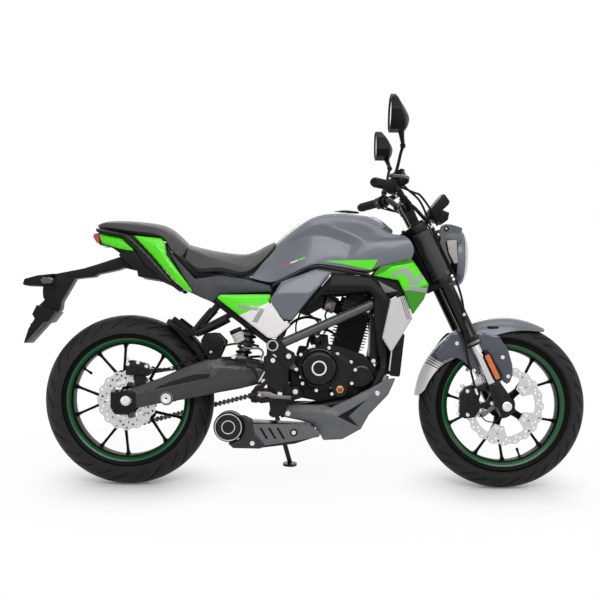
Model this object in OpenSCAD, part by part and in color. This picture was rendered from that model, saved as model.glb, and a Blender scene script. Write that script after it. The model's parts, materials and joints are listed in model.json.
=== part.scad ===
// Standard motorcycle, parked on its side stand, as an assembly of named pieces.
// Bike frame: x forward from the rear axle, y to the left, z up from the road.

/* [Stance] */
// Lean to the left on the side stand, degrees
lean = 9; // [8:0.5:11]
// Distance between the two axles
wheelbase = 1350; // [1320:5:1400]
// Angle of the steering head from upright, degrees
rake = 26; // [25:0.5:27]
// Share of the wheelbase from the rear axle forward to the swingarm pivot
pivot_share = 0.4; // [0.39:0.002:0.42]
// Height of the swingarm pivot above the road
pivot_h = 403; // [398:1:412]

/* [Wheels] */
// Outer diameter of the front tyre
front_tyre_d = 600; // [590:1:612]
// Width of the front tyre
front_tyre_w = 110; // [100:1:114]
// Outer diameter of the rear tyre
rear_tyre_d = 612; // [600:1:624]
// Width of the rear tyre
rear_tyre_w = 140; // [130:1:142]
// Diameter of both rims at the flange
rim_d = 462; // [450:1:470]
// Width of one spoke
spoke_w = 13; // [10:0.5:18]
// Depth of the spokes along the axle
spoke_t = 30; // [20:1:36]
// Diameter of the front brake disc
front_disc_d = 270; // [250:1:276]
// Diameter of the rear brake disc
rear_disc_d = 216; // [200:1:220]
// Thickness of both discs
disc_t = 5; // [4:0.5:6]
// Diameter of the wheel axles
axle_d = 17; // [15:1:20]

/* [Front end] */
// Spacing of the two fork tubes
fork_span = 196; // [190:1:206]
// Diameter of the outer fork tubes
fork_outer_d = 50; // [46:1:52]
// Diameter of the sliding fork legs
fork_inner_d = 37; // [33:1:41]
// Offset from the steering axis to the fork tubes
clamp_offset = 32; // [28:1:36]
// Distance along the fork from axle to the lower clamp
lower_clamp_w = 480; // [474:1:486]
// Distance along the fork from axle to the upper clamp
upper_clamp_w = 690; // [684:1:700]
// Length of the outer fork tubes above their lower ends
outer_tube_w = 250; // [240:1:270]
// Overall width of the handlebar
bar_w = 720; // [680:5:760]
// Diameter of the handlebar
bar_d = 22; // [20:1:25]
// Diameter of the headlamp
lamp_d = 205; // [190:1:215]

/* [Body] */
// Widest width of the fuel tank
tank_w = 290; // [270:1:300]
// Widest width of the rider seat
seat_w = 250; // [230:1:270]
// Widest width of the pillion seat
pillion_w = 196; // [180:1:210]
// Thickness of the side panels
panel_t = 20; // [14:1:24]
// Diameter of the fuel cap
cap_d = 92; // [84:1:96]

/* [Drive] */
// Half width of the crankcase on the right
case_right = 88; // [80:1:96]
// Diameter of the clutch cover
clutch_d = 158; // [140:1:164]
// Diameter of the exhaust header
header_d = 36; // [32:1:38]
// Diameter of the silencer end
silencer_d = 104; // [96:1:112]
// Radius of the rear sprocket
sprocket_r = 88; // [80:1:92]

/* [Hidden] */
$fn = 96;
gap = 0.3;
fr = front_tyre_d / 2;
rr = rear_tyre_d / 2;
rim_r = rim_d / 2;
axle_lead = 8;
head_u = -(axle_lead + clamp_offset);
clamp_t = 30;
frame_y = 118;
tube_d = 32;
plate_in = frame_y;
plate_out = frame_y + tube_d / 2 + 2;
cradle_y = 105.5;
panel_in = plate_out + 1;
rail_y = 85;
rail_d = 26;
arm_in = 92;
arm_out = 117;
chain_y = 83;
chain_w = 13;
chain_h = 14;
core_y = 80;
crown = rear_tyre_w / 2;
lift = crown * (1 - cos(lean));

function ax(x, z) = [x, rr + z];
function fk(u, w) = [wheelbase + u * cos(rake) - w * sin(rake), fr + u * sin(rake) + w * cos(rake)];
head_mid = (lower_clamp_w + upper_clamp_w + clamp_t) / 2;
head_l = upper_clamp_w - lower_clamp_w - clamp_t;
head = fk(head_u, head_mid);
// The body is drawn on a span of 540 from axle to pivot, 511 by 419 from pivot to head and
// 403 from road to pivot; these factors stretch it over the spans in use.
pivot_x = wheelbase * pivot_share;
base_x = 511.02455;
base_z = 418.74109;
k_rear = pivot_x / 540;
k_long = (head[0] - pivot_x) / base_x;
k_high = (head[1] - pivot_h) / base_z;
k_low = pivot_h / 403;
k_engine = min(1, k_rear, k_long, k_high, k_low);
function pv(x, z) = [pivot_x + x * (x > 0 ? k_long : k_rear), pivot_h + z * (z > 0 ? k_high : k_low)];
function hd(x, z) = pv(base_x + x, base_z + z);
function on(a, b, t) = a + (b - a) * t;
function p3(p, y) = [p[0], y, p[1]];
function road(y) = y * tan(lean) - lift / cos(lean);
function unit(v) = v / norm(v);

// The whole bike, leaned onto its stand, with its origin under the middle.
module leaned() {
  translate([42.5 - wheelbase / 2, -1172 * sin(lean), lift])
    rotate([-lean, 0, 0])
      children();
}

// Puts the children in the frame of the fork: z runs up the fork from the front axle.
module at_fork() {
  translate([wheelbase, 0, fr])
    rotate([0, -rake, 0])
      children();
}

module both() {
  children();
  mirror([0, 1, 0]) children();
}

module aim(a, b) {
  d = b - a;
  translate(a)
    rotate([0, acos(d[2] / norm(d)), atan2(d[1], d[0])])
      children();
}

module bar(a, b, d) {
  aim(a, b) cylinder(d = d, h = norm(b - a));
}

module knee(p, d) {
  translate(p) sphere(d = d + 3);
}

// A bar across the bike, from y0 to y1.
module cross(p, y0, y1, d) {
  translate([p[0], y1, p[1]]) rotate([90, 0, 0]) cylinder(d = d, h = y1 - y0);
}

// A side outline given in x and z, from y0 to y1.
module slab(points, y0, y1) {
  translate([0, y1, 0]) rotate([90, 0, 0]) linear_extrude(y1 - y0) polygon(points);
}

function ring(x, zlo, zhi, hw, p, n) = [
  for (i = [0:n - 1])
    let (a = 360 * i / n, c = cos(a), s = sin(a))
    [x, hw * sign(c) * pow(abs(c), 2 / p),
     (zlo + zhi) / 2 + (zhi - zlo) / 2 * sign(s) * pow(abs(s), 2 / p)]
];

// A closed body through rings that run forward, each [x, z low, z high, half width, squareness].
module loft(rows, n) {
  m = len(rows);
  pts = [for (r = rows) each ring(r[0], r[1], r[2], r[3], r[4], n)];
  sides = [for (j = [0:m - 2], i = [0:n - 1])
    let (a = j * n + i, b = j * n + (i + 1) % n)
    each [[a, a + n, b + n], [a, b + n, b]]];
  first = [for (i = [0:n - 1]) i];
  last = [for (i = [n - 1:-1:0]) (m - 1) * n + i];
  polyhedron(pts, concat([first, last], sides), convexity = 6);
}

// A row of a loft placed from the pivot or from the head.
function prow(x, lo, hi, hw, p) = [pv(x, lo)[0], pv(x, lo)[1], pv(x, hi)[1], hw, p];
function hrow(x, lo, hi, hw, p) = [hd(x, lo)[0], hd(x, lo)[1], hd(x, hi)[1], hw, p];

// A smooth hose or pipe through points.
function mix(a, b, c, d, t) = 0.5 * (2 * b + (c - a) * t + (2 * a - 5 * b + 4 * c - d) * t * t
  + (3 * b - a - 3 * c + d) * t * t * t);
function smooth(p, k) = let (n = len(p)) concat(
  [for (i = [0:n - 2], j = [0:k - 1])
    mix(p[max(i - 1, 0)], p[i], p[i + 1], p[min(i + 2, n - 1)], j / k)], [p[n - 1]]);
module hose(p, d, k, n) {
  q = smooth(p, k);
  m = len(q);
  function dir(i) = unit(q[min(i + 1, m - 1)] - q[max(i - 1, 0)]);
  function side(t) = unit(cross(t, abs(t[1]) > 0.9 ? [1, 0, 0] : [0, 1, 0]));
  pts = [for (i = [0:m - 1], s = [0:n - 1])
    let (t = dir(i), u = side(t), v = cross(t, u), a = 360 * s / n)
    q[i] + d / 2 * (cos(a) * u + sin(a) * v)];
  sides = [for (j = [0:m - 2], i = [0:n - 1])
    let (a = j * n + i, b = j * n + (i + 1) % n)
    each [[a, a + n, b + n], [a, b + n, b]]];
  first = [for (i = [0:n - 1]) i];
  last = [for (i = [n - 1:-1:0]) (m - 1) * n + i];
  polyhedron(pts, concat([first, last], sides), convexity = 6);
}

// Frame and subframe

stand_axis = unit([0.127, 0.829, 0.534]);
stand_p = p3(pv(-16, -135), plate_out + 17);

// A stay from a point on a tube out to y1.
module stay(p, y1, d) {
  cross([p[0], p[2]], p[1] - 4, y1, d);
}

module frame_side() {
  a = p3(fk(head_u - 14, head_mid - head_l * 0.305), 20);
  b = p3(pv(333, 257), frame_y);
  c = p3(pv(0, 108), frame_y);
  bar(a, b, tube_d);
  bar(b, c, tube_d);
  knee(b, tube_d - 1);
  d = p3(fk(head_u - 14, head_mid), 18);
  e = p3(hd(-190, -112), rail_y);
  f = p3(pv(20, 287), rail_y);
  g = p3(pv(-307.5, 302), rail_y);
  bar(d, e, rail_d);
  bar(e, f, rail_d);
  bar(f, g, rail_d);
  knee(e, rail_d);
  knee(f, rail_d);
  h = p3(pv(-25, 112), frame_y);
  i = p3(pv(-160, 211), rail_y);
  k = p3(pv(-276, 299), rail_y);
  bar(h, i, 24);
  bar(i, k, 24);
  knee(i, 22);
  l = p3(fk(head_u - 6, head_mid - head_l * 0.244), 14);
  m = p3(pv(374, 170), 100);
  n = p3(pv(372, 27), cradle_y);
  o = p3(pv(326, -78), cradle_y);
  q = p3(pv(8, -138), cradle_y);
  bar(l, m, 28);
  bar(m, n, 28);
  bar(n, o, 28);
  bar(o, q, 28);
  knee(m, 27);
  knee(n, 27);
  knee(o, 26);
  bar(f, c, 24);
  difference() {
    union() {
      slab([pv(-42, 104), pv(-24, 128), pv(8, 124), pv(28, 92), pv(56, 78), pv(58, 46), pv(36, 30), pv(34, -34),
            pv(52, -46), pv(82, -54), pv(82, -80), pv(34, -94), pv(22, -140), pv(-24, -146), pv(-38, -60),
            pv(-44, 20)], plate_in, plate_out);
      cross(pv(-22, 104), plate_in - 10, plate_out, 44);
    }
    cross(pv(-22, 104), plate_in - 11, plate_out + 1, 28);
    cross(pv(0, 0), plate_in - 1, plate_out + 1, 20.2);
  }
  // Stays that reach out to the panels
  cross(pv(60, 289), rail_y, panel_in - gap, 16);
  cross(pv(-100, 182), rail_y, panel_in - gap, 30);
  stay(on(b, a, 0.1), panel_in - gap, 16);
  stay(on(d, e, 0.5), panel_in + 17 - gap, 14);
  stay(on(l, m, 0.69), panel_in - gap, 14);
  // Pillion peg hanger
  bar(p3(pv(-218, 255), rail_y), p3(pv(-308, 145), 108), 14);
  bar(p3(pv(-170, 218), rail_y), p3(pv(-308, 145), 108), 14);
  cross(pv(-308, 145), 100, 118, 22);
}

module frame() {
  color([0.05, 0.05, 0.055]) {
    difference() {
      union() {
        at_fork() translate([head_u, 0, lower_clamp_w + clamp_t + 0.6])
          cylinder(d = 60, h = upper_clamp_w - lower_clamp_w - clamp_t - 1.2);
        both() frame_side();
        cross(pv(100, 293), -rail_y, rail_y, 22);
        translate(p3(pv(100, 293), 0)) cylinder(d = 40, h = (342 - 293) * k_high - gap);
        cross(pv(-240, 299), -rail_y, rail_y, 22);
        translate(p3(pv(-240, 299), 0)) cylinder(d = 60, h = (355 - 299) * k_high - gap);
        cross(pv(-70, 292), -rail_y, rail_y, 26);
        cross(pv(4, -136), -cradle_y, cradle_y, 22);
        // Boss and pin of the side stand
        bar(stand_p - stand_axis * 34, stand_p - stand_axis * (8 + gap), 34);
        bar(stand_p - stand_axis * 12, stand_p + stand_axis * 12, 11.8);
        bar(stand_p + stand_axis * (8 + gap), stand_p + stand_axis * 14, 20);
      }
      at_fork() translate([head_u, 0, lower_clamp_w - 10])
        cylinder(d = 30, h = upper_clamp_w - lower_clamp_w + 60);
    }
  }
}

// Engine and exhaust

module crankcase() {
  color([0.09, 0.09, 0.095]) {
    slab([pv(38, 47), pv(90, 88), pv(176, 112.9), pv(302, 76.8), pv(346, 30), pv(346, -31), pv(260, -78),
          pv(151, -94), pv(50, -75)], -case_right, 68);
    cross(pv(66, -66), -plate_in + gap, plate_in - gap, 30);
    cross(pv(48, 60), -plate_in + gap, 60, 30);
    cross(out_shaft(), 60, chain_y + chain_w / 2 - 1, 2 * nose_r - 2 * gap);
  }
}

// The cylinder stands square on the sloping top of the crankcase.
case_top = pv(302, 76.8) - pv(176, 112.9);
cylinder_tilt = -atan2(case_top[1], case_top[0]);
port = pv(240, 95) + k_engine * [72 * cos(cylinder_tilt) + 154 * sin(cylinder_tilt),
  154 * cos(cylinder_tilt) - 72 * sin(cylinder_tilt)];

port_n = [cos(cylinder_tilt), -sin(cylinder_tilt)];

module cylinder_block() {
  color([0.1, 0.1, 0.105])
    translate(p3(pv(240, 95), 0)) rotate([0, cylinder_tilt, 0]) scale(k_engine) {
      translate([-50, -54, 0]) cube([100, 108, 130]);
      for (i = [0:6]) translate([-64, -72, 14 + i * 16]) cube([128, 144, 5]);
      translate([-62, -64, 130]) cube([124, 128, 48]);
      translate([-48, -52, 178]) cube([96, 104, 26]);
      translate([0, 0, 154]) rotate([0, 90, 0]) cylinder(d = 52, h = 72);
    }
}

module engine_covers() {
  color([0.07, 0.07, 0.075]) {
    y0 = -case_right - gap;
    cross(pv(143, 26), y0 - 44, y0, clutch_d * k_engine);
    cross(pv(143, 26), y0 - 52, y0 - 40, (clutch_d - 28) * k_engine);
    cross(pv(293, -2), y0 - 26, y0, 84 * k_engine);
    cross(pv(218, -49), y0 - 34, y0, 30);
    cross(pv(200, 6), 68 + gap, 122, 144 * k_engine);
    cross(pv(200, 6), 120, 130, 100 * k_engine);
    slab([pv(30, -30), pv(60, -46), pv(108, -40), pv(120, 20), pv(104, 58), pv(66, 62), pv(30, 44)], 93, 108);
    cross(pv(112, 50), 68 + gap, 100, 22);
  }
}

module exhaust_header() {
  color([0.35, 0.34, 0.33])
    hose([p3(port + 0.9 * port_n, 0), p3(port + 10 * port_n, 0), p3(port + 20 * port_n, 0),
          p3([max(pv(381, 0)[0], port[0] + 29), pv(0, 188)[1]], 0), p3(pv(376, 140), -1), p3(pv(374, 70), -4),
          p3(pv(374, 8), -10), p3(pv(366, -43), -16), p3(pv(322, -91), -26),
          p3(pv(260, -145), -36), p3(pv(190, -190), -44), p3(pv(138, -199), -46)], header_d, 4, 20);
}

// The silencer stands clear of the rear tyre; sv places its points forward to the header.
can = [rr + silencer_d / 2 + 9, pv(0, -183)[1]];
can_end = can[0] + silencer_d / 2 + 13;
function sv(x, z) = [can_end + (pv(134, 0)[0] - can_end) * (x + 108) / 242, pv(0, z)[1]];

module silencer() {
  color([0.12, 0.12, 0.12]) {
    slab([sv(-146, -165), sv(-132, -244), sv(-60, -256), sv(60, -240), sv(134, -216), sv(132, -184),
          sv(100, -176)], -150, 40);
    difference() {
      cross(can, -182, -40, silencer_d);
      cross(can, -183, -170, silencer_d - 22);
    }
    difference() {
      cross(can, -178, -165, 50);
      cross(can, -183, -160, 40);
    }
  }
}

module heat_shield() {
  color([0.3, 0.3, 0.3])
    difference() {
      slab([sv(-108, -172), sv(-82, -250), sv(-30, -244), sv(146, -214), sv(148, -200), sv(112, -170)],
           -160, -150 - gap);
      for (i = [0:2])
        slab([sv(-66 + i * 30, -186), sv(-44 + i * 30, -222), sv(-36 + i * 30, -222), sv(-58 + i * 30, -186)],
             -161, -149);
    }
}

module belly_pan() {
  y0 = cradle_y + 15.5;
  y1 = y0 + 18;
  color([0.33, 0.33, 0.33]) {
    both() {
      slab([pv(36, -142), pv(147, -128), pv(252, -80), pv(354, -26), pv(378, -10), pv(414, -5), pv(388, -64),
            pv(321, -136), pv(293, -187), pv(228, -224), pv(161, -229), pv(143, -195), pv(119, -171),
            pv(78, -159), pv(36, -147)], y0, y1);
      cross(pv(300, -70), y0 - 1.2, y0 + 4, 20);
    }
    slab([pv(161, -229), pv(161, -223), pv(226, -218), pv(289, -183), pv(317, -133), pv(384, -62),
          pv(388, -64), pv(321, -136), pv(293, -187), pv(228, -224)], -y1, y1);
  }
}

radiator_p = [pv(381, 0)[0] + header_d / 2 + 5, pv(0, 78)[1]];
radiator_h = 144 * min(1, k_high);

module radiator() {
  color([0.08, 0.08, 0.085])
    translate(p3(radiator_p, 0)) rotate([0, 6, 0]) {
      translate([0, -110, -radiator_h / 2]) cube([30, 220, radiator_h]);
      for (s = [-1, 1]) translate([-3, s * 118 - 8, -radiator_h / 2 - 6]) cube([36, 16, radiator_h + 12]);
      translate([-6, -100, radiator_h / 2 - 12]) cube([10, 200, 12]);
      both() translate([10, panel_in - 0.6, 30]) rotate([90, 0, 0]) cylinder(d = 14, h = 20);
    }
  color([0.08, 0.08, 0.085])
    both() translate(p3(pv(372, 40), 104)) rotate([0, 90, 0]) translate([0, 0, 14 + gap])
      cylinder(d = 16, h = radiator_p[0] - pv(372, 0)[0] - 18);
}

// Tank and panels

tw = tank_w / 2;
tank_rows = [
  prow(-98, 339, 346, tw - 62, 3), prow(-60, 330, 396, tw - 46, 3), prow(-17, 330, 443, tw - 36, 2.8),
  prow(-7, 330, 477, tw - 34, 2.7), prow(12, 332, 504, tw - 30, 2.6), prow(50, 338, 538, tw - 22, 2.6),
  prow(76, 342, 559, tw - 14, 2.6), prow(132, 342, 586, tw - 5, 2.6), prow(212, 342, 596, tw, 2.6),
  hrow(-245, -76, 170, tw, 2.6), hrow(-193, -72, 162, tw - 5, 2.6), hrow(-150, -62, 150, tw - 18, 2.5),
  hrow(-112, -42, 120, tw - 42, 2.4)];

module fuel_tank() {
  color([0.36, 0.37, 0.42])
    difference() {
      union() {
        loft(tank_rows, 36);
        both() cross(hd(-170, 30), tw - 40, panel_in + 13 - gap, 24);
      }
      translate(cap_p) cylinder(d = cap_d + 10, h = 60);
      translate(cap_p - [0, 0, 30]) cylinder(d = 50, h = 60);
    }
}

cap_p = p3(pv(236, 575), 0);

module fuel_cap() {
  color([0.16, 0.16, 0.17])
    translate(cap_p + [0, 0, gap]) {
      cylinder(d = cap_d, h = 16);
      translate([0, 0, 16]) cylinder(d = cap_d - 34, h = 5);
      translate([0, 0, -8]) cylinder(d = 38, h = 9);
    }
}

module tank_wings() {
  y0 = panel_in + 13;
  color([0.36, 0.37, 0.42])
    both() slab([hd(-219, -51), hd(-187, -61), hd(-156, -33), hd(-49, -6), hd(-36, 16), hd(-43, 49),
                 hd(-74, 87), hd(-112, 119), hd(-169, 110), hd(-230, 20)], y0, y0 + panel_t);
}

module shrouds() {
  y0 = panel_in + 17;
  color([0.08, 0.72, 0.02])
    both() slab([hd(-183, -70), hd(-156, -37), hd(-49, -11), hd(14, -102), hd(-2, -150), hd(-39, -209),
                 hd(-70, -123), hd(-92, -85)], y0, y0 + panel_t);
}

module radiator_covers() {
  color([0.85, 0.85, 0.85])
    both() slab([hd(-119, -153), hd(-72, -134), hd(-42, -217), hd(-113, -339), hd(-147, -287)],
                panel_in, panel_in + panel_t);
}

module air_cowls() {
  color([0.06, 0.06, 0.065])
    both() slab([pv(193, 363), hd(-186, -74), hd(-136, -125), hd(-123, -151), hd(-150, -285), hd(-138, -353),
                 hd(-156, -360), hd(-176, -251), hd(-176, -150), hd(-193, -126), pv(159, 296), pv(60, 207)],
                panel_in, panel_in + panel_t - 4);
}

module knee_panels() {
  color([0.14, 0.14, 0.15])
    both() slab([pv(-33, 262), pv(6, 329), pv(128, 375), pv(187, 367), pv(43, 193), pv(13, 197)],
                panel_in, panel_in + panel_t);
}

module side_covers() {
  color([0.85, 0.85, 0.85])
    both() slab([pv(-219, 269), pv(-209, 280), pv(-29, 284), pv(-41, 258), pv(8, 192), pv(38, 188),
                 pv(-8, 134), pv(-37, 132)], panel_in, panel_in + panel_t);
}

module seat_trim() {
  y0 = rail_y + rail_d / 2 + gap;
  color([0.1, 0.1, 0.105])
    both() slab([pv(-401, 444), pv(-300, 337), pv(-210, 349), pv(-113, 334), pv(-104, 331), pv(-103, 290),
                 pv(-210, 287), pv(-239, 257), pv(-261, 266), pv(-300, 287), pv(-394, 425)], y0, y0 + panel_t);
}

// Seats and tail

sw = seat_w / 2;

module rider_seat() {
  color([0.22, 0.22, 0.225])
    loft([prow(-341, 412, 470, sw - 35, 3), prow(-315, 372, 465, sw - 20, 3), prow(-276, 355, 453, sw - 6, 3.2),
          prow(-208, 355, 438, sw, 3.4), prow(-139, 355, 433, sw - 6, 3.4), prow(-103, 359, 436, sw - 18, 3.2),
          prow(-66, 402, 453, sw - 34, 3), prow(-35, 433, 471, sw - 44, 2.8), prow(-18, 450, 481, sw - 50, 2.6)],
         32);
}

ps = pillion_w / 2;

module pillion_seat() {
  color([0.22, 0.22, 0.225])
    loft([prow(-657, 502, 528, ps - 38, 3), prow(-639, 497, 550, ps - 26, 3), prow(-522, 495, 549, ps - 6, 3.2),
          prow(-434, 489, 542, ps, 3.2), prow(-396, 451, 530, ps + 1, 3), prow(-364, 412, 506, ps - 2, 3),
          prow(-346, 412, 486, ps - 6, 3)], 32);
}

module undertray() {
  color([0.04, 0.04, 0.045])
    slab([pv(-638, 465), pv(-635, 496), pv(-522, 494.5), pv(-436, 486), pv(-375, 409), pv(-346, 405),
          pv(-320, 365), pv(-312, 352), pv(-308, 299), pv(-335, 297), pv(-390, 315), pv(-429, 336),
          pv(-507, 347), pv(-507, 368), pv(-565, 423), pv(-600, 447)], -core_y, core_y);
}

module tail_cowl() {
  y0 = core_y + gap;
  color([0.08, 0.72, 0.02])
    both() {
      slab([pv(-523, 488), pv(-430, 479), pv(-412, 464), pv(-405, 421), pv(-311, 297), pv(-322, 292),
            pv(-338, 298), pv(-378, 330), pv(-457, 420)], y0, y0 + panel_t);
      slab([pv(-646, 497), pv(-564, 478), pv(-518, 434), pv(-557, 440), pv(-581, 446), pv(-637, 462)], y0, y0 + 12);
    }
}

module grab_rail() {
  y0 = core_y + gap;
  color([0.03, 0.03, 0.03])
    both() slab([pv(-656, 512), pv(-551, 494), pv(-528, 486), pv(-461, 418), pv(-382, 327), pv(-342, 294),
                 pv(-355, 292), pv(-480, 387), pv(-507, 432), pv(-561, 483), pv(-654, 501)], y0, y0 + panel_t + 4);
}

module tail_lamp() {
  color([0.55, 0.03, 0.04])
    slab([pv(-672, 496), pv(-650, 500), pv(-638.4, 494), pv(-638.4, 465), pv(-652, 464)], -44, 44);
}

module plate_carrier() {
  color([0.05, 0.05, 0.05])
    difference() {
      union() {
        slab([pv(-507.4, 367.6), pv(-565.4, 422.6), pv(-655, 392), pv(-709, 375), pv(-806, 355), pv(-874, 347),
              pv(-919, 334), pv(-925, 316), pv(-919, 311), pv(-855, 309), pv(-857, 292), pv(-855, 269),
              pv(-849, 260), pv(-869, 240), pv(-885, 207), pv(-876, 191), pv(-898, 154), pv(-916, 97),
              pv(-845, 177), pv(-828, 180), pv(-792, 228), pv(-789, 254), pv(-741, 338), pv(-671, 346),
              pv(-658, 356), pv(-587, 372), pv(-565, 380), pv(-523, 367)], -34, 34);
        slab([pv(-869, 240), pv(-885, 207), pv(-876, 191), pv(-898, 154), pv(-916, 97), pv(-845, 177),
              pv(-828, 180), pv(-800, 218)], -74, 74);
        slab([pv(-806, 355), pv(-874, 347), pv(-919, 334), pv(-925, 316), pv(-860, 314)], -52, 52);
      }
      for (s = [-1, 1])
        translate(p3(pv(-877, 224), s * 60)) rotate([0, -64, 0]) translate([0, 0, -60]) cylinder(d = 7, h = 120);
    }
}

module rear_indicators() {
  color([0.05, 0.05, 0.05])
    both() {
      cross(pv(-826, 324), 34 + gap, 80, 14);
      cross(pv(-826, 324), 78, 112, 28);
    }
}

// Rear suspension and drive

// Points at a height above the upper run of the chain.
chain_r = sprocket_r + 3;
nose_r = 35;
function out_shaft() = pv(62, 4);
function over(x, dz) = [x, dz + on(rr + chain_r, out_shaft()[1] + nose_r, x / out_shaft()[0]) + chain_h];
guard_x = pv(-130, 0)[0];

// The cross brace of the swingarm stays clear of the tyre and inside the chain.
brace_x = max(pv(-195, 0)[0], rr + 39);
brace_m = pv(-110, 0)[0];
brace = [[brace_x, pv(0, -70)[1]], [brace_x, min(pv(0, 3)[1], over(brace_x, -26)[1])],
  [brace_m, min(pv(0, 8)[1], over(brace_m, -26)[1])], pv(-20, 14), pv(-20, -14), pv(-110, -50)];

module swingarm() {
  color([0.07, 0.07, 0.072])
    difference() {
      union() {
        both() {
          slab([ax(-50, 25), ax(-50, -28), ax(32, -27), ax(122, -8), pv(-324, -89), pv(-209, -64), pv(-77, -35),
                pv(-14, -28), pv(14, -24), pv(28, 0), pv(14, 24), pv(-14, 30), pv(-70, 34), pv(-146, 46),
                pv(-210, 57), pv(-247, 56), pv(-324, 29), ax(122, 82), ax(27, 47)], arm_in, arm_out);
          cross(ax(144, 10), arm_out - 2, arm_out + 16, 26);
        }
        cross(pv(0, 0), -arm_in - 1, arm_in + 1, 48);
        slab(brace, -arm_in - 1, arm_in + 1);
      }
      cross(ax(0, 0), -arm_out - 1, arm_out + 1, axle_d + 0.1);
      cross(pv(0, 0), -arm_out - 1, arm_out + 1, 20.2);
      both() cross(ax(144, 10), arm_out - 12, arm_out + 17, 8);
    }
}

module pivot_bolt() {
  color([0.5, 0.5, 0.5]) {
    cross(pv(0, 0), -plate_out - 1, plate_out + 1, 20);
    both() cross(pv(0, 0), plate_out + gap, plate_out + 11, 34);
  }
}

module rear_axle() {
  color([0.5, 0.5, 0.5]) {
    cross(ax(0, 0), -arm_out - 1, arm_out + 1, axle_d);
    both() cross(ax(0, 0), arm_out + gap, arm_out + 13, 32);
  }
}

guard_z = rr + sprocket_r + 36;
function on_rim(r, a) = p2(ax(0, 0) + r * [cos(a), sin(a)]);
function p2(p) = [p[0], p[1]];

module hugger() {
  r0 = rr + 15;
  a0 = pv(-246, 56.6);
  a1 = pv(-214, 57.4);
  turn = atan2(a0[1] + a1[1] - 2 * rr, a0[0] + a1[0]);
  b0 = on_rim(r0 - 10.3, turn + 7.3);
  b1 = on_rim(r0 + 13, turn + 8.4);
  up = max(0.3, min(0.8, (guard_z + 12 - a0[1]) / max(1, b0[1] - a0[1])));
  color([0.05, 0.05, 0.05]) {
    translate(p3(ax(0, 0), 0)) rotate([90, 0, 0]) rotate([0, 0, turn - 10.5]) rotate_extrude(angle = 48)
      difference() {
        translate([r0 - 30, -74]) square([34, 148]);
        translate([r0 - 31, -70]) square([31, 140]);
      }
    both() {
      slab([a0, b0, b1, a1], arm_in + gap, 112);
      slab([on(a0, b0, up), b0, b1, on(a1, b1, up)], 71, arm_in + 1);
    }
  }
}

module chain_guard() {
  color([0.05, 0.05, 0.05])
    slab([over(60, 8.5), over(120, 10), over(guard_x, 21.4), over(guard_x, 13.4), over(120, 3), over(60, 2.5)],
         78, arm_in - gap);
}

// The outline of a belt around two round wheels, as points.
function belt(c0, r0, c1, r1, n) = let (
    d = c1 - c0, l = norm(d), a = atan2(d[1], d[0]), b = acos((r0 - r1) / l)) concat(
  [for (i = [0:n]) c0 + r0 * [cos(a + b + (360 - 2 * b) * i / n), sin(a + b + (360 - 2 * b) * i / n)]],
  [for (i = [0:n]) c1 + r1 * [cos(a - b + 2 * b * i / n), sin(a - b + 2 * b * i / n)]]);

module chain() {
  color([0.25, 0.24, 0.22])
    translate([0, chain_y + chain_w / 2, 0]) rotate([90, 0, 0]) linear_extrude(chain_w)
      difference() {
        polygon(belt(ax(0, 0), chain_r + chain_h, out_shaft(), nose_r + chain_h, 40));
        polygon(belt(ax(0, 0), chain_r, out_shaft(), nose_r, 40));
      }
}

module shock() {
  a = p3([max(pv(-150, 0)[0], rr + 60), pivot_h], 0);
  b = p3(pv(-70, 292), 0);
  d = norm(b - a);
  color([0.2, 0.2, 0.2])
    aim(a, b) {
      translate([0, 0, 9]) cylinder(d = 18, h = d - 22.4);
      translate([0, 0, 40]) cylinder(d = 62, h = 8);
      translate([0, 0, d - 80]) cylinder(d = 62, h = 10);
      translate([0, 0, d - 72]) cylinder(d = 44, h = 56);
      for (i = [0:7]) translate([0, 0, 54 + i * 22]) rotate_extrude() translate([24, 0]) circle(d = 9, $fn = 24);
      translate([0, 0, 40]) cylinder(d = 40, h = d - 110);
    }
}

module footrests() {
  color([0.12, 0.12, 0.12])
    both() {
      slab([pv(-50, 66), pv(-20, 70), pv(20, 22), pv(26, -30), pv(-6, -90), pv(-60, -98), pv(-100, -84), pv(-92, -56),
            pv(-50, -20)], plate_out + 12, plate_out + 22);
      cross(pv(-20, 52), plate_out + gap, plate_out + 14, 22);
      cross(pv(6, -64), plate_out + gap, plate_out + 14, 22);
      cross(pv(-84, -78), plate_out + 20, plate_out + 104, 20);
    }
}

module foot_controls() {
  color([0.4, 0.4, 0.4])
    for (s = [0, 1]) mirror([0, s, 0]) {
      y = plate_out + 22 + gap;
      slab([pv(-68, -76), pv(-30, -74), pv(56, -84), pv(58, -72), pv(-30, -58), pv(-60, -58)], y, y + 9);
      cross(pv(52, -76), y + 8, y + 48, 16);
    }
}

module pillion_pegs() {
  color([0.08, 0.08, 0.08])
    both() {
      cross(pv(-308, 145), 118 + gap, 132, 22);
      bar(p3(pv(-308, 145), 130), p3(pv(-376, 196), 130), 24);
    }
}

module rear_caliper() {
  y1 = -74.5;
  color([0.1, 0.1, 0.1])
    difference() {
      union() {
        slab([ax(-4, 92), ax(-4, 140), ax(76, 130), ax(88, 96), ax(70, 84), ax(30, 88)], -104, -58);
        slab([ax(-4, 96), ax(40, 110), ax(70, 92), ax(60, 30), ax(30, 26)], -arm_in + gap, -arm_in + 4);
      }
      cross(ax(0, 0), -disc_y_r - disc_t / 2 - 5, -disc_y_r + disc_t / 2 + 5, rear_disc_d + 16);
      slab([ax(-50, 25), ax(-50, -28), ax(122, -8), ax(132, 88), ax(122, 84), ax(27, 50)], -arm_out - 1, -arm_in + gap);
    }
}

disc_y_r = 79;
disc_y_f = 62;

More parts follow.
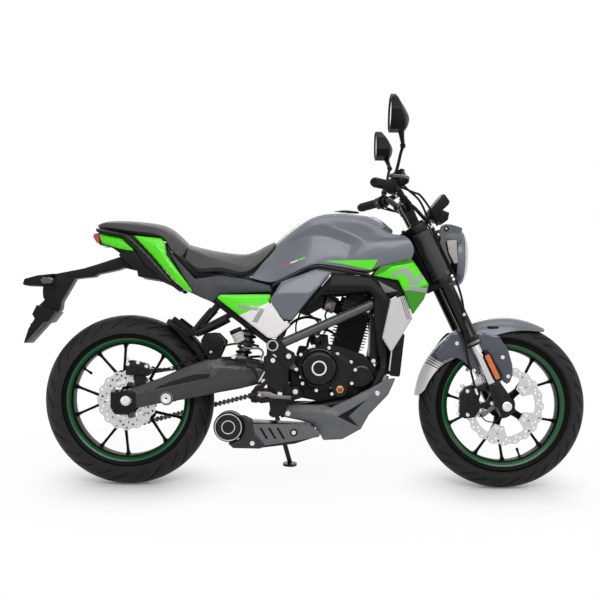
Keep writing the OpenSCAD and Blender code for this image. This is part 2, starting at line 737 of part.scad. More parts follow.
module brake_reservoir() {
  color([0.75, 0.73, 0.66]) {
    translate(p3(pv(-136, 118), -128)) cylinder(d = 40, h = 46);
    translate(p3(pv(-136, 118), -128) + [0, 0, 42]) cylinder(d = 44, h = 10);
    bar(p3(pv(-136, 130), -128), p3(pv(-96, 110), -134), 8);
    slab([pv(-100, 100), pv(-100, 116), pv(-54, 114), pv(-34, 104), pv(-34, 90), pv(-60, 92)], -plate_out - 8, -plate_out - gap);
  }
}

// Front end

module clamp_outline(r) {
  polygon([[head_u - 30, -26], [head_u - 30, 26], [-axle_lead - 16, fork_span / 2 + r - 8],
           [-axle_lead + 16, fork_span / 2 + r - 8], [-axle_lead + 24, 40], [-axle_lead + 24, -40],
           [-axle_lead + 16, -fork_span / 2 - r + 8], [-axle_lead - 16, -fork_span / 2 - r + 8]]);
  for (s = [-1, 1]) translate([-axle_lead, s * fork_span / 2]) circle(r = r);
  translate([head_u, 0]) circle(r = 34);
}

module triple_clamps() {
  color([0.08, 0.08, 0.085])
    at_fork() {
      difference() {
        union() {
          for (w = [lower_clamp_w, upper_clamp_w])
            translate([0, 0, w]) linear_extrude(clamp_t) clamp_outline(fork_outer_d / 2 + 10);
          for (s = [-1, 1]) translate([-axle_lead - 14, s * 42 - 14, upper_clamp_w + clamp_t - 1]) cube([28, 28, 90]);
        }
        for (s = [-1, 1]) translate([-axle_lead, s * fork_span / 2, lower_clamp_w - 1])
          cylinder(d = fork_outer_d + 0.4, h = upper_clamp_w - lower_clamp_w + clamp_t + 2);
        translate([bar_u, 80, bar_z]) rotate([90, 0, 0]) cylinder(d = bar_d + 0.4, h = 160);
      }
      translate([head_u, 0, lower_clamp_w + 4]) cylinder(d = 29.6, h = upper_clamp_w - lower_clamp_w + clamp_t + 6);
      translate([head_u, 0, upper_clamp_w + clamp_t - 1]) cylinder(d = 40, h = 9);
    }
}

bar_u = -8;
bar_z = upper_clamp_w + 100;

module fork_tubes() {
  color([0.04, 0.04, 0.045])
    at_fork() both() translate([-axle_lead, fork_span / 2, 0]) {
      difference() {
        union() {
          translate([0, 0, outer_tube_w]) cylinder(d = fork_outer_d, h = upper_clamp_w + clamp_t + 4 - outer_tube_w);
          translate([0, 0, outer_tube_w - 6]) cylinder(d = fork_outer_d + 6, h = 20);
          translate([0, 0, lower_clamp_w + clamp_t + 4])
            cylinder(d = fork_outer_d + 22, h = upper_clamp_w - lower_clamp_w - clamp_t - 8);
        }
        translate([0, 0, outer_tube_w - 10]) cylinder(d = fork_inner_d + 0.4, h = 70);
      }
    }
}

module fork_legs() {
  color([0.6, 0.6, 0.6])
    at_fork() both() difference() {
      translate([-axle_lead, fork_span / 2, 0]) {
        translate([0, 0, 20]) cylinder(d = fork_inner_d, h = outer_tube_w + 30);
        translate([0, 0, -14]) cylinder(d = fork_inner_d + 13, h = 110);
        translate([8, 22, 0]) rotate([90, 0, 0]) cylinder(d = 56, h = 44);
      }
      translate([0, fork_span / 2 + 60, 0]) rotate([90, 0, 0]) cylinder(d = axle_d + 0.1, h = 120);
    }
}

module front_axle() {
  e = fork_span / 2 + 22;
  color([0.5, 0.5, 0.5])
    translate([wheelbase, 0, fr]) rotate([90, 0, 0]) {
      translate([0, 0, -e - 1]) cylinder(d = axle_d, h = 2 * e + 2);
      translate([0, 0, e + gap]) cylinder(d = 28, h = 9);
      translate([0, 0, -e - 9 - gap]) cylinder(d = 28, h = 9);
    }
}

module front_mudguard() {
  r0 = front_tyre_w / 2 + 12;
  side_y = fork_span / 2 - fork_outer_d / 2 - 3 - gap;
  color([0.3, 0.31, 0.34]) {
    translate([wheelbase, 0, fr]) rotate([90, 0, 0]) rotate([0, 0, 61]) rotate_extrude(angle = 113)
      difference() {
        translate([fr - front_tyre_w / 2, 0]) circle(r = r0);
        translate([fr - front_tyre_w / 2, 0]) circle(r = r0 - 4);
        translate([fr - front_tyre_w / 2 - 100, -100]) square([118, 200]);
      }
    at_fork() both() {
      translate([-46, side_y - 12, 196]) cube([86, 12, 70]);
      translate([-30, side_y - 9, front_disc_d / 2 + 10]) cube([54, 9, 205 - front_disc_d / 2]);
    }
  }
}

module front_caliper() {
  color([0.1, 0.1, 0.1])
    difference() {
      union() {
        slab([[wheelbase - 162, fr - 40], [wheelbase - 158, fr + 40], [wheelbase - 120, fr + 74],
              [wheelbase - 88, fr + 60], [wheelbase - 88, fr - 24], [wheelbase - 110, fr - 44]], -88, -44);
        slab([[wheelbase - 120, fr + 66], [wheelbase - 40, fr + 92], [wheelbase - 20, fr + 40],
              [wheelbase - 40, fr - 10], [wheelbase - 110, fr - 20]], -88, -76);
      }
      translate([wheelbase, 0, fr]) rotate([90, 0, 0]) translate([0, 0, disc_y_f - disc_t / 2 - 5])
        cylinder(d = front_disc_d + 18, h = disc_t + 10);
      at_fork() translate([-axle_lead, -fork_span / 2, -60]) cylinder(d = fork_inner_d + 13 + 2 * gap, h = 220);
      at_fork() translate([0, -fork_span / 2 + 22 + gap, 0]) rotate([90, 0, 0]) cylinder(d = 57, h = 50);
    }
}

bar_k = bar_w / 720;
bar_knee = [bar_u, 70 * bar_k, bar_z];
bar_rise = [bar_u - 18, bar_w / 4, bar_z + 72];
bar_tip = [bar_u - 102, bar_w / 2, bar_z + 104];

module handlebar() {
  color([0.05, 0.05, 0.05])
    at_fork() {
      translate([bar_u, bar_knee[1] + 1, bar_z]) rotate([90, 0, 0]) cylinder(d = bar_d, h = 2 * bar_knee[1] + 2);
      both() {
        knee(bar_knee + [0, 1, 0], bar_d - 1);
        bar(bar_knee, bar_rise, bar_d);
        knee(bar_rise, bar_d - 1);
        bar(bar_rise, bar_tip, bar_d);
      }
    }
}

// Along the straight outer end of the bar, z runs out to the tip.
module on_bar() {
  at_fork() both() aim(bar_rise, bar_tip) children();
}
bar_l = norm(bar_tip - bar_rise);
bar_s = bar_l / norm([84, 180, 32]);

module grips() {
  color([0.04, 0.04, 0.04])
    on_bar() difference() {
      union() {
        translate([0, 0, bar_l - 126 * bar_s]) cylinder(d = bar_d + 12, h = 124 * bar_s);
        translate([0, 0, bar_l - 130 * bar_s]) cylinder(d = bar_d + 20, h = 6);
        translate([0, 0, bar_l + gap]) cylinder(d = bar_d + 8, h = 16);
        translate([0, 0, bar_l - 4]) cylinder(d = bar_d + 4, h = 10);
      }
      translate([0, 0, bar_l - 140 * bar_s]) cylinder(d = bar_d + 0.4, h = 140 * bar_s + 0.2);
    }
}

module hand_controls() {
  color([0.05, 0.05, 0.05])
    on_bar() difference() {
      union() {
        translate([0, 0, bar_l - 162 * bar_s]) cylinder(d = bar_d + 20, h = 30 * bar_s);
        translate([0, 0, bar_l - 186 * bar_s]) cylinder(d = bar_d + 12, h = 22 * bar_s);
        translate([-20, -52, bar_l - 186 * bar_s]) cube([26, 46, 20 * bar_s]);
        bar([-10, -46, bar_l - 176 * bar_s], [-14, -72, bar_l - 130 * bar_s], 13);
        bar([-14, -72, bar_l - 130 * bar_s], [-10, -66, bar_l + 6], 10);
        translate([-10, -66, bar_l + 6]) sphere(d = 15);
      }
      translate([0, 0, bar_l - 240 * bar_s]) cylinder(d = bar_d + 0.4, h = 240 * bar_s);
    }
}

mirror_base = bar_rise + unit(bar_tip - bar_rise) * (bar_l - 175 * bar_s) + [0, 0, bar_d / 2 + 7.4];

module mirrors() {
  at_fork() both() {
    color([0.05, 0.05, 0.05]) {
      translate(mirror_base) cylinder(d = 12, h = 22);
      bar(mirror_base + [0, 0, 20], [bar_rise[0] + 34, 236 * bar_k, bar_rise[2] + 128], 11);
      knee(mirror_base + [0, 0, 21], 10);
      bar([bar_rise[0] + 34, 236 * bar_k, bar_rise[2] + 128], [bar_rise[0] + 60, 300 * bar_k, bar_rise[2] + 200], 11);
      knee([bar_rise[0] + 34, 236 * bar_k, bar_rise[2] + 128], 10);
      hull() {
        translate([bar_rise[0] + 52, 262 * bar_k, bar_rise[2] + 190]) sphere(d = 28, $fn = 24);
        translate([bar_rise[0] + 56, 382 * bar_k, bar_rise[2] + 210]) sphere(d = 28, $fn = 24);
        translate([bar_rise[0] + 76, 372 * bar_k, bar_rise[2] + 268]) sphere(d = 28, $fn = 24);
        translate([bar_rise[0] + 76, 290 * bar_k, bar_rise[2] + 262]) sphere(d = 28, $fn = 24);
      }
    }
  }
}

module dash() {
  color([0.06, 0.06, 0.065])
    at_fork() {
      translate([66, -72, bar_z - 42]) rotate([0, 22, 0]) cube([88, 144, 26]);
      translate([22, -20, upper_clamp_w + 6]) rotate([0, -30, 0]) cube([78, 40, 8]);
      translate([62, -30, upper_clamp_w + 30]) cube([14, 60, 40]);
      translate([16.4, -20, upper_clamp_w + 2]) cube([10, 40, 22]);
    }
}

lamp_c = [88, head_mid - 38];
bracket_w = lower_clamp_w + clamp_t + head_l * 0.145;

module headlamp() {
  color([0.07, 0.07, 0.075])
    at_fork() {
      translate([lamp_c[0], 0, lamp_c[1]]) rotate([0, rake, 0]) rotate([0, 90, 0]) difference() {
        union() {
          translate([0, 0, -8]) cylinder(d = lamp_d, h = 54);
          translate([0, 0, -52]) cylinder(d1 = lamp_d - 70, d2 = lamp_d - 4, h = 45);
        }
        translate([0, 0, 22]) cylinder(d = lamp_d - 22, h = 40);
      }
      both() {
        translate([fork_outer_d / 2 + 11 - axle_lead + gap, fork_span / 2 - 6, bracket_w]) cube([70, 10, head_l * 0.289]);
      }
    }
}

module headlamp_lens() {
  color([0.8, 0.85, 0.9])
    at_fork() translate([lamp_c[0], 0, lamp_c[1]]) rotate([0, rake, 0]) rotate([0, 90, 0])
      translate([0, 0, 22 + gap]) cylinder(d = lamp_d - 23, h = 16);
}

module front_hose() {
  color([0.03, 0.03, 0.03])
    at_fork() hose([[-10.4, -215.6 * bar_k, bar_z + 69.3], [-6, -214 * bar_k, bar_z + 50], [14, -190 * bar_k, bar_z + 5],
                    [44, -146, bar_z - 70], [58, -124, on(lower_clamp_w, bar_z - 70, 2 / 3)], [52, -130, lower_clamp_w],
                    [34, -136, outer_tube_w + 80], [-18, -139, outer_tube_w - 18],
                    [-56, -122, 150], [-70, -100, 106], [-72, -92.6, 84]], 8, 5, 10);
}

// Wheels

module tyre(r, w, bead) {
  rotate([90, 0, 0]) rotate_extrude($fn = 128)
    difference() {
      union() {
        translate([r - w / 2, 0]) circle(r = w / 2);
        polygon([[rim_r - 12, -bead], [r - w / 2 - 2, -w / 2 + 1], [r - w / 2 - 2, w / 2 - 1], [rim_r - 12, bead]]);
      }
      translate([0, -w]) square([rim_r - 9, 2 * w]);
    }
}

module rim(w, hub_w, n0) {
  rotate([90, 0, 0]) {
    difference() {
      union() {
        rotate_extrude($fn = 128) {
          polygon([[rim_r - 24, -w / 2 + 6], [rim_r - 9 - gap, -w / 2 + 1], [rim_r - 9 - gap, w / 2 - 1],
                   [rim_r - 24, w / 2 - 6]]);
        }
        translate([0, 0, -hub_w / 2]) cylinder(d = 64, h = hub_w);
        translate([0, 0, -spoke_t / 2]) linear_extrude(spoke_t)
          for (i = [0:4]) rotate(n0 + i * 72) {
            polygon([[20, -20], [112, -15], [124, 0], [112, 15], [20, 20]]);
            for (s = [-1, 1])
              polygon([[96, s * 1], [104, s * 15], [rim_r - 20, s * (0.245 * rim_r + spoke_w / 2)],
                       [rim_r - 20, s * (0.245 * rim_r - spoke_w / 2)]]);
          }
      }
      translate([0, 0, -hub_w]) cylinder(d = axle_d + 0.2, h = 2 * hub_w);
      rotate_extrude($fn = 128) translate([rim_r - 16, -w / 2 + 16]) square([20, w - 32]);
    }
  }
}

module disc_plate(d, inner, n, wave, n0) {
  linear_extrude(disc_t) difference() {
    union() {
      difference() {
        polygon([for (i = [0:119]) (d / 2 - wave + wave * cos(3 * i * n)) * [cos(3 * i), sin(3 * i)]]);
        circle(r = inner);
      }
      for (i = [0:4]) rotate(n0 + i * 72) translate([44, -13]) square([inner - 36, 26]);
    }
    circle(r = 40);
  }
}

front_phase = 41;
rear_phase = 38;
front_hub = fork_span - fork_inner_d - 13 - 1.2;

module front_rim() {
  color([0.03, 0.03, 0.032])
    translate([wheelbase, 0, fr]) rim(front_tyre_w - 26, front_hub, front_phase);
}

module front_tyre() {
  color([0.02, 0.02, 0.02])
    translate([wheelbase, 0, fr]) tyre(fr, front_tyre_w, front_tyre_w / 2 - 12);
}

module front_disc() {
  color([0.7, 0.7, 0.7])
    translate([wheelbase, -disc_y_f + disc_t / 2, fr]) rotate([90, 0, 0]) disc_plate(front_disc_d, front_disc_d / 2 - 33, 10, 2.5, front_phase);
  color([0.7, 0.7, 0.7])
    translate([wheelbase, 0, fr]) rotate([90, 0, 0]) for (i = [0:4]) rotate([0, 0, front_phase + i * 72])
      translate([56, 0, spoke_t / 2 + gap]) cylinder(d = 18, h = disc_y_f - spoke_t / 2 - disc_t / 2);
}

module rear_rim() {
  color([0.03, 0.03, 0.032])
    translate([0, 0, rr]) rim(rear_tyre_w - 30, 2 * arm_in - 1, rear_phase);
}

module rear_tyre() {
  color([0.02, 0.02, 0.02])
    translate([0, 0, rr]) tyre(rr, rear_tyre_w, rear_tyre_w / 2 - 14);
}

module rear_disc() {
  color([0.7, 0.7, 0.7])
    translate([0, -disc_y_r + disc_t / 2, rr]) rotate([90, 0, 0]) disc_plate(rear_disc_d, rear_disc_d / 2 - 30, 10, 2.5, rear_phase);
  color([0.7, 0.7, 0.7])
    translate([0, 0, rr]) rotate([90, 0, 0]) for (i = [0:4]) rotate([0, 0, rear_phase + i * 72])
      translate([56, 0, spoke_t / 2 + gap]) cylinder(d = 18, h = disc_y_r - spoke_t / 2 - disc_t / 2);
}

module rear_sprocket() {
  color([0.3, 0.3, 0.3])
    translate([0, chain_y + 3, rr]) rotate([90, 0, 0]) {
      linear_extrude(6) difference() {
        circle(r = sprocket_r);
        circle(r = 40);
        for (i = [0:4]) rotate(rear_phase + i * 72 + 36) translate([64, 0]) circle(r = 12);
      }
      for (i = [0:4]) rotate([0, 0, rear_phase + i * 72])
        translate([50, 0, 1]) cylinder(d = 16, h = chain_y + 3 - spoke_t / 2 - gap - 1);
    }
}

// Side stand

stand_foot = p3([stand_p[0] + 60, road(stand_p[1] + 118)], stand_p[1] + 118);

module side_stand() {
  color([0.1, 0.1, 0.1]) {
    difference() {
      union() {
        aim(stand_p - stand_axis * 8, stand_p + stand_axis * 8) cylinder(d = 32, h = 16);
        bar(stand_p, stand_foot + [0, 0, 12], 18);
      }
      aim(stand_p - stand_axis * 20, stand_p + stand_axis * 20) cylinder(d = 12.2, h = 40);
      aim(stand_p + stand_axis * 8, stand_p + stand_axis * 20) cylinder(d = 34, h = 12);
      aim(stand_p - stand_axis * 8, stand_p - stand_axis * 20) cylinder(d = 34, h = 12);
    }
    translate(stand_foot) rotate([lean, 0, 0]) cylinder(d = 54, h = 9);
  }
}

leaned() {
  frame();
  crankcase();
  cylinder_block();
  engine_covers();
  exhaust_header();
  silencer();
  heat_shield();
  belly_pan();
  radiator();
  fuel_tank();
  tank_wings();
  shrouds();
  radiator_covers();
  air_cowls();
  knee_panels();
  side_covers();
  seat_trim();
  rider_seat();
  pillion_seat();
  undertray();
  tail_cowl();
  grab_rail();
  tail_lamp();
  plate_carrier();
  rear_indicators();
  swingarm();
  pivot_bolt();
  rear_axle();
  hugger();
  chain_guard();
  chain();
  shock();
  footrests();
  foot_controls();
  pillion_pegs();
  rear_caliper();
  brake_reservoir();
  triple_clamps();
  fork_tubes();
  fork_legs();
  front_axle();
  front_mudguard();
  front_caliper();
  handlebar();
  grips();
  hand_controls();
  mirrors();
  dash();
  headlamp();
  headlamp_lens();
  front_hose();
  front_rim();
  front_tyre();
  front_disc();
  rear_rim();
  rear_tyre();
  rear_disc();
  rear_sprocket();
  side_stand();
  fuel_cap();
}
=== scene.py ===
"""Looks of a standard motorcycle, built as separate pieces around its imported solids."""

import json
import math

import bmesh
import bpy
import numpy as np
from bpy.props import FloatProperty, FloatVectorProperty, IntProperty, PointerProperty
from mathutils import Matrix, Vector
from mathutils.geometry import delaunay_2d_cdt


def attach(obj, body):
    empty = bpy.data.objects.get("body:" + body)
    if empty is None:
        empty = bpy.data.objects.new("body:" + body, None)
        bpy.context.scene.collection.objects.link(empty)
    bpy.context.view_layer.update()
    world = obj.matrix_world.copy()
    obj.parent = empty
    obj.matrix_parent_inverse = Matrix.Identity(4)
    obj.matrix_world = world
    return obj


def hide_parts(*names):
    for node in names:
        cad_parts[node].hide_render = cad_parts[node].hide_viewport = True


bl_info = {
    "name": "Standard Motorcycle",
    "version": (1, 0, 0),
    "blender": (4, 5, 0),
    "location": "View3D > Sidebar > Motorcycle",
    "description": "Dresses the solids of a standard motorcycle with panels, wheels, lamps and finishes",
    "category": "Object",
}

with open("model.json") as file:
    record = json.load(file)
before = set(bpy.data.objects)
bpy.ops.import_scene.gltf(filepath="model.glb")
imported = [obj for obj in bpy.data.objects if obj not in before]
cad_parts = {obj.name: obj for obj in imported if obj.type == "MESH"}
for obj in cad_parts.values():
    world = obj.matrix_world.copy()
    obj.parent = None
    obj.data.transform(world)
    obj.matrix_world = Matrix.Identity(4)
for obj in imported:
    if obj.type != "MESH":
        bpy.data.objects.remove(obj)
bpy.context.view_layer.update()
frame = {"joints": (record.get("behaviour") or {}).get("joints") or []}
JOINT = {j["name"]: j for j in frame["joints"]}

# Upright motorcycle in millimetres: x forward from the rear axle, y to the left, z up from the road.
REAR = JOINT["rear_wheel_spin"]
LEAN = math.atan2(-REAR["axis"][2], REAR["axis"][1])
FRONT_R, REAR_R = 300, 306
BIKE = (Matrix.Translation(REAR["pos_m"]) @ Matrix.Rotation(-LEAN, 4, "X")
        @ Matrix.Translation((0, 0, -REAR_R / 1000)) @ Matrix.Scale(0.001, 4))
BASE, RAKE = 1350.0, math.radians(26)
FORK = Matrix.Translation((BASE, 0, FRONT_R)) @ Matrix.Rotation(-RAKE, 4, "Y")
FRONT_HUB = Matrix.Translation((BASE, 0, FRONT_R)) @ Matrix.Rotation(math.pi / 2, 4, "X")
REAR_HUB = Matrix.Translation((0, 0, REAR_R)) @ Matrix.Rotation(math.pi / 2, 4, "X")


def shade(r, g, b):
    """A screen colour, 0 to 255, as the light values that a shader takes."""
    return tuple(c / 3294.6 if c <= 10 else ((c / 255 + 0.055) / 1.055) ** 2.4 for c in (r, g, b))


# Shapes. Each function gives (points, faces) in millimetres.

class Shape:
    """The faces of one piece, each with the number of its finish."""

    def __init__(self):
        self.v, self.f, self.m = [], [], []

    def add(self, mesh, mat=0, place=None, both=False):
        pts, faces = mesh
        pts = [Vector(p) for p in pts]
        if place is not None:
            pts = [place @ p for p in pts]
        for side in ((1, -1) if both else (1,)):
            base = len(self.v)
            self.v += [(p.x, p.y * side, p.z) for p in pts]
            self.f += [tuple(base + i for i in (f if side == 1 else f[::-1])) for f in faces]
            self.m += list(mat) if isinstance(mat, (list, tuple)) else [mat] * len(faces)
        return self

    def cut(self, outline, r, y0, y1, mat=0, place=None, both=False):
        """Adds a side outline with rounded corners, drawn out from y0 to y1."""
        return self.add(slab(rounded(outline, r), y0, y1), mat, place, both)

    def moved(self, place):
        self.v = [tuple(place @ Vector(p)) for p in self.v]
        return self

    def lathe(self, profile, n=48, mat=0, place=None, both=False):
        """Adds a turned shape from (radius, height) points."""
        return self.add(revolve(profile, n), mat, place, both)


def shift(x, y, z):
    return Matrix.Translation((x, y, z))


def turn(angle, axis):
    return Matrix.Rotation(math.radians(angle), 4, axis)


def along(a, b):
    """Places local z along the line from a to b."""
    a, b = Vector(a), Vector(b)
    return Matrix.Translation(a) @ (b - a).to_track_quat("Z", "Y").to_matrix().to_4x4()


def side_on(x, z):
    """Local x, y and z become forward, up and out to the right."""
    return Matrix.Translation((x, 0, z)) @ turn(90, "X")


def grid_faces(rows, cols, wrap_r=False, wrap_c=False):
    out = []
    for i in range(rows if wrap_r else rows - 1):
        for j in range(cols if wrap_c else cols - 1):
            a, b = i % rows, (i + 1) % rows
            c, d = j % cols, (j + 1) % cols
            out.append((a * cols + c, a * cols + d, b * cols + d, b * cols + c))
    return out


def revolve(profile, n=48):
    """A turned shape about z from (radius, height) points; equal ends make a ring."""
    ring = profile[0] == profile[-1]
    prof = profile[:-1] if ring else profile
    pts, rows, faces = [], [], []
    for r, h in prof:
        if r < 1e-6:
            rows.append([len(pts)] * n)
            pts.append((0, 0, h))
        else:
            rows.append([len(pts) + i for i in range(n)])
            pts += [(r * math.cos(2 * math.pi * i / n), r * math.sin(2 * math.pi * i / n), h) for i in range(n)]
    pairs = list(zip(rows, rows[1:])) + ([(rows[-1], rows[0])] if ring else [])
    for a, b in pairs:
        for i in range(n):
            j = (i + 1) % n
            f = [a[i], a[j], b[j], b[i]]
            f = [x for k, x in enumerate(f) if x not in f[:k]]
            if len(f) > 2:
                faces.append(tuple(f))
    if not ring:
        for row in (rows[0], rows[-1]):
            if row[0] != row[1]:
                faces.append(tuple(row))
    return pts, faces


def rod(r, h0, h1, soft=1.0, n=32):
    """A turned rod with rounded rims."""
    s = min(soft, r * 0.45, abs(h1 - h0) * 0.45)
    q = 0.3 * s
    return revolve([(0, h0), (r - s, h0), (r - q, h0 + q), (r, h0 + s), (r, h1 - s), (r - q, h1 - q), (r - s, h1),
                    (0, h1)], n)


def pipe(r, inner, h0, h1, soft=1.0, n=40):
    s = min(soft, (r - inner) * 0.45)
    return revolve([(inner, h0 + s), (inner + s, h0), (r - s, h0), (r, h0 + s), (r, h1 - s), (r - s, h1),
                    (inner + s, h1), (inner, h1 - s), (inner, h0 + s)], n)


def smooth_line(points, k):
    pts = [np.array(p, float) for p in points]
    out = []
    for i in range(len(pts) - 1):
        a, b = pts[max(i - 1, 0)], pts[i]
        c, d = pts[i + 1], pts[min(i + 2, len(pts) - 1)]
        for j in range(k):
            t = j / k
            out.append(0.5 * (2 * b + (c - a) * t + (2 * a - 5 * b + 4 * c - d) * t * t
                              + (3 * b - a - 3 * c + d) * t ** 3))
    return out + [pts[-1]]


def tube(points, radius, n=12, k=6, squash=None):
    """A tube along a smooth line; radius is one number or one for each point."""
    line = smooth_line(points, k) if k > 1 else [np.array(p, float) for p in points]
    if np.isscalar(radius):
        radii = [radius] * len(line)
    else:
        radii = np.interp(np.linspace(0, len(radius) - 1, len(line)), range(len(radius)), radius)
    pts, up = [], None
    for i, p in enumerate(line):
        t = line[min(i + 1, len(line) - 1)] - line[max(i - 1, 0)]
        t /= np.linalg.norm(t)
        if up is None:
            up = np.cross(t, (0, 1, 0) if abs(t[1]) < 0.9 else (1, 0, 0))
        up = up - t * np.dot(up, t)
        up /= np.linalg.norm(up)
        w = np.cross(t, up)
        for j in range(n):
            a = 2 * math.pi * j / n
            pts.append(tuple(p + radii[i] * (math.cos(a) * up + (squash or 1) * math.sin(a) * w)))
    faces = grid_faces(len(line), n, wrap_c=True)
    faces += [tuple(range(n)), tuple(len(pts) - n + j for j in range(n))]
    return pts, faces


def rounded(points, r, k=4):
    """An outline with its corners turned by radius r, or by one radius for each point."""
    n, out = len(points), []
    for i in range(n):
        a, b, c = (Vector(points[(i + d) % n]) for d in (-1, 0, 1))
        u, w = (a - b).normalized(), (c - b).normalized()
        half = math.acos(max(-1, min(1, u.dot(w)))) / 2
        cut = (r[i] if isinstance(r, (list, tuple)) else r) / max(math.tan(half), 0.05)
        cut = min(cut, (a - b).length * 0.45, (c - b).length * 0.45)
        p, q = b + u * cut, b + w * cut
        for j in range(k + 1):
            t = j / k
            out.append(tuple((1 - t) ** 2 * p + 2 * t * (1 - t) * b + t * t * q))
    return out


def slab(points, y0, y1):
    """A side outline in x and z, drawn out from y0 to y1."""
    n = len(points)
    pts = [(x, y0, z) for x, z in points] + [(x, y1, z) for x, z in points]
    faces = [tuple(range(n)), tuple(range(2 * n - 1, n - 1, -1))]
    faces += [(i, i + n, (i + 1) % n + n, (i + 1) % n) for i in range(n)]
    return pts, faces


def block(lo, hi):
    x0, y0, z0 = lo
    x1, y1, z1 = hi
    return slab([(x0, z0), (x1, z0), (x1, z1), (x0, z1)], y0, y1)


def inside(x, z, poly):
    hit = False
    for i in range(len(poly)):
        (x0, z0), (x1, z1) = poly[i - 1], poly[i]
        if (z0 > z) != (z1 > z) and x < (x1 - x0) * (z - z0) / (z1 - z0) + x0:
            hit = not hit
    return hit


def resample(points, step):
    out = []
    for i, p in enumerate(points):
        p, q = np.array(p, float), np.array(points[(i + 1) % len(points)], float)
        n = max(1, int(round(np.linalg.norm(q - p) / step)))
        out += [tuple(p + (q - p) * j / n) for j in range(n)]
    return out


def facet_height(ctrl, facets):
    """Height over x and z from a few control points joined by flat facets."""
    tris = [(f[0], f[i], f[i + 1]) for f in facets for i in range(1, len(f) - 1)]
    c = np.array(ctrl, float)

    def height(p):
        best, found = -1e9, 0.0
        for t in tris:
            a, b, d = c[list(t)]
            m = np.array([[b[0] - a[0], d[0] - a[0]], [b[1] - a[1], d[1] - a[1]]])
            if abs(np.linalg.det(m)) < 1e-6:
                continue
            s = np.linalg.solve(m, np.array(p) - a[:2])
            worst = min(s[0], s[1], 1 - s[0] - s[1])
            if worst > best:
                best, found = worst, a[2] + s[0] * (b[2] - a[2]) + s[1] * (d[2] - a[2])
                if worst >= 0:
                    break
        return found
    return height


def skin(outline, height, thick, edge=4.0, step=8.0, lines=(), paint=None, soften=2, dome=0.0, inks=()):
    """A moulded panel over a side outline, with a rolled rim; returns (mesh, finish numbers).
    inks are (outline, number) pairs that colour the faces inside them."""
    ring = resample(outline, step * 0.75)
    area = sum(ring[i - 1][0] * p[1] - p[0] * ring[i - 1][1] for i, p in enumerate(ring))
    ring = ring if area > 0 else ring[::-1]
    n = len(ring)
    inner = []
    for i in range(n):
        a, b = np.array(ring[i - 1]), np.array(ring[(i + 1) % n])
        t = (b - a) / max(np.linalg.norm(b - a), 1e-9)
        inner.append((ring[i][0] - t[1] * edge, ring[i][1] + t[0] * edge))
    flat, edges = ring + inner, [(i, (i + 1) % n) for i in range(n)]
    xs, zs = [p[0] for p in ring], [p[1] for p in ring]
    rim = np.array(ring)
    gx, row = np.arange(min(xs), max(xs), step), 0
    for z in np.arange(min(zs), max(zs), step * 0.87):
        row += 1
        for x in gx + (step / 2 if row % 2 else 0):
            if inside(x, z, ring) and np.hypot(rim[:, 0] - x, rim[:, 1] - z).min() > edge + step * 0.4:
                flat.append((x, z))
    strokes = [list(s) for s in lines] + [list(o) + [o[0]] for o, _ in inks]
    for s in strokes:
        for p, q in zip(s, s[1:]):
            m = max(1, int(round(math.dist(p, q) / step)))
            base = len(flat)
            flat += [(p[0] + (q[0] - p[0]) * j / m, p[1] + (q[1] - p[1]) * j / m) for j in range(m + 1)]
            edges += [(base + j, base + j + 1) for j in range(m)]
    co, _, tris, *_ = delaunay_2d_cdt([Vector(p) for p in flat], edges, [], 0, 0.05)
    tris = [t for t in tris if inside(sum(co[i].x for i in t) / 3, sum(co[i].y for i in t) / 3, ring)]
    used = sorted({i for t in tris for i in t})
    index = {v: k for k, v in enumerate(used)}
    tris = [tuple(index[i] for i in t) for t in tris]
    pts = np.array([(co[i].x, co[i].y) for i in used])
    dist = np.array([np.hypot(rim[:, 0] - x, rim[:, 1] - z).min() for x, z in pts])
    y = np.array([height(p) for p in pts])
    links = [set() for _ in used]
    for t in tris:
        for i in range(3):
            links[t[i]] |= {t[i - 1], t[i - 2]}
    for _ in range(soften):
        y = 0.4 * y + 0.6 * np.array([y[list(s)].mean() if s else y[i] for i, s in enumerate(links)])
    y = y + dome * (1 - (1 - np.clip(dist / max(dist.max(), 1e-6), 0, 1)) ** 2)
    drop = np.clip(1 - dist / (edge * 1.6), 0, 1)
    y = y - edge * (1 - np.sqrt(np.clip(1 - drop ** 2, 0, 1)))
    back = np.minimum(y - 2.0, y.max() - thick)
    m = len(used)
    verts = [(p[0], y[i], p[1]) for i, p in enumerate(pts)] + [(p[0], back[i], p[1]) for i, p in enumerate(pts)]
    seen = {}
    for t in tris:
        for i in range(3):
            e = (t[i], t[(i + 1) % 3])
            seen[e] = seen.get(e, 0) + 1
    faces, mats = list(tris) + [tuple(i + m for i in t[::-1]) for t in tris], []
    for t in tris:
        x, z = pts[list(t)].mean(0)
        mat = paint(x, z) if paint else 0
        for o, k in inks:
            if inside(x, z, o):
                mat = k
        mats.append(mat)
    mats += [mats[i] for i in range(len(tris))]
    for (a, b) in seen:
        if (b, a) not in seen:
            faces.append((b, a, a + m, b + m))
            mats.append(mats[next(i for i, t in enumerate(tris) if a in t and b in t)])
    return (verts, faces), mats


def cage(rows):
    """A closed body from half rows that run from the top middle to the bottom middle, mirrored in y."""
    c = len(rows[0])
    full = [[(x, -y, z) for x, z, y in row] for row in rows]
    full += [[(x, y, z) for x, z, y in row] for row in reversed(rows[1:-1])]
    pts = [p for row in full for p in row]
    n = len(full)
    faces = [(((i + 1) % n) * c + j, ((i + 1) % n) * c + j + 1, i * c + j + 1,
              i * c + j) for i in range(n) for j in range(c - 1)]
    for j in (0, c - 1):
        faces.append(tuple(i * c + j for i in range(n)))
    return pts, faces


# Pieces

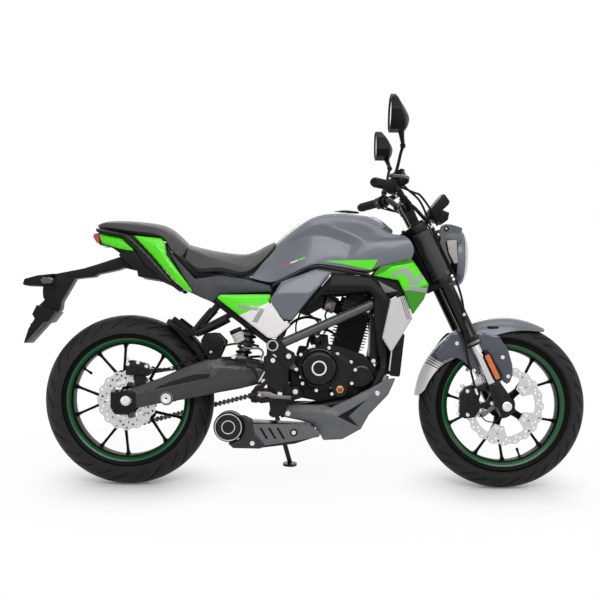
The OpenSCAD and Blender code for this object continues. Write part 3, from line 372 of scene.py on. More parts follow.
def finish_mesh(name, shape, sharp=35):
    me = bpy.data.meshes.new(name)
    m = np.array(BIKE)
    co = np.array(shape.v, float) @ m[:3, :3].T + m[:3, 3]
    me.from_pydata(co.tolist(), [], shape.f)
    me.polygons.foreach_set("material_index", shape.m)
    bm = bmesh.new()
    bm.from_mesh(me)
    bmesh.ops.recalc_face_normals(bm, faces=bm.faces)
    bm.to_mesh(me)
    bm.free()
    me.shade_smooth()
    me.set_sharp_from_angle(angle=math.radians(sharp))
    return me


def bake(obj, sharp=None):
    """Makes an object's modifiers its plain mesh."""
    dg = bpy.context.evaluated_depsgraph_get()
    dg.update()
    old = obj.data
    me = bpy.data.meshes.new_from_object(obj.evaluated_get(dg), preserve_all_data_layers=True, depsgraph=dg)
    obj.modifiers.clear()
    obj.data = me
    me.name = obj.name
    if old.users == 0:
        bpy.data.meshes.remove(old)
    if sharp is not None:
        me.shade_smooth()
        me.set_sharp_from_angle(angle=math.radians(sharp))
    return obj


def piece(name, body, shape, finishes, nodes=(), slot=None, sharp=35, bevel=0.0, seg=2, levels=0, creases=None):
    """One finished object that rides on a body and may stand for some of its solids."""
    me = finish_mesh(name, shape, sharp)
    obj = bpy.data.objects.new(name, me)
    bpy.context.scene.collection.objects.link(obj)
    for key in finishes.split():
        me.materials.append(FINISH[key])
    if creases:
        bm = bmesh.new()
        bm.from_mesh(me)
        layer = bm.edges.layers.float.get("crease_edge") or bm.edges.layers.float.new("crease_edge")
        for e in bm.edges:
            a, b = sorted(v.index for v in e.verts)
            e[layer] = creases.get((a, b), 0.0)
        bm.to_mesh(me)
        bm.free()
    if levels:
        mod = obj.modifiers.new("Smooth", "SUBSURF")
        mod.levels = mod.render_levels = levels
    if bevel:
        mod = obj.modifiers.new("Soft edges", "BEVEL")
        mod.width = bevel / 1000
        mod.segments = seg
        mod.limit_method = "ANGLE"
        mod.angle_limit = math.radians(30)
        mod.harden_normals = False
    if obj.modifiers:
        bake(obj, sharp)
    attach(obj, body)
    if nodes:
        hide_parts(*([nodes] if isinstance(nodes, str) else nodes))
    return obj


# Settings that a user would change

def colour(name, what, rgb):
    return FloatVectorProperty(name=name, description=what, subtype="COLOR", size=3, min=0.0, max=1.0,
                               default=shade(*rgb))


def length(name, what, mm):
    return FloatProperty(name=name, description=what, unit="LENGTH", min=0.0, max=1.0, default=mm / 1000)


class BikeColours(bpy.types.PropertyGroup):
    """Colours of the painted, moulded and sewn pieces."""
    tank: colour("Tank", "Metallic paint of the tank, front mudguard and lamp ring", (100, 102, 110))
    lime: colour("Lime", "Gloss paint of the shrouds, side covers and tail", (84, 222, 6))
    white: colour("White", "Gloss white of the side and radiator covers", (226, 224, 224))
    stripe: colour("Stripe", "Grey stripes on the panels", (150, 152, 152))
    trim: colour("Trim", "Dark grey moulded trim beside the seat", (66, 68, 72))
    pan: colour("Belly pan", "Grey moulded belly pan and heat shield", (88, 89, 90))
    black: colour("Black plastic", "Moulded black plastic", (14, 14, 15))
    satin: colour("Satin black", "Painted frame and swingarm", (18, 18, 19))
    seat: colour("Seat", "Vinyl of both seats", (66, 66, 67))
    seat_edge: colour("Seat edge", "Dark band along the foot of the seats", (14, 14, 15))
    engine: colour("Engine", "Black coated engine castings", (9, 9, 10))
    rubber: colour("Rubber", "Tyres, grips and hoses", (30, 30, 31))
    rim_line: colour("Rim line", "Painted line round both rims", (2, 74, 32))
    lens_red: colour("Red lens", "Tail lamp", (196, 40, 58))
    lens_amber: colour("Amber lens", "Reflectors and turn lamps", (206, 92, 12))


class BikeSizes(bpy.types.PropertyGroup):
    """Sizes of the details."""
    bolt_head: length("Bolt head", "Diameter of a usual bolt head", 11)
    groove: length("Tread groove", "Depth of the grooves in the tyres", 3.2)
    disc_hole: length("Disc hole", "Diameter of the holes drilled in the brake discs", 8)
    chain_pitch: length("Chain pitch", "Distance from one chain pin to the next", 15.875)
    seat_swell: length("Seat swell", "Most that the foam may swell its cover", 8)
    fin_pitch: length("Fin pitch", "Distance between the fins of the radiator core", 3.2)
    spokes: IntProperty(name="Spoke pairs", description="Forked spokes in each wheel", min=3, max=9, default=5)


# Finishes

def fill(tree, node, inputs):
    """Links each named input of a node to a socket, or sets it to a value."""
    for key, value in inputs.items():
        if isinstance(value, bpy.types.NodeSocket):
            tree.links.new(value, node.inputs[key])
        else:
            node.inputs[key].default_value = value


def new_node(tree, kind, inputs=None, **settings):
    node = tree.nodes.new(kind)
    for key, value in settings.items():
        setattr(node, key, value)
    fill(tree, node, inputs or {})
    return node


def maths(tree, how, a, b):
    return new_node(tree, "ShaderNodeMath", {0: a, 1: b}, operation=how).outputs[0]


class Tree:
    """Builds a shader from a few named nodes."""

    def __init__(self, name):
        self.mat = bpy.data.materials.new(name)
        self.mat.use_nodes = True
        self.tree = self.mat.node_tree
        self.shader = self.tree.nodes["Principled BSDF"]
        self.where = new_node(self.tree, "ShaderNodeTexCoord").outputs["Object"]

    def spread(self, stretch):
        return new_node(self.tree, "ShaderNodeMapping", {"Scale": stretch, "Vector": self.where}).outputs["Vector"]

    def noise(self, scale, detail=3.0, rough=0.55, vector=None):
        values = {"Scale": scale, "Detail": detail, "Roughness": rough, "Vector": vector or self.where}
        return new_node(self.tree, "ShaderNodeTexNoise", values).outputs["Fac"]

    def cells(self, scale):
        return new_node(self.tree, "ShaderNodeTexVoronoi", {"Scale": scale, "Vector": self.where}).outputs["Distance"]

    def remap(self, value, lo, hi, low=0.3, high=0.7):
        values = {"Value": value, "From Min": low, "From Max": high, "To Min": lo, "To Max": hi}
        return new_node(self.tree, "ShaderNodeMapRange", values).outputs["Result"]

    def blend(self, fac, a, b):
        values = {"Factor": fac, "A": (*a[:3], 1), "B": (*b[:3], 1)}
        return new_node(self.tree, "ShaderNodeMix", values, data_type="RGBA").outputs["Result"]

    def relief(self, value, strength, mm, over=None):
        values = {"Strength": strength, "Distance": mm / 1000, "Height": value}
        if over is not None:
            values["Normal"] = over
        return new_node(self.tree, "ShaderNodeBump", values).outputs["Normal"]

    def set(self, **values):
        fill(self.tree, self.shader, {key.replace("_", " "): value for key, value in values.items()})
        return self.mat


def tint(c, k):
    return tuple(min(1.0, x * k) for x in c[:3])


def moulded(name, c, rough=0.45, grain=0.25, scale=1400, metal=0.0, coat=0.0, vary=0.12, spec=0.5):
    """Moulded plastic, cast or coated metal: fine grain, faint mottling and uneven gloss."""
    t = Tree(name)
    cloud = t.noise(38, 4)
    base = t.blend(t.remap(cloud, 0, 1), tint(c, 1 - vary), tint(c, 1 + vary))
    gloss = t.remap(t.noise(170, 3), rough * 0.86, min(1, rough * 1.16))
    return t.set(Base_Color=base, Roughness=gloss, Metallic=metal, Coat_Weight=coat, Coat_Roughness=0.08,
                 Specular_IOR_Level=spec, Normal=t.relief(t.noise(scale, 2), grain, 0.25))


def painted(name, c, flake=0.0, rough=0.3, coat=0.8):
    """Gloss paint under lacquer, with metal flake where asked, and a trace of orange peel."""
    t = Tree(name)
    sparkle = t.noise(1500, 2)
    base = t.blend(t.remap(sparkle, 0, 1), tint(c, 1 - 0.03 * flake - 0.015), tint(c, 1 + 0.03 * flake + 0.015))
    gloss = t.remap(t.noise(90, 3), rough * 0.85, rough * 1.15)
    return t.set(Base_Color=base, Roughness=gloss, Metallic=0.2 * flake, Specular_IOR_Level=0.3,
                 Coat_Weight=coat, Coat_Roughness=0.14,
                 Normal=t.relief(t.noise(420, 1), 0.04, 0.2))


def metal(name, c, rough=0.3, brush=(1, 1, 1), scale=900, wear=0.1, strength=0.12):
    """Bare metal, brushed along one way or turned, with smears in its gloss."""
    t = Tree(name)
    lines = t.noise(scale, 4, 0.6, t.spread(brush))
    base = t.blend(t.remap(lines, 0, 1), tint(c, 1 - wear), tint(c, 1 + wear))
    gloss = t.remap(t.noise(60, 4), rough * 0.7, rough * 1.3)
    return t.set(Base_Color=base, Roughness=gloss, Metallic=1.0, Normal=t.relief(lines, strength, 0.15))


def hide(name, c, scale=520, rough=0.5):
    """Grained seat vinyl: raised cells with fine creases between them."""
    t = Tree(name)
    cell = t.cells(scale)
    base = t.blend(t.remap(t.noise(26, 4), 0, 1), tint(c, 0.88), tint(c, 1.1))
    soft = t.relief(t.noise(70, 3), 0.12, 0.8)
    gloss = t.remap(cell, rough * 0.85, rough * 1.2, 0.1, 0.6)
    return t.set(Base_Color=base, Roughness=gloss, Specular_IOR_Level=0.4, Sheen_Weight=0.08,
                 Normal=t.relief(t.remap(cell, 1, 0, 0.05, 0.6), 0.35, 0.35, soft))


def glass(name, c, rough=0.02, weight=1.0, ior=1.45):
    t = Tree(name)
    base = t.blend(t.remap(t.noise(20, 2), 0, 1), tint(c, 0.97), tint(c, 1.0))
    return t.set(Base_Color=base, Roughness=rough, Transmission_Weight=weight, IOR=ior,
                 Normal=t.relief(t.noise(180, 1), 0.02, 0.1))


FINISH = {}


def make_finishes(s):
    c = {k: tuple(getattr(s, k)) for k in BikeColours.__annotations__}
    f = FINISH
    f["tank"] = painted("Tank paint", c["tank"], 1.0, 0.4, 0.35)
    f["lime"] = painted("Lime paint", c["lime"], 0.0, 0.34, 0.25)
    # Darker copy of the lime paint: painted shade on the shrouds' lower facet and along their top edge
    f["lime_dark"] = painted("Lime shade", tint(c["lime"], 0.36), 0.0, 0.36, 0.2)
    f["white"] = painted("White panel", c["white"], 0.0, 0.3, 0.6)
    f["stripe"] = painted("Grey stripe", c["stripe"], 0.5, 0.34)
    f["ink"] = painted("Dark stripe", shade(70, 66, 70), 0.0, 0.4)
    f["red_line"] = painted("Red line", shade(208, 40, 48), 0.0, 0.35)
    f["trim"] = moulded("Trim plastic", c["trim"], 0.6, 0.18, spec=0.3)
    f["pan"] = moulded("Pan plastic", c["pan"], 0.46, 0.22)
    f["black"] = moulded("Black plastic", c["black"], 0.4, 0.1, spec=0.16)
    f["gloss"] = moulded("Gloss black", shade(12, 12, 13), 0.2, 0.04, coat=0.1, spec=0.2)
    f["satin"] = moulded("Satin black paint", c["satin"], 0.36, 0.08, 900, spec=0.2)
    f["tube"] = moulded("Grey tube paint", shade(78, 78, 77), 0.3, 0.06, 900, 0.3)
    f["arm"] = moulded("Swingarm paint", shade(46, 46, 47), 0.34, 0.08, 900, 0.1)
    # Lighter copy of the swingarm paint for its rib: painted highlight
    f["arm_rib"] = moulded("Swingarm rib", shade(62, 62, 63), 0.3, 0.08, 900, 0.25)
    # Light grey for a white cover: painted shade
    f["cover_grey"] = painted("Radiator cover", shade(196, 195, 196), 0.0, 0.34, 0.4)
    f["engine"] = moulded("Engine coat", c["engine"], 0.42, 0.2, 700, spec=0.16)
    f["engine_gloss"] = moulded("Cover coat", shade(9, 9, 10), 0.22, 0.08, 800, spec=0.26)
    f["rim"] = moulded("Rim coat", shade(10, 10, 11), 0.4, 0.08, 900, spec=0.06)
    f["rim_line"] = painted("Rim line", c["rim_line"], 0.0, 0.3, 0.3)
    f["chain"] = metal("Chain steel", (0.1, 0.095, 0.085), 0.36, scale=1400, wear=0.2)
    f["polish"] = metal("Polished cover", (0.8, 0.8, 0.8), 0.16, scale=400, wear=0.05, strength=0.04)
    f["engine_edge"] = moulded("Fin edge", shade(74, 74, 75), 0.34, 0.3, 700, 0.5)
    f["fork_cover"] = moulded("Fork cover", shade(40, 40, 40), 0.34, 0.14, 900, 0.2)
    f["lever"] = moulded("Lever coat", shade(28, 28, 29), 0.3, 0.1, 900, 0.3)
    f["bezel_grey"] = moulded("Dash rim", shade(150, 150, 150), 0.36, 0.1)
    f["pale"] = moulded("Lamp side", shade(158, 156, 146), 0.4, 0.1)
    f["lamp_arm"] = painted("Lamp arm", shade(78, 79, 82), 0.4, 0.36, 0.3)
    # Paler copy of the tank paint for the mudguard's crest: painted highlight
    f["tank_pale"] = painted("Pale ridge", shade(128, 130, 132), 0.5, 0.42)
    f["tank_dark"] = painted("Dark metallic", shade(58, 61, 74), 1.0, 0.34)
    f["grey_web"] = moulded("Grey web", shade(104, 104, 104), 0.4, 0.2)
    f["nut_gold"] = metal("Pale nut", (0.74, 0.74, 0.6), 0.3, scale=1200)
    f["rubber"] = moulded("Rubber", tint(c["rubber"], 0.6), 0.6, 0.2, 1600, spec=0.12)
    f["tyre"] = moulded("Tyre rubber", tint(c["rubber"], 1.3), 0.55, 0.2, 2200, spec=0.16, vary=0.2)
    # Darker copy of the tyre rubber for the deep groove faces: painted shade in the tread grooves
    f["groove"] = moulded("Tread groove", tint(c["rubber"], 0.4), 0.8, 0.2, 2200, spec=0.04)
    f["seat"] = hide("Seat vinyl", c["seat"])
    # Darker copy of the seat vinyl for the seat sides: painted shade
    f["seat_side"] = hide("Seat side vinyl", tint(c["seat"], 0.86))
    f["seat_edge"] = hide("Seat edge vinyl", c["seat_edge"], 700)
    f["steel"] = metal("Steel", (0.52, 0.52, 0.53), 0.32)
    f["zinc"] = metal("Zinc bolt", (0.72, 0.71, 0.69), 0.3, scale=1500)
    f["dark_steel"] = metal("Dark steel", (0.16, 0.155, 0.15), 0.38, scale=1200)
    f["chrome"] = metal("Chrome", (0.6, 0.6, 0.61), 0.14, (1, 1, 8), 300, 0.03, 0.02)
    f["disc"] = metal("Disc steel", (0.56, 0.56, 0.57), 0.34, (6, 1, 6), 260, 0.06, 0.05)
    f["alloy"] = metal("Cast alloy", (0.46, 0.46, 0.47), 0.42, scale=500, strength=0.25)
    f["pipe"] = metal("Header steel", (0.34, 0.3, 0.27), 0.36, (1, 1, 3), 120, 0.3)
    f["can"] = moulded("Silencer coat", shade(14, 14, 14), 0.28, 0.1, 900, spec=0.3)
    f["can_cover"] = moulded("Silencer cover", shade(26, 26, 26), 0.4, 0.12, spec=0.4)
    f["brass"] = metal("Plug bronze", (0.5, 0.22, 0.1), 0.42, scale=600, wear=0.2)
    f["mirror"] = metal("Mirror glass", (0.72, 0.74, 0.78), 0.04, scale=40, wear=0.02, strength=0.0)
    f["reflector"] = metal("Lamp reflector", (0.85, 0.86, 0.88), 0.12, scale=80, wear=0.03, strength=0.02)
    f["clear"] = glass("Clear lens", (0.8, 0.83, 0.86))
    f["glow"] = moulded("Light guide", shade(232, 234, 236), 0.2, 0.05, 300, coat=0.6)
    f["red"] = moulded("Red lens", c["lens_red"], 0.16, 0.1, 300, coat=0.8)
    f["amber"] = moulded("Amber lens", c["lens_amber"], 0.18, 0.1, 300, coat=0.8)
    f["smoke"] = moulded("Smoked lens", shade(70, 62, 56), 0.2, 0.1, 300, coat=0.5)
    f["cup"] = moulded("Reservoir plastic", shade(196, 194, 186), 0.4, 0.1, 600)
    f["screen"] = moulded("Dash screen", shade(20, 24, 28), 0.08, 0.0, 300, coat=0.9)
    f["inner"] = moulded("Inner plastic", shade(12, 12, 13), 0.6, 0.1, spec=0.2)


# Stage

CONTACT = (BIKE @ Vector((0, 0, 0))).y


def studio(context):
    scene = context.scene
    scene.view_settings.view_transform = "Standard"
    world = bpy.data.worlds.new("Studio")
    scene.world = world
    world.use_nodes = True
    tree, white = world.node_tree, (1, 1, 1, 1)
    soft = tree.nodes["Background"]
    fill(tree, soft, {"Color": white, "Strength": 0.42})
    bare = new_node(tree, "ShaderNodeBackground", {"Color": white, "Strength": 1.0})
    values = {"Fac": seen_ray(tree), 1: soft.outputs[0], 2: bare.outputs[0]}
    mix = new_node(tree, "ShaderNodeMixShader", values)
    fill(tree, tree.nodes["World Output"], {"Surface": mix.outputs[0]})

    me = bpy.data.meshes.new("floor")
    me.from_pydata([(-40, -40, -0.0005), (40, -40, -0.0005), (40, 40, -0.0005), (-40, 40, -0.0005)], [],
                   [(0, 1, 2, 3)])
    floor = bpy.data.objects.new("floor", me)
    scene.collection.objects.link(floor)
    mat = bpy.data.materials.new("Studio floor")
    mat.use_nodes = True
    tree = mat.node_tree
    diffuse = tree.nodes["Principled BSDF"]
    fill(tree, diffuse, {"Base Color": (0.92, 0.92, 0.92, 1), "Roughness": 0.9, "Specular IOR Level": 0.0})
    glow = new_node(tree, "ShaderNodeEmission", {"Strength": 1.0})
    # The floor takes shadow near the motorcycle and turns to plain white away from it
    where = new_node(tree, "ShaderNodeTexCoord").outputs["Object"]
    squeeze = new_node(tree, "ShaderNodeMapping", {"Scale": (0.6, 1.0, 1.0), "Vector": where})
    far = near_to(tree, squeeze.outputs["Vector"], (0, 0, 0), 0.35, 0.95, 0.0, 1.0)
    spots = [near_to(tree, where, (x, CONTACT, 0), 0.05, 0.42, 0.1, 0.92) for x in (-0.6325, 0.7175)]
    pale = maths(tree, "MAXIMUM", far, maths(tree, "MINIMUM", *spots))
    values = {"Fac": maths(tree, "MULTIPLY", seen_ray(tree), pale), 1: diffuse.outputs[0], 2: glow.outputs[0]}
    mix = new_node(tree, "ShaderNodeMixShader", values)
    fill(tree, tree.nodes["Material Output"], {"Surface": mix.outputs[0]})
    me.materials.append(mat)

    for name, at, aim, size, power in (("key", (0.5, -3.4, 3.4), (0, 0, 0.6), (3.6, 1.4), 84),
                                       ("top", (0.0, 0.4, 4.2), (0, 0, 0.5), (4.0, 2.2), 50),
                                       ("rear fill", (-4.0, -1.6, 1.9), (0, 0, 0.6), (1.6, 2.0), 20),
                                       ("front fill", (4.2, -1.2, 1.8), (0, 0, 0.6), (1.6, 2.0), 20),
                                       ("left fill", (0.0, 4.4, 2.6), (0, 0, 0.6), (3.6, 1.6), 60)):
        lamp = bpy.data.lights.new(name, "AREA")
        lamp.shape, lamp.size, lamp.size_y, lamp.energy = "RECTANGLE", size[0], size[1], power
        ob = bpy.data.objects.new(name, lamp)
        ob.matrix_world = Matrix.Translation(at) @ (Vector(aim) - Vector(at)).to_track_quat("-Z",
                "Y").to_matrix().to_4x4()
        scene.collection.objects.link(ob)

    cam = bpy.data.cameras.new("camera")
    cam.lens, cam.sensor_width, cam.shift_x, cam.shift_y = 69.17, 36.0, 10 / 600, 40 / 600
    ob = bpy.data.objects.new("camera", cam)
    roll = math.radians(0.643)
    right = Vector((math.cos(roll), 0, math.sin(roll)))
    up = Vector((-math.sin(roll), 0, math.cos(roll)))
    flat = BIKE.to_3x3() * 1000
    axes = Matrix((flat @ right, flat @ up, flat @ Vector((0, -1, 0)))).transposed().to_4x4()
    ob.matrix_world = Matrix.Translation(BIKE @ Vector((579.2, -4200, 527.4))) @ axes
    scene.collection.objects.link(ob)
    scene.camera = ob


def near_to(tree, vector, place, start, stop, low, high):
    """A value that grows smoothly with the distance from a place."""
    reach = new_node(tree, "ShaderNodeVectorMath", {0: vector, 1: place}, operation="DISTANCE")
    values = {"Value": reach.outputs["Value"], "From Min": start, "From Max": stop, "To Min": low, "To Max": high}
    return new_node(tree, "ShaderNodeMapRange", values, interpolation_type="SMOOTHSTEP").outputs["Result"]


def seen_ray(tree):
    """One where the camera, a mirror or glass looks at the background."""
    path = new_node(tree, "ShaderNodeLightPath").outputs
    first = maths(tree, "MAXIMUM", path["Is Camera Ray"], path["Is Glossy Ray"])
    return maths(tree, "MAXIMUM", first, path["Is Transmission Ray"])


# Tank, seats and body panels

TANK_ROWS = [
    [(519, 872, 0), (552, 907, 0), (600, 950, 0), (648, 981, 0), (705, 996, 0), (760, 999, 0), (810, 995, 0),
     (848, 989, 0), (872, 985, 0), (909, 971, 0), (934, 948, 0), (944, 938, 0), (945, 932, 0), (940, 924, 0)],
    [(519, 869, 36), (552, 902, 50), (602, 943, 62), (650, 975, 68), (705, 988, 72), (760, 989, 74), (810, 984, 74),
     (846, 978, 74), (866, 974, 74), (901, 960, 70), (929, 938, 62), (942, 929, 56), (943, 924, 54), (938, 918, 50)],
    [(521, 863, 58), (553, 888, 82), (605, 926, 100), (655, 962, 108), (702, 963, 114), (748, 958, 118),
     (790, 952, 120), (822, 946, 122), (842, 941, 122), (884, 930, 122), (921, 916, 114), (950, 908, 104),
     (950, 903, 96), (934, 900, 86)],
    [(522, 857, 66), (547, 871, 92), (606, 905, 118), (668, 938, 131), (694, 937, 134), (733, 925, 138),
     (780, 908, 142), (826, 884, 147), (838, 881, 150), (880, 884, 158), (926, 896, 152), (980, 902, 154),
     (978, 899, 142), (917, 888, 126)],
    [(516, 845, 74), (552, 866, 90), (602, 886, 111), (645, 897, 121), (681, 901, 124), (727, 891, 128),
     (768, 872, 133), (794, 865, 140), (822, 862, 150), (872, 858, 162), (915, 862, 160), (1005, 874, 162),
     (1001, 873, 150), (912, 868, 136)],
    [(482, 806, 94), (546, 812, 112), (605, 826, 130), (650, 836, 138), (692, 838, 142), (730, 836, 144),
     (758, 832, 145), (776, 826, 147), (796, 824, 152), (858, 828, 163), (906, 834, 163), (1013, 842, 163),
     (1008, 842, 151), (908, 840, 138)],
    [(435, 746, 108), (512, 724, 122), (541, 741, 130), (585, 762, 138), (640, 792, 142), (680, 798, 145),
     (735, 789, 147), (762, 785, 148), (784, 781, 152), (850, 768, 160), (890, 789, 161), (1003, 818, 161),
     (997, 820, 150), (906, 806, 134)],
    [(441, 748, 94), (513, 730, 106), (544, 746, 114), (588, 767, 122), (642, 796, 126), (682, 802, 129),
     (736, 794, 131), (763, 790, 132), (785, 786, 134), (846, 776, 136), (884, 790, 136), (902, 801, 134),
     (903, 802, 132), (900, 804, 128)],
    [(452, 752, 0), (514, 744, 0), (545, 748, 0), (588, 752, 0), (642, 756, 0), (682, 758, 0), (736, 758, 0),
     (763, 758, 0), (785, 758, 0), (840, 762, 0), (868, 772, 0), (880, 780, 0), (886, 786, 0), (890, 792, 0)],
]
CAP_AT = (776, 0, 978)


# Sharpness of the tank's edges: rows, columns, the step to the edge's other end, weight
TANK_CREASES = ((range(3, 4), range(1, 7), 0, 1, 0.85), (range(3, 4), range(7, 8), 0, 1, 0.6),
                (range(4, 5), range(1, 8), 0, 1, 0.6), (range(3, 6), range(7, 9), 1, 0, 0.75),
                (range(2, 6), range(10, 11), 1, 0, 0.7), (range(6, 7), range(13), 0, 1, 0.8),
                (range(2, 7), range(11, 12), 1, 0, 0.75), (range(2, 7), range(12, 13), 1, 0, 0.6),
                (range(8), range(0, 14, 13), 1, 0, 0.9), (range(2, 3), range(4, 10), 0, 1, 0.35))


def tank_creases():
    """Weights of the tank's sharp edges, for the drawn side and its mirror image."""
    last, cols = len(TANK_ROWS) - 1, len(TANK_ROWS[0])
    out = {}
    for rows, columns, down, on, weight in TANK_CREASES:
        for r in rows:
            for c in columns:
                ends = ((r, c), (r + down, c + on))
                out[tuple(sorted(a * cols + b for a, b in ends))] = weight
                out[tuple(sorted((a if a in (0, last) else 2 * last - a) * cols + b for a, b in ends))] = weight
    return out


def carve(obj, cutter_shape):
    """Cuts a shape out of a piece and leaves it a plain mesh."""
    me = finish_mesh("cutter", cutter_shape)
    cutter = bpy.data.objects.new("cutter", me)
    bpy.context.scene.collection.objects.link(cutter)
    mod = obj.modifiers.new("Cut", "BOOLEAN")
    mod.operation, mod.solver, mod.object = "DIFFERENCE", "EXACT", cutter
    bake(obj, 32)
    bpy.data.objects.remove(cutter)
    bpy.data.meshes.remove(me)
    return obj


def ink_sides(obj, inks, least=60):
    """Colours the outer faces of a piece inside side outlines, cut clean along their edges."""
    bm = bmesh.new()
    bm.from_mesh(obj.data)
    back = BIKE.inverted()
    rot = BIKE.to_3x3()
    for outline, number in inks:
        lo = (min(p[0] for p in outline) - 30, min(p[1] for p in outline) - 30)
        hi = (max(p[0] for p in outline) + 30, max(p[1] for p in outline) + 30)
        for i, p in enumerate(outline):
            q = outline[i - 1]
            near = []
            for f in bm.faces:
                c = back @ f.calc_center_median()
                if abs(c.y) > least and lo[0] < c.x < hi[0] and lo[1] < c.z < hi[1]:
                    near.append(f)
            geom = list({v for f in near for v in f.verts} | {e for f in near for e in f.edges}) + near
            bmesh.ops.bisect_plane(bm, geom=geom, dist=1e-6, plane_co=BIKE @ Vector((p[0], 0, p[1])),
                                   plane_no=(rot @ Vector((q[1] - p[1], 0, p[0] - q[0]))).normalized())
        for f in bm.faces:
            c = back @ f.calc_center_median()
            if abs(c.y) > least and inside(c.x, c.z, outline):
                f.material_index = number
    bm.to_mesh(obj.data)
    bm.free()


def make_tank():
    tank = piece("tank", "chassis", Shape().add(cage(TANK_ROWS)), "tank lime red_line white stripe",
                 ("fuel_tank", "tank_wings"), "tank_paint", 40, levels=3, creases=tank_creases())
    carve(tank, Shape().lathe([(0, -14), (26, -14), (26, -1), (51, -1), (51, 60), (0, 60)], 64, 0, shift(*CAP_AT)))
    # Room for the fork and its clamps at full lock
    reach = [(145 * math.cos(math.radians(a)), 145 * math.sin(math.radians(a))) for a in range(-131, 132, 2)]
    reach += [(48 * math.cos(math.radians(a)), 48 * math.sin(math.radians(a))) for a in range(137, 224, 6)]
    carve(tank, Shape().add(plate([reach], 430, 760), 0, FORK @ shift(-38, 0, 0)))
    ink_sides(tank, [([(694, 807), (884, 812), (862, 776), (762, 798)], 1),
                     ([(553, 788), (577, 797), (578, 802), (554, 793)], 2),
                     ([(577, 797), (602, 806), (603, 811), (578, 802)], 3),
                     ([(602, 806), (629, 816), (630, 821), (603, 811)], 1)])
    # Filler ring inside the recess, and the hinged lid
    ring = Shape().add(pipe(50.4, 47, -0.6, 17, 1.2, 64), 0, shift(*CAP_AT))
    piece("filler_ring", "chassis", ring, "gloss")
    lid = Shape()
    lid.lathe([(0, 0.3), (44, 0.3), (45.6, 2), (45.6, 13), (44.4, 15.6), (42, 16.6), (31, 17), (30, 17.6), (29, 20.6),
               (27.6, 21.4), (0, 21.6)], 64)
    lid.add(rod(18.6, -7.6, 1, 1), 1)
    lid.lathe([(0, 21), (8.4, 21), (8.6, 22.6), (7.6, 23.4), (2.2, 23.4), (2, 22.4), (0, 22.4)], 32, 1)
    lid.cut([(24, -10), (40, -14), (40, 14), (24, 10)], 3, 15.6, 19.4, 0, turn(90, "X"))
    for i in range(6):
        a = math.radians(60 * i + 30)
        lid.lathe([(0, 16), (2.6, 16), (2.8, 18), (2.2, 18.6), (1.2, 18.6), (1.1, 17.8), (0, 17.8)], 12, 1,
                  shift(37 * math.cos(a), 37 * math.sin(a), 0))
    piece("filler_lid", "cap", lid.moved(shift(*CAP_AT)), "gloss steel", "fuel_cap", "cap_alloy", 30)


def panel(name, outline, ctrl, facets, finishes, nodes=(), slot=None, thick=14, edge=4, step=8, round_by=6, dome=0.0,
          inks=(), lines=True, soften=2, body="chassis", both=True, right=False, dents=()):
    """A moulded side panel, made for both sides of the motorcycle.
    outline may be a number: that many of the first control points then bound the panel."""
    if isinstance(outline, int):
        outline = [p[:2] for p in ctrl[:outline]]
    base = facet_height(ctrl, facets)

    def height(p):
        return base(p) - sum(depth for poly, depth in dents if inside(p[0], p[1], poly))
    folds = {tuple(sorted((q[i - 1], q[i]))) for q in facets for i in range(len(q))} if lines else ()
    strokes = [[ctrl[a][:2], ctrl[b][:2]] for a, b in folds]
    mesh, mats = skin(rounded(outline, round_by), height, thick, edge, step, strokes, None, soften, dome, inks)
    s = Shape()
    if both or not right:
        s.add(mesh, mats)
    if both or right:
        pts, faces = mesh
        s.add(([(x, -y, z) for x, y, z in pts], [q[::-1] for q in faces]), mats)
    return piece(name, body, s, finishes, nodes, slot, 48)


def flat_panel(name, outline, y, finishes, **more):
    pts = [(*p, y) for p in outline]
    return panel(name, outline, pts, [tuple(range(len(pts)))], finishes, lines=False, **more)


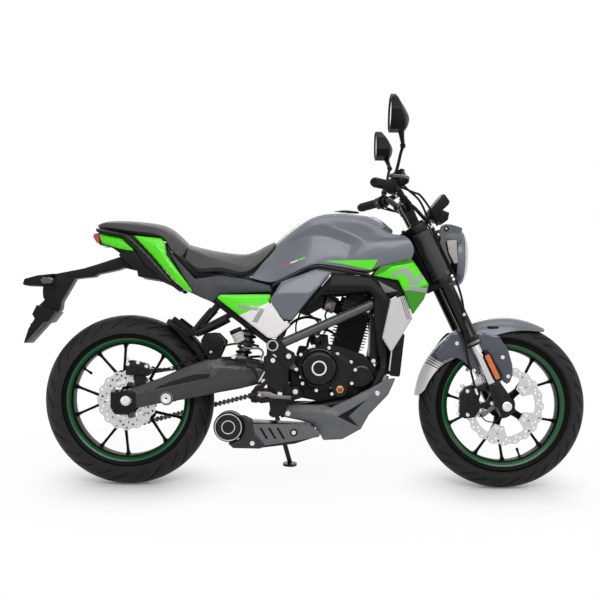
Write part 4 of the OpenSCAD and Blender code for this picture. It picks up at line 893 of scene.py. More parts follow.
def make_panels():
    panel("knee_panel", 6, [(507, 665, 156), (546, 732, 150), (668, 778, 146), (727, 770, 146), (583, 596, 147),
                            (553, 600, 147), (514, 684, 163), (656, 690, 166)],
          [(6, 1, 2, 7), (2, 3, 7), (0, 6, 7, 4), (0, 4, 5), (7, 3, 4)], "tank", "knee_panels", "dark_grey_plastic",
          20)
    panel("air_cowl", 12, [(727, 764, 145), (865, 753, 151), (913, 701, 157), (929, 673, 158), (901, 539, 156),
                           (913, 471, 148), (893, 466, 146), (873, 575, 147), (873, 676, 147), (856, 700, 147),
                           (699, 699, 145), (590, 596, 140), (712, 716, 154), (858, 716, 158), (896, 676, 161),
                           (886, 556, 158)],
          [(0, 1, 13, 12), (1, 2, 13), (2, 3, 14, 13), (12, 13, 9, 10), (13, 14, 8, 9), (14, 3, 4, 15),
           (14, 15, 7, 8), (15, 4, 5), (15, 5, 6, 7), (0, 12, 10, 11)], "black", "air_cowls", "black_plastic", 16)
    shroud = [(866, 757), (893, 791), (965, 813), (1004, 817), (1063, 726), (1048, 677), (1009, 620), (977, 700),
              (957, 741)]
    panel("shroud", shroud, [(866, 757, 160), (893, 791, 158), (965, 813, 158), (1004, 817, 156), (1064, 726, 170),
                             (1048, 677, 160), (1009, 620, 148), (977, 700, 170), (957, 741, 168), (908, 770, 172),
                             (935, 788, 175), (1004, 802, 172), (1056, 712, 176), (980, 708, 175)],
          [(0, 1, 10, 9), (1, 2, 3, 11), (1, 11, 10), (0, 9, 8), (9, 10, 13, 8), (10, 11, 12, 13), (11, 3, 4, 12),
           (8, 13, 7), (13, 12, 5, 6), (13, 6, 7), (12, 4, 5)],
          "lime lime_dark stripe ink", "shrouds", "green_paint", 20, round_by=5,
          # The first two inks are painted shade: the darker lime over the lower facet and along the top edge
          inks=[([(974, 704), (1000, 706), (1066, 730), (1050, 674), (1009, 612)], 1),
                ([(862, 757), (892, 795), (965, 818), (1010, 822), (1008, 803), (935, 789), (904, 768), (870, 754)],
                 1),
                ([(930, 757), (958, 779), (988, 785), (1017, 742), (1036, 769), (1046, 752), (1022, 722), (1006, 722),
                  (975, 764), (952, 760), (942, 748)], 2),
                ([(986, 722), (1060, 713), (1057, 697), (980, 708)], 2)])
    bars = []
    for d in (6, 12, 18):
        bars.append(([(981 - d - 1.4, 689), (981 - d + 1.2, 690), (1008 - d + 1.2, 604), (1008 - d - 1.4, 604)], 1))
    # The cover's white is given as light grey: painted shade
    panel("radiator_cover", 5, [(930, 673, 157), (981, 689, 156), (1009, 609, 152), (936, 487, 150), (902, 539, 155),
                                (930, 610, 160)],
          [(0, 1, 5), (1, 2, 5), (2, 3, 5), (3, 4, 5), (4, 0, 5)], "cover_grey ink", "radiator_covers",
          "white_plastic", 18, inks=bars, lines=False, soften=4, step=7)
    # Grey strip along the duct's edge: painted highlight. The black panel behind it stands for the shade inside the
    # duct opening: painted shade
    flat_panel("duct_lip", [(883, 741), (911, 696), (957, 703)], 158, "grey_web", thick=8, edge=2.5, round_by=2,
               step=6)
    flat_panel("duct_mouth", [(868, 756), (958, 741), (979, 703), (960, 690), (914, 690), (884, 738)], 150, "inner",
               thick=10, edge=2, round_by=3, step=9)
    panel("side_cover", 8, [(319, 673, 146), (332, 684, 147), (514, 687, 152), (503, 660, 156), (557, 593, 156),
                            (584, 584, 152), (530, 534, 148), (503, 533, 149), (470, 620, 161)],
          [(0, 1, 8), (1, 2, 8), (2, 3, 8), (3, 4, 8), (4, 5, 6, 8), (6, 7, 8), (7, 0, 8)],
          "lime white stripe lime", "side_covers", "white_plastic", 20, lines=False, soften=6, round_by=9,
          inks=[([(384, 598), (392, 609), (478, 646), (506, 660), (560, 620), (600, 590), (530, 515), (490, 520)], 1),
                ([(392, 650), (470, 640), (464, 629), (396, 637)], 2),
                ([(474, 640), (490, 634), (464, 586), (446, 590)], 2)])
    panel("seat_trim_panel", 10, [(139, 847, 102), (240, 740, 116), (330, 754, 118), (427, 739, 121), (507, 718, 128),
                                  (517, 697, 128), (330, 687, 120), (301, 658, 112), (279, 669, 110), (236, 686, 107),
                                    (252, 714, 121), (340, 718, 126), (440, 714, 129)],
          [(0, 1, 10, 9), (1, 2, 11, 10), (2, 3, 12, 11), (3, 4, 5, 12), (12, 5, 6, 11), (11, 6, 7, 10),
           (10, 7, 8, 9)],
          "trim", "seat_trim", "dark_grey_plastic", 16, round_by=5)
    edge = [(512, 722), (541, 740), (585, 761), (640, 791), (680, 797), (735, 788), (784, 780), (850, 767),
            (868, 757)]
    low = [(x, z - 15) for x, z in edge]
    flat_panel("tank_trim", edge + low[::-1], 143, "gloss", thick=10, edge=3, round_by=3, step=9)


def make_tail():
    front = [(17, 893), (118, 884), (130, 867), (137, 824), (231, 698), (220, 694), (202, 701), (162, 733), (83, 823)]
    panel("tail_side", front, [(17, 893, 96), (118, 884, 98), (130, 867, 99), (137, 824, 102), (231, 698, 114),
                               (220, 694, 108), (162, 733, 98), (83, 823, 92), (96, 862, 105), (143, 790, 109)],
          [(0, 1, 2, 8), (2, 3, 8), (3, 9, 8), (3, 4, 9), (4, 5, 9), (5, 6, 9), (6, 7, 8, 9), (7, 0, 8)],
          "lime white", "tail_cowl", "green_paint", 18, round_by=4,
          inks=[([(226, 690), (202, 697), (160, 729), (122, 775), (128, 777), (164, 735), (204, 703)], 1)])
    panel("tail_end", 6, [(-106, 900, 82), (-24, 883, 92), (24, 837, 98), (-17, 843, 88), (-41, 849, 86),
                          (-97, 865, 76), (-99, 884, 92), (-26, 866, 101)],
          [(0, 1, 7, 6), (1, 2, 7), (7, 2, 3, 4), (6, 7, 4, 5)], "lime", slot="green_paint", thick=14, round_by=4)
    rail = [(-117, 918), (-12, 900), (14, 887), (79, 824), (158, 734), (200, 698), (185, 694), (60, 788), (30, 836),
            (-22, 886), (-114, 905)]
    flat_panel("grab_strip", rail, 103, "gloss", nodes="grab_rail", slot="black_plastic", thick=22, edge=5, dome=2,
               round_by=6, step=7)
    tray = [(-98, 868), (-95, 899), (18, 897), (104, 889), (165, 812), (194, 808), (220, 768), (228, 755), (232, 702),
            (205, 700), (150, 718), (111, 739), (33, 750), (33, 771), (-25, 826), (-60, 850)]
    under = Shape().cut(tray, 4, -79, 79)
    under.cut([(-40, 826), (30, 770), (34, 748), (112, 736), (150, 716), (150, 800), (20, 850)], 6, 79, 84, both=True)
    piece("tail_tray", "chassis", under, "black", "undertray", "black_plastic", bevel=3)
    lamp = [(-132, 899), (-111, 905), (-98, 898), (-98, 866), (-112, 866)]
    lens = Shape().cut(lamp, 4, -62, 62)
    for i in range(-5, 6):
        lens.cut([(-134.5, 893), (-127, 897), (-117, 872), (-119, 868)], 2, i * 10 - 3.4, i * 10 + 3.4)
    piece("tail_lens", "chassis", lens, "red", "tail_lamp", "red_lens", bevel=2.5, seg=3)
    piece("tail_lamp_frame", "chassis", Shape().cut([(-109, 912), (-96, 906), (-92, 860), (-108, 861)], 3, -70, 70),
          "gloss", bevel=3)


RIDER_ROWS = [
    [(207, 873, 0), (232, 863, 0), (272, 851, 0), (325, 842, 0), (385, 835, 0), (425, 835, 0), (462, 849, 0),
     (497, 873, 0), (519, 884, 0)],
    [(207, 868, 52), (232, 859, 60), (274, 846, 66), (328, 836, 70), (385, 828, 68), (424, 827, 62), (460, 842, 54),
     (496, 868, 46), (519, 881, 38)],
    [(212, 848, 91), (240, 840, 106), (285, 821, 116), (340, 804, 122), (387, 791, 118), (419, 786, 111),
     (450, 797, 99), (490, 834, 85), (519, 868, 66)],
    [(201, 814, 92), (236, 779, 107), (275, 775, 117), (325, 785, 123), (375, 771, 119), (410, 762, 112),
     (452, 785, 100), (494, 827, 86), (522, 861, 67)],
    [(206, 806, 86), (238, 765, 100), (268, 763, 110), (326, 772, 116), (376, 758, 112), (410, 750, 105),
     (446, 767, 93), (490, 813, 79), (521, 853, 60)],
    [(212, 812, 0), (240, 770, 0), (270, 766, 0), (326, 774, 0), (376, 764, 0), (410, 762, 0), (446, 778, 0),
     (490, 824, 0), (516, 858, 0)]]
PILLION_ROWS = [
    [(-117, 936, 0), (-93, 953, 0), (-10, 953, 0), (60, 949, 0), (110, 943, 0), (145, 931, 0), (178, 905, 0),
     (203, 879, 0)],
    [(-117, 935, 34), (-92, 951, 44), (-10, 950, 52), (60, 945, 56), (110, 938, 58), (146, 926, 58), (180, 899, 56),
     (205, 873, 52)],
    [(-116, 931, 60), (-90, 941, 76), (-10, 936, 88), (60, 929, 95), (106, 922, 98), (142, 905, 98), (186, 872, 95),
     (213, 850, 90)],
    [(-113, 924, 60), (-88, 925, 76), (-10, 912, 88), (60, 905, 95), (110, 899, 99), (136, 880, 99), (151, 838, 97),
     (191, 816, 92)],
    [(-110, 918, 54), (-86, 917, 69), (-10, 904, 81), (60, 897, 88), (112, 891, 92), (138, 872, 92), (152, 830, 90),
     (188, 811, 85)],
    [(-106, 918, 0), (-86, 910, 0), (-10, 900, 0), (60, 896, 0), (112, 891, 0), (140, 870, 0), (154, 832, 0),
     (186, 813, 0)]]


def seat_creases(rows, strong):
    r, c = len(rows), len(rows[0])
    out = {}
    for row, w in strong:
        for k in {row, 2 * (r - 1) - row}:
            for j in range(c - 1):
                out[(k * c + j, k * c + j + 1)] = w
    for j, w in ((0, 0.55), (c - 1, 0.55)):
        n = 2 * (r - 1)
        for k in range(n):
            out[tuple(sorted((k * c + j, ((k + 1) % n) * c + j)))] = w
    return out


def swell(obj, cap):
    """Fills a seat with foam: a short cloth run under pressure, held back where it would move too far."""
    me = obj.data
    rest = np.zeros(len(me.vertices) * 3)
    me.vertices.foreach_get("co", rest)
    rest = rest.reshape(-1, 3)
    normal = np.zeros(len(me.vertices) * 3)
    me.vertices.foreach_get("normal", normal)
    normal = normal.reshape(-1, 3)
    group = obj.vertex_groups.new(name="held")
    low = [i for i, n in enumerate(normal) if n[2] < -0.35]
    group.add(low, 1.0, "REPLACE")
    mod = obj.modifiers.new("Foam", "CLOTH")
    cs = mod.settings
    cs.use_pressure, cs.uniform_pressure_force, cs.vertex_group_mass = True, 4.0, "held"
    cs.effector_weights.gravity = 0.0
    cs.quality, cs.tension_stiffness, cs.compression_stiffness, cs.bending_stiffness = 4, 22, 22, 8
    mod.point_cache.frame_start, mod.point_cache.frame_end = 1, 20
    scene = bpy.context.scene
    for i in range(1, 21):
        scene.frame_set(i)
    dg = bpy.context.evaluated_depsgraph_get()
    out = np.zeros(len(rest) * 3)
    obj.evaluated_get(dg).data.vertices.foreach_get("co", out)
    obj.modifiers.clear()
    scene.frame_set(1)
    move = out.reshape(-1, 3) - rest
    size = np.linalg.norm(move, axis=1)[:, None]
    move *= np.minimum(1.0, cap / np.maximum(size, 1e-9))
    me.vertices.foreach_set("co", (rest + move).ravel())
    me.update()
    obj.vertex_groups.clear()


def make_seats(sizes):
    for name, rows, node in (("rider_seat_cover", RIDER_ROWS, "rider_seat"),
                             ("pillion_seat_cover", PILLION_ROWS, "pillion_seat")):
        mesh = cage(rows)
        n, c = 2 * (len(rows) - 1), len(rows[0])
        mats = []
        for i in range(n):
            band = min(i, n - 1 - i)
            # The top takes the seat vinyl, the side under the top edge its darker copy as painted shade, and the foot
            # and underside the dark edge vinyl
            mats += [0 if band < 2 else (1 if band == 2 else 2)] * (c - 1)
        seat = piece(name, "chassis", Shape().add(mesh, mats + [2, 2]), "seat seat_side seat_edge", node,
                     "seat_vinyl", 60, levels=4, creases=seat_creases(rows, ((2, 0.5), (3, 0.85), (4, 0.7))))
        swell(seat, sizes.seat_swell * 0.5)


# Wheels, discs and final drive

def ring_of(r, n=12, x=0.0, y=0.0):
    return [(x + r * math.cos(2 * math.pi * i / n), y + r * math.sin(2 * math.pi * i / n)) for i in range(n)]


def plate(loops, h0, h1):
    """A flat plate between heights h0 and h1 from one outer loop and the holes in it."""
    flat, edges = [], []
    for loop in loops:
        base, n = len(flat), len(loop)
        flat += [Vector(p) for p in loop]
        edges += [(base + i, base + (i + 1) % n) for i in range(n)]
    co, _, tris, *_ = delaunay_2d_cdt(flat, edges, [], 0, 0.001)

    def solid(t):
        x, y = sum(co[i].x for i in t) / 3, sum(co[i].y for i in t) / 3
        return inside(x, y, loops[0]) and not any(inside(x, y, h) for h in loops[1:])
    tris = [tuple(t) for t in tris if solid(t)]
    used = sorted({i for t in tris for i in t})
    index = {v: k for k, v in enumerate(used)}
    tris = [tuple(index[i] for i in t) for t in tris]
    m = len(used)
    pts = [(co[i].x, co[i].y, h1) for i in used] + [(co[i].x, co[i].y, h0) for i in used]
    seen = {(t[i], t[(i + 1) % 3]) for t in tris for i in range(3)}
    faces = tris + [tuple(i + m for i in t[::-1]) for t in tris]
    faces += [(b, a, a + m, b + m) for a, b in seen if (b, a) not in seen]
    return pts, faces


def beam(path, n=12, power=0.55):
    """A cast arm along (x, y, width, depth) stations in a wheel's plane."""
    pts = []
    for i, (x, y, w, d) in enumerate(path):
        a, b = path[max(i - 1, 0)], path[min(i + 1, len(path) - 1)]
        t = Vector((b[0] - a[0], b[1] - a[1])).normalized()
        for j in range(n):
            f = 2 * math.pi * (j + 0.5) / n
            c, s = math.cos(f), math.sin(f)
            c, s = math.copysign(abs(c) ** power, c) * w / 2, math.copysign(abs(s) ** power, s) * d / 2
            pts.append((x - t.y * c, y + t.x * c, s))
    faces = grid_faces(len(path), n, wrap_c=True)
    return pts, faces + [tuple(range(n)), tuple(len(pts) - n + j for j in range(n))]


def tyre_mesh(r, w, rim_in, around, pitches, sweep, groove):
    """A road tyre with swept grooves cut into its tread; the faces deep in the grooves are marked for a darker
    finish, a painted shade.
    """
    half = w / 2
    prof = [(rim_in - 8, half * 0.56), (rim_in + 3, half * 0.70), (rim_in + 9, half * 0.80),
            (rim_in + 18, half * 0.93), (r - half + 2, half * 0.995)]
    arc = np.radians(np.linspace(88, -88, 47))
    tread = [(r - half + half * math.cos(a), half * math.sin(a)) for a in arc]
    prof += tread + [(a, -b) for a, b in prof[::-1]]
    prof = np.array(prof)
    lat = np.concatenate([np.full(5, 1.2), np.degrees(arc) / 88, np.full(5, -1.2)])
    theta = np.linspace(0, 2 * np.pi, around, endpoint=False)
    pitch = 2 * np.pi / pitches
    a = np.abs(lat)[:, None]
    side = np.where(lat > 0, 0.0, 0.5)[:, None] * pitch
    curve = math.radians(sweep) * np.clip(a, 0, 1) ** 1.25
    slope = math.radians(sweep) * 1.25 * np.clip(a, 0.02, 1) ** 0.25 * r
    across = math.radians(88) * half
    lean = across / np.hypot(across, slope)
    depth = np.zeros((len(lat), around))
    for lag, lo, hi, width in ((0.0, 0.13, 0.80, 1.0), (0.5, 0.46, 0.86, 0.8)):
        d = (theta[None, :] - curve - side - lag * pitch + pitch / 2) % pitch - pitch / 2
        dist = np.abs(d) * r * lean
        fade = np.clip((a - lo) / 0.06, 0, 1) * np.clip((hi - a) / 0.07, 0, 1)
        cut = np.clip((groove * width * (0.45 + 0.55 * fade) - dist) / 1.4 + 0.5, 0, 1) * (fade > 0)
        depth = np.maximum(depth, cut * (0.25 + 0.75 * fade))
    # A raised line between side wall and tread
    lip = np.exp(-((a - 0.985) / 0.012) ** 2) * 0.8
    depth = depth * groove * 1.15 - lip * (a < 1.1)
    t = np.gradient(prof, axis=0)
    nr, nh = -t[:, 1], t[:, 0]
    size = np.hypot(nr, nh)
    sign = np.where(nr * (prof[:, 0] - (r - half)) + nh * prof[:, 1] > 0, 1.0, -1.0)
    nr, nh = nr / size * sign, nh / size * sign
    rr = prof[:, 0][:, None] - depth * nr[:, None]
    hh = prof[:, 1][:, None] - depth * nh[:, None]
    x, y = rr * np.cos(theta), rr * np.sin(theta)
    pts = np.stack([x, y, np.broadcast_to(hh, x.shape)], -1).reshape(-1, 3)
    # Faces deep in the grooves take the darker groove finish: painted shade in the grooves
    low = np.roll(depth, -1, 0) + depth
    marks = ((low + np.roll(low, -1, 1)) / 4 > groove * 0.7).astype(int).ravel()
    return ([tuple(p) for p in pts], grid_faces(len(prof), around, wrap_r=True, wrap_c=True)), [int(k) for k in marks]


def rim_shape(spread, hub, phase, spokes, valve):
    """A cast rim: barrel with a painted line, split spokes, hub and valve."""
    k = spread / 42
    half = [(200, 24), (202, 31), (206, 36), (214.5, 41), (216.5, 42.2), (221.6, 43.7), (228.6, 45.6), (230.6, 46.3),
            (233, 47.4), (236, 47.4), (237.6, 45.6), (237.6, 43), (229, 41), (224, 35), (216, 22)]
    prof = [(r, h * k) for r, h in half] + [(r, -h * k) for r, h in half[::-1]]
    n = 144
    marks = [0] * len(prof)
    for i in range(len(half) - 1):
        code = 1 if half[i][0] in (206, 214.5, 216.5) else 0
        marks[i] = code
        marks[len(prof) - 2 - i] = code
    s = Shape().lathe(prof + [prof[0]], n, [m for m in marks for _ in range(n)])
    s.add(pipe(33, 9.2, -hub, hub, 2, 48))
    for side in (-1, 1):
        s.lathe([(30, side * 18), (46, side * 18), (48, side * 22), (46, side * 26), (36, side * 34), (33, side * 44),
                 (30, side * 44), (30, side * 18)], 48)
    for i in range(spokes):
        at = turn(phase + 360 / spokes * i, "Z")
        s.add(beam([(22, 0, 40, 42), (40, 0, 31, 38), (60, 0, 25, 33), (84, 0, 26, 30), (102, 0, 24, 27),
                    (110, 0, 12, 22)]), 0, at)
        for f in (-1, 1):
            a, b = Vector((84, 6 * f)), Vector((204 * math.cos(math.radians(15)),
                                                204 * math.sin(math.radians(15)) * f))
            path = []
            for t, w, d in ((0, 18, 26), (0.12, 13, 24), (0.25, 10.5, 22), (0.55, 9, 20), (0.82, 9.5, 22),
                            (0.9, 12, 25), (0.955, 19, 32), (1.0, 34, 44)):
                p = a.lerp(b, t)
                path.append((p.x, p.y, w, d * (1 + 0.3 * (k - 1))))
            s.add(beam(path), 0, at)
    at = turn(valve, "Z") @ along((203, 0, 0), (160, 0, 3))
    s.lathe([(0, 0), (9, 0), (9, 3), (5.5, 6), (4, 8), (4, 24), (5, 24.4), (5, 35), (4, 36.5), (0, 36.5)], 16, 2, at)
    return s


def brake_disc(r, wave, petals, inner, tab, tab_half, arms, phase, rows, hole, h):
    """A wavy drilled disc with a tab over each arm of the wheel."""
    def lobe(i, n):
        t = 2 * math.pi * i / n
        rr = r - wave + wave * (1 - 2 * abs(math.sin(petals * t / 2)) ** 2.6) * 0.9
        return (rr * math.cos(t), rr * math.sin(t))

    def bore(i, n):
        t = 360 * i / n
        gap = abs((t - phase + 180 / arms) % (360 / arms) - 180 / arms)
        lo = tab_half * 0.62
        k = min(1.0, max(0.0, (tab_half - gap) / (tab_half - lo)))
        rr = inner - (inner - tab) * (k * k * (3 - 2 * k))
        return (rr * math.cos(math.radians(t)), rr * math.sin(math.radians(t)))
    loops = [[lobe(i, petals * 18) for i in range(petals * 18)], [bore(i, 540) for i in range(540)]]
    for rr, count, first in rows:
        for i in range(count):
            t = math.radians(first + 360 * i / count)
            loops.append(ring_of(hole / 2, 10, rr * math.cos(t), rr * math.sin(t)))
    s = Shape().add(plate(loops, h - 2.5, h + 2.5))
    for i in range(arms):
        t = phase + 360 / arms * i
        for rr, off in ((tab + 13, 7.5), (tab + 13, -7.5)):
            at = turn(t, "Z") @ shift(rr, off * 1.15, h)
            s.lathe([(0, -6), (7.6, -6), (7.6, 2.6), (7, 4.4), (5.4, 5.4), (3.2, 5.4), (3, 3.2), (0, 3.2)], 20, 1, at)
        at = turn(t, "Z") @ shift(tab + 30, 0, h)
        s.add(rod(3.4, -2.7, 2.8, 0.4, 12), 2, at)
        if h > 40:
            s.add(rod(9, 14, h, 1, 20), 2, turn(t, "Z") @ shift(tab + 13, 0, 0))
    return s


def make_wheels(sizes):
    for end, hub, body, r, w, spread, hub_w, phase, valve, pitches, sweep in (
            ("front", FRONT_HUB, "front_wheel", FRONT_R, 110, 42, 71, 41, -69.5, 15, 27),
            ("rear", REAR_HUB, "rear_wheel", REAR_R, 140, 55, 90, 38, 147, 13, 30)):
        mesh, marks = tyre_mesh(r, w, 233, 1260, pitches, sweep, sizes.groove * 1000)
        piece(f"{end}_tyre_tread", body, Shape().add(mesh, marks, hub), "tyre groove", f"{end}_tyre", "tyre", 50)
        rim = rim_shape(spread, hub_w, phase, sizes.spokes, valve).moved(hub)
        piece(f"{end}_rim_cast", body, rim, "rim rim_line rubber", f"{end}_rim", "rim_black", 40)
    hole = sizes.disc_hole * 1000
    rows = [(121, 20, 4.5), (134, 20, 0), (127, 20, 9.5)]
    s = brake_disc(143, 3.4, 20, 111, 72, 20, 5, 41, rows, hole, 62).moved(FRONT_HUB)
    piece("front_disc_wave", "front_wheel", s, "disc zinc dark_steel", "front_disc", "disc_steel", 30)
    rows = [(79, 16, 5), (89, 16, 14), (98.5, 16, 0)]
    s = brake_disc(108, 3.2, 16, 66, 50, 24, 5, 38, rows, hole, 79).moved(REAR_HUB)
    piece("rear_disc_wave", "rear_wheel", s, "disc zinc dark_steel", "rear_disc", "disc_steel", 30)


def belt(c0, r0, c1, r1):
    """The line of a chain round two wheels, as points one link apart."""
    d = Vector(c1) - Vector(c0)
    l, a = d.length, math.atan2(d.y, d.x)
    b = math.acos((r0 - r1) / l)
    pts = [(c0[0] + r0 * math.cos(a + b + (2 * math.pi - 2 * b) * i / 120),
            c0[1] + r0 * math.sin(a + b + (2 * math.pi - 2 * b) * i / 120)) for i in range(121)]
    pts += [(c1[0] + r1 * math.cos(a - b + 2 * b * i / 60),
             c1[1] + r1 * math.sin(a - b + 2 * b * i / 60)) for i in range(61)]
    return pts


def walk(points, count):
    """Even stations along a closed line, each with its direction."""
    p = np.array(points + [points[0]], float)
    run = np.concatenate([[0], np.cumsum(np.hypot(*np.diff(p, axis=0).T))])
    at = np.linspace(0, run[-1], count, endpoint=False)
    x, y = np.interp(at, run, p[:, 0]), np.interp(at, run, p[:, 1])
    x2, y2 = np.interp((at + 4) % run[-1], run, p[:, 0]), np.interp((at + 4) % run[-1], run, p[:, 1])
    return [(x[i], y[i], math.atan2(y2[i] - y[i], x2[i] - x[i])) for i in range(count)], run[-1] / count


def link_shape(pitch, wide):
    """One link of a chain: two waisted side plates and its pins, along x."""
    half = pitch / 2
    side = []
    for k, c in ((1, half), (-1, -half)):
        for i in range(9):
            t = math.radians(-100 + 25 * i) if k == 1 else math.radians(80 + 25 * i)
            side.append((c + 5.9 * math.cos(t), 5.9 * math.sin(t)))
    side.insert(9, (0, 4.3))
    side.append((0, -4.3))
    s = Shape()
    for sgn in (-1, 1):
        h = wide * sgn
        s.add(plate([side], min(h, h - 1.5 * sgn), max(h, h - 1.5 * sgn)))
    for c in (-half, half):
        s.add(rod(2.9 if wide > 5.5 else 4.4, -wide - 0.5 if wide > 5.5 else -wide,
                  wide + 0.5 if wide > 5.5 else wide, 0.3, 12), 0, shift(c, 0, 0))
    return s


SPROCKET_R, PINION_R = 98, 42
PINION_AT = (602.0, 407.0)


def make_drive(sizes):
    line = belt((0, REAR_R), SPROCKET_R, PINION_AT, PINION_R)
    pitch = sizes.chain_pitch * 1000
    teeth = int(round(2 * math.pi * SPROCKET_R / pitch))
    total = sum(math.dist(line[i - 1], p) for i, p in enumerate(line))
    count = 2 * int(round(total / pitch / 2))
    stations, pitch = walk(line, count)
    for kind, wide in ((0, 4.9), (1, 6.5)):
        rows = [(BIKE @ Vector((x, 83, z)), link_turn(-a)) for x, z, a in stations[kind::2]]
        scatter(f"chain_links_{kind}", "chassis", rows, link_shape(pitch, wide), "chain" if kind else "dark_steel",
                ("chain",) if kind else ())
    out = []
    for i in range(teeth * 8):
        t = 2 * math.pi * i / (teeth * 8)
        k = 0.5 + 0.5 * math.cos(teeth * t)
        out.append(((87.3 + 5.4 * k ** 1.5) * math.cos(t), (87.3 + 5.4 * k ** 1.5) * math.sin(t)))
    loops = [out, ring_of(40, 48)]
    for i in range(5):
        t = math.radians(38 + 72 * i + 36)
        loops.append(ring_of(13, 24, 64 * math.cos(t), 64 * math.sin(t)))
    s = Shape().add(plate(loops, -86, -80), 0, REAR_HUB)
    for i in range(5):
        at = REAR_HUB @ turn(38 + 72 * i, "Z")
        s.add(rod(8, -80, -15, 1, 20), 1, at @ shift(50, 0, 0))
        s.add(rod(7, -90, -85, 1.4, 6), 2, at @ shift(50, 0, 0))
    piece("sprocket_teeth", "rear_wheel", s, "steel rim zinc", "rear_sprocket", "steel", 30)


def link_turn(a):
    """The turn that lays a link in the leaned plane of the chain, along angle a."""
    m = BIKE.to_3x3().normalized() @ Matrix.Rotation(math.pi / 2, 3, "X") @ Matrix.Rotation(a, 3, "Z")
    return m.to_euler()


# Pieces that repeat, by Geometry Nodes

def new_group(name, **sockets):
    """A node group with the inputs named, and its input node."""
    g = bpy.data.node_groups.new(name, "GeometryNodeTree")
    for key, kind in sockets.items():
        g.interface.new_socket(key, in_out="INPUT", socket_type="NodeSocket" + kind)
    g.interface.new_socket("Geometry", in_out="OUTPUT", socket_type="NodeSocketGeometry")
    return g, g.nodes.new("NodeGroupInput").outputs


def on_points(g, given, shape):
    """Ends a group: the shape on every point, turned and sized by the point's own attributes."""
    by = {name: new_node(g, "GeometryNodeInputNamedAttribute", {"Name": name}, data_type=kind).outputs["Attribute"]
          for name, kind in (("turn", "FLOAT_VECTOR"), ("size", "FLOAT"))}
    put = new_node(g, "GeometryNodeInstanceOnPoints",
                   {"Points": given["Geometry"], "Instance": shape, "Rotation": by["turn"], "Scale": by["size"]})
    real = new_node(g, "GeometryNodeRealizeInstances", {"Geometry": put.outputs["Instances"]})
    dress = new_node(g, "GeometryNodeSetMaterial",
                     {"Geometry": real.outputs["Geometry"], "Material": given["Finish"]})
    new_node(g, "NodeGroupOutput", {"Geometry": dress.outputs["Geometry"]})
    return g


def scatter_tree():
    """Puts the shape of an object on every point."""
    if "Scatter" in bpy.data.node_groups:
        return bpy.data.node_groups["Scatter"]
    g, given = new_group("Scatter", Geometry="Geometry", Shape="Object", Finish="Material")
    info = new_node(g, "GeometryNodeObjectInfo", {"Object": given["Shape"]})
    return on_points(g, given, info.outputs["Geometry"])


def set_out(name, body, tree, rows, values, sharp):
    """One piece that a node group makes on rows of (place, turn, size)."""
    me = bpy.data.meshes.new(name)
    me.from_pydata([tuple(p) for p, _, _ in rows], [], [])
    turns = me.attributes.new("turn", "FLOAT_VECTOR", "POINT")
    turns.data.foreach_set("vector", [c for _, t, _ in rows for c in t])
    sizes = me.attributes.new("size", "FLOAT", "POINT")
    sizes.data.foreach_set("value", [k for _, _, k in rows])
    obj = bpy.data.objects.new(name, me)
    bpy.context.scene.collection.objects.link(obj)
    mod = obj.modifiers.new(tree.name, "NODES")
    mod.node_group = tree
    for item in tree.interface.items_tree:
        if item.in_out == "INPUT" and item.name in values:
            mod[item.identifier] = values[item.name]
    bake(obj, sharp)
    for key in ("turn", "size"):
        if key in obj.data.attributes:
            obj.data.attributes.remove(obj.data.attributes[key])
    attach(obj, body)
    return obj


def plain_mesh(name, shape):
    me = bpy.data.meshes.new(name)
    me.from_pydata([tuple(c * 0.001 for c in p) for p in shape.v], [], shape.f)
    bm = bmesh.new()
    bm.from_mesh(me)
    bmesh.ops.recalc_face_normals(bm, faces=bm.faces)
    bm.to_mesh(me)
    bm.free()
    return me


def scatter(name, body, rows, shape, finish, nodes=()):
    """One piece with a shape on every row of (place, turn) or (place, turn, size)."""
    part = bpy.data.objects.new("part", plain_mesh("part", shape))
    bpy.context.scene.collection.objects.link(part)
    rows = [(*r, 1.0)[:3] for r in rows]
    obj = set_out(name, body, scatter_tree(), rows, {"Shape": part, "Finish": FINISH[finish]}, 35)
    old = part.data
    bpy.data.objects.remove(part)
    bpy.data.meshes.remove(old)
    if nodes:
        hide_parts(*nodes)
    return obj


# Engine, exhaust and belly pan

BOLTS = {"chassis": [], "steering": [], "stand": [], "rear_wheel": [], "front_wheel": []}


def bolt(x, z, y, size=1.0, out=None, body="chassis"):
    """Notes a bolt head on a side face, its axis pointing away from the middle unless given."""
    aim = Vector(out) if out else Vector((0, 1 if y > 0 else -1, 0))
    BOLTS[body].append((Vector((x, y, z)), aim, size))


def bolt_pair(x, z, y, size=1.0, out=None, body="chassis"):
    """Notes a bolt head on both sides."""
    for side in (-1, 1):
        bolt(x, z, side * y, size, out, body)


def bolts_round(x, z, y, r, count, first=0.0, size=1.0):
    for i in range(count):
        t = math.radians(first + 360 * i / count)
        bolt(x + r * math.cos(t), z + r * math.sin(t), y, size)


CASE = [(578, 450), (630, 491), (716, 516), (842, 480), (886, 433), (886, 372), (800, 325), (691, 309), (590, 328)]
COVER = [(604, 428), (608, 452), (628, 482), (658, 497), (690, 500), (750, 486), (800, 458), (818, 434), (806, 392),
         (792, 366), (776, 334), (744, 330), (724, 356), (690, 350), (650, 364), (616, 394)]


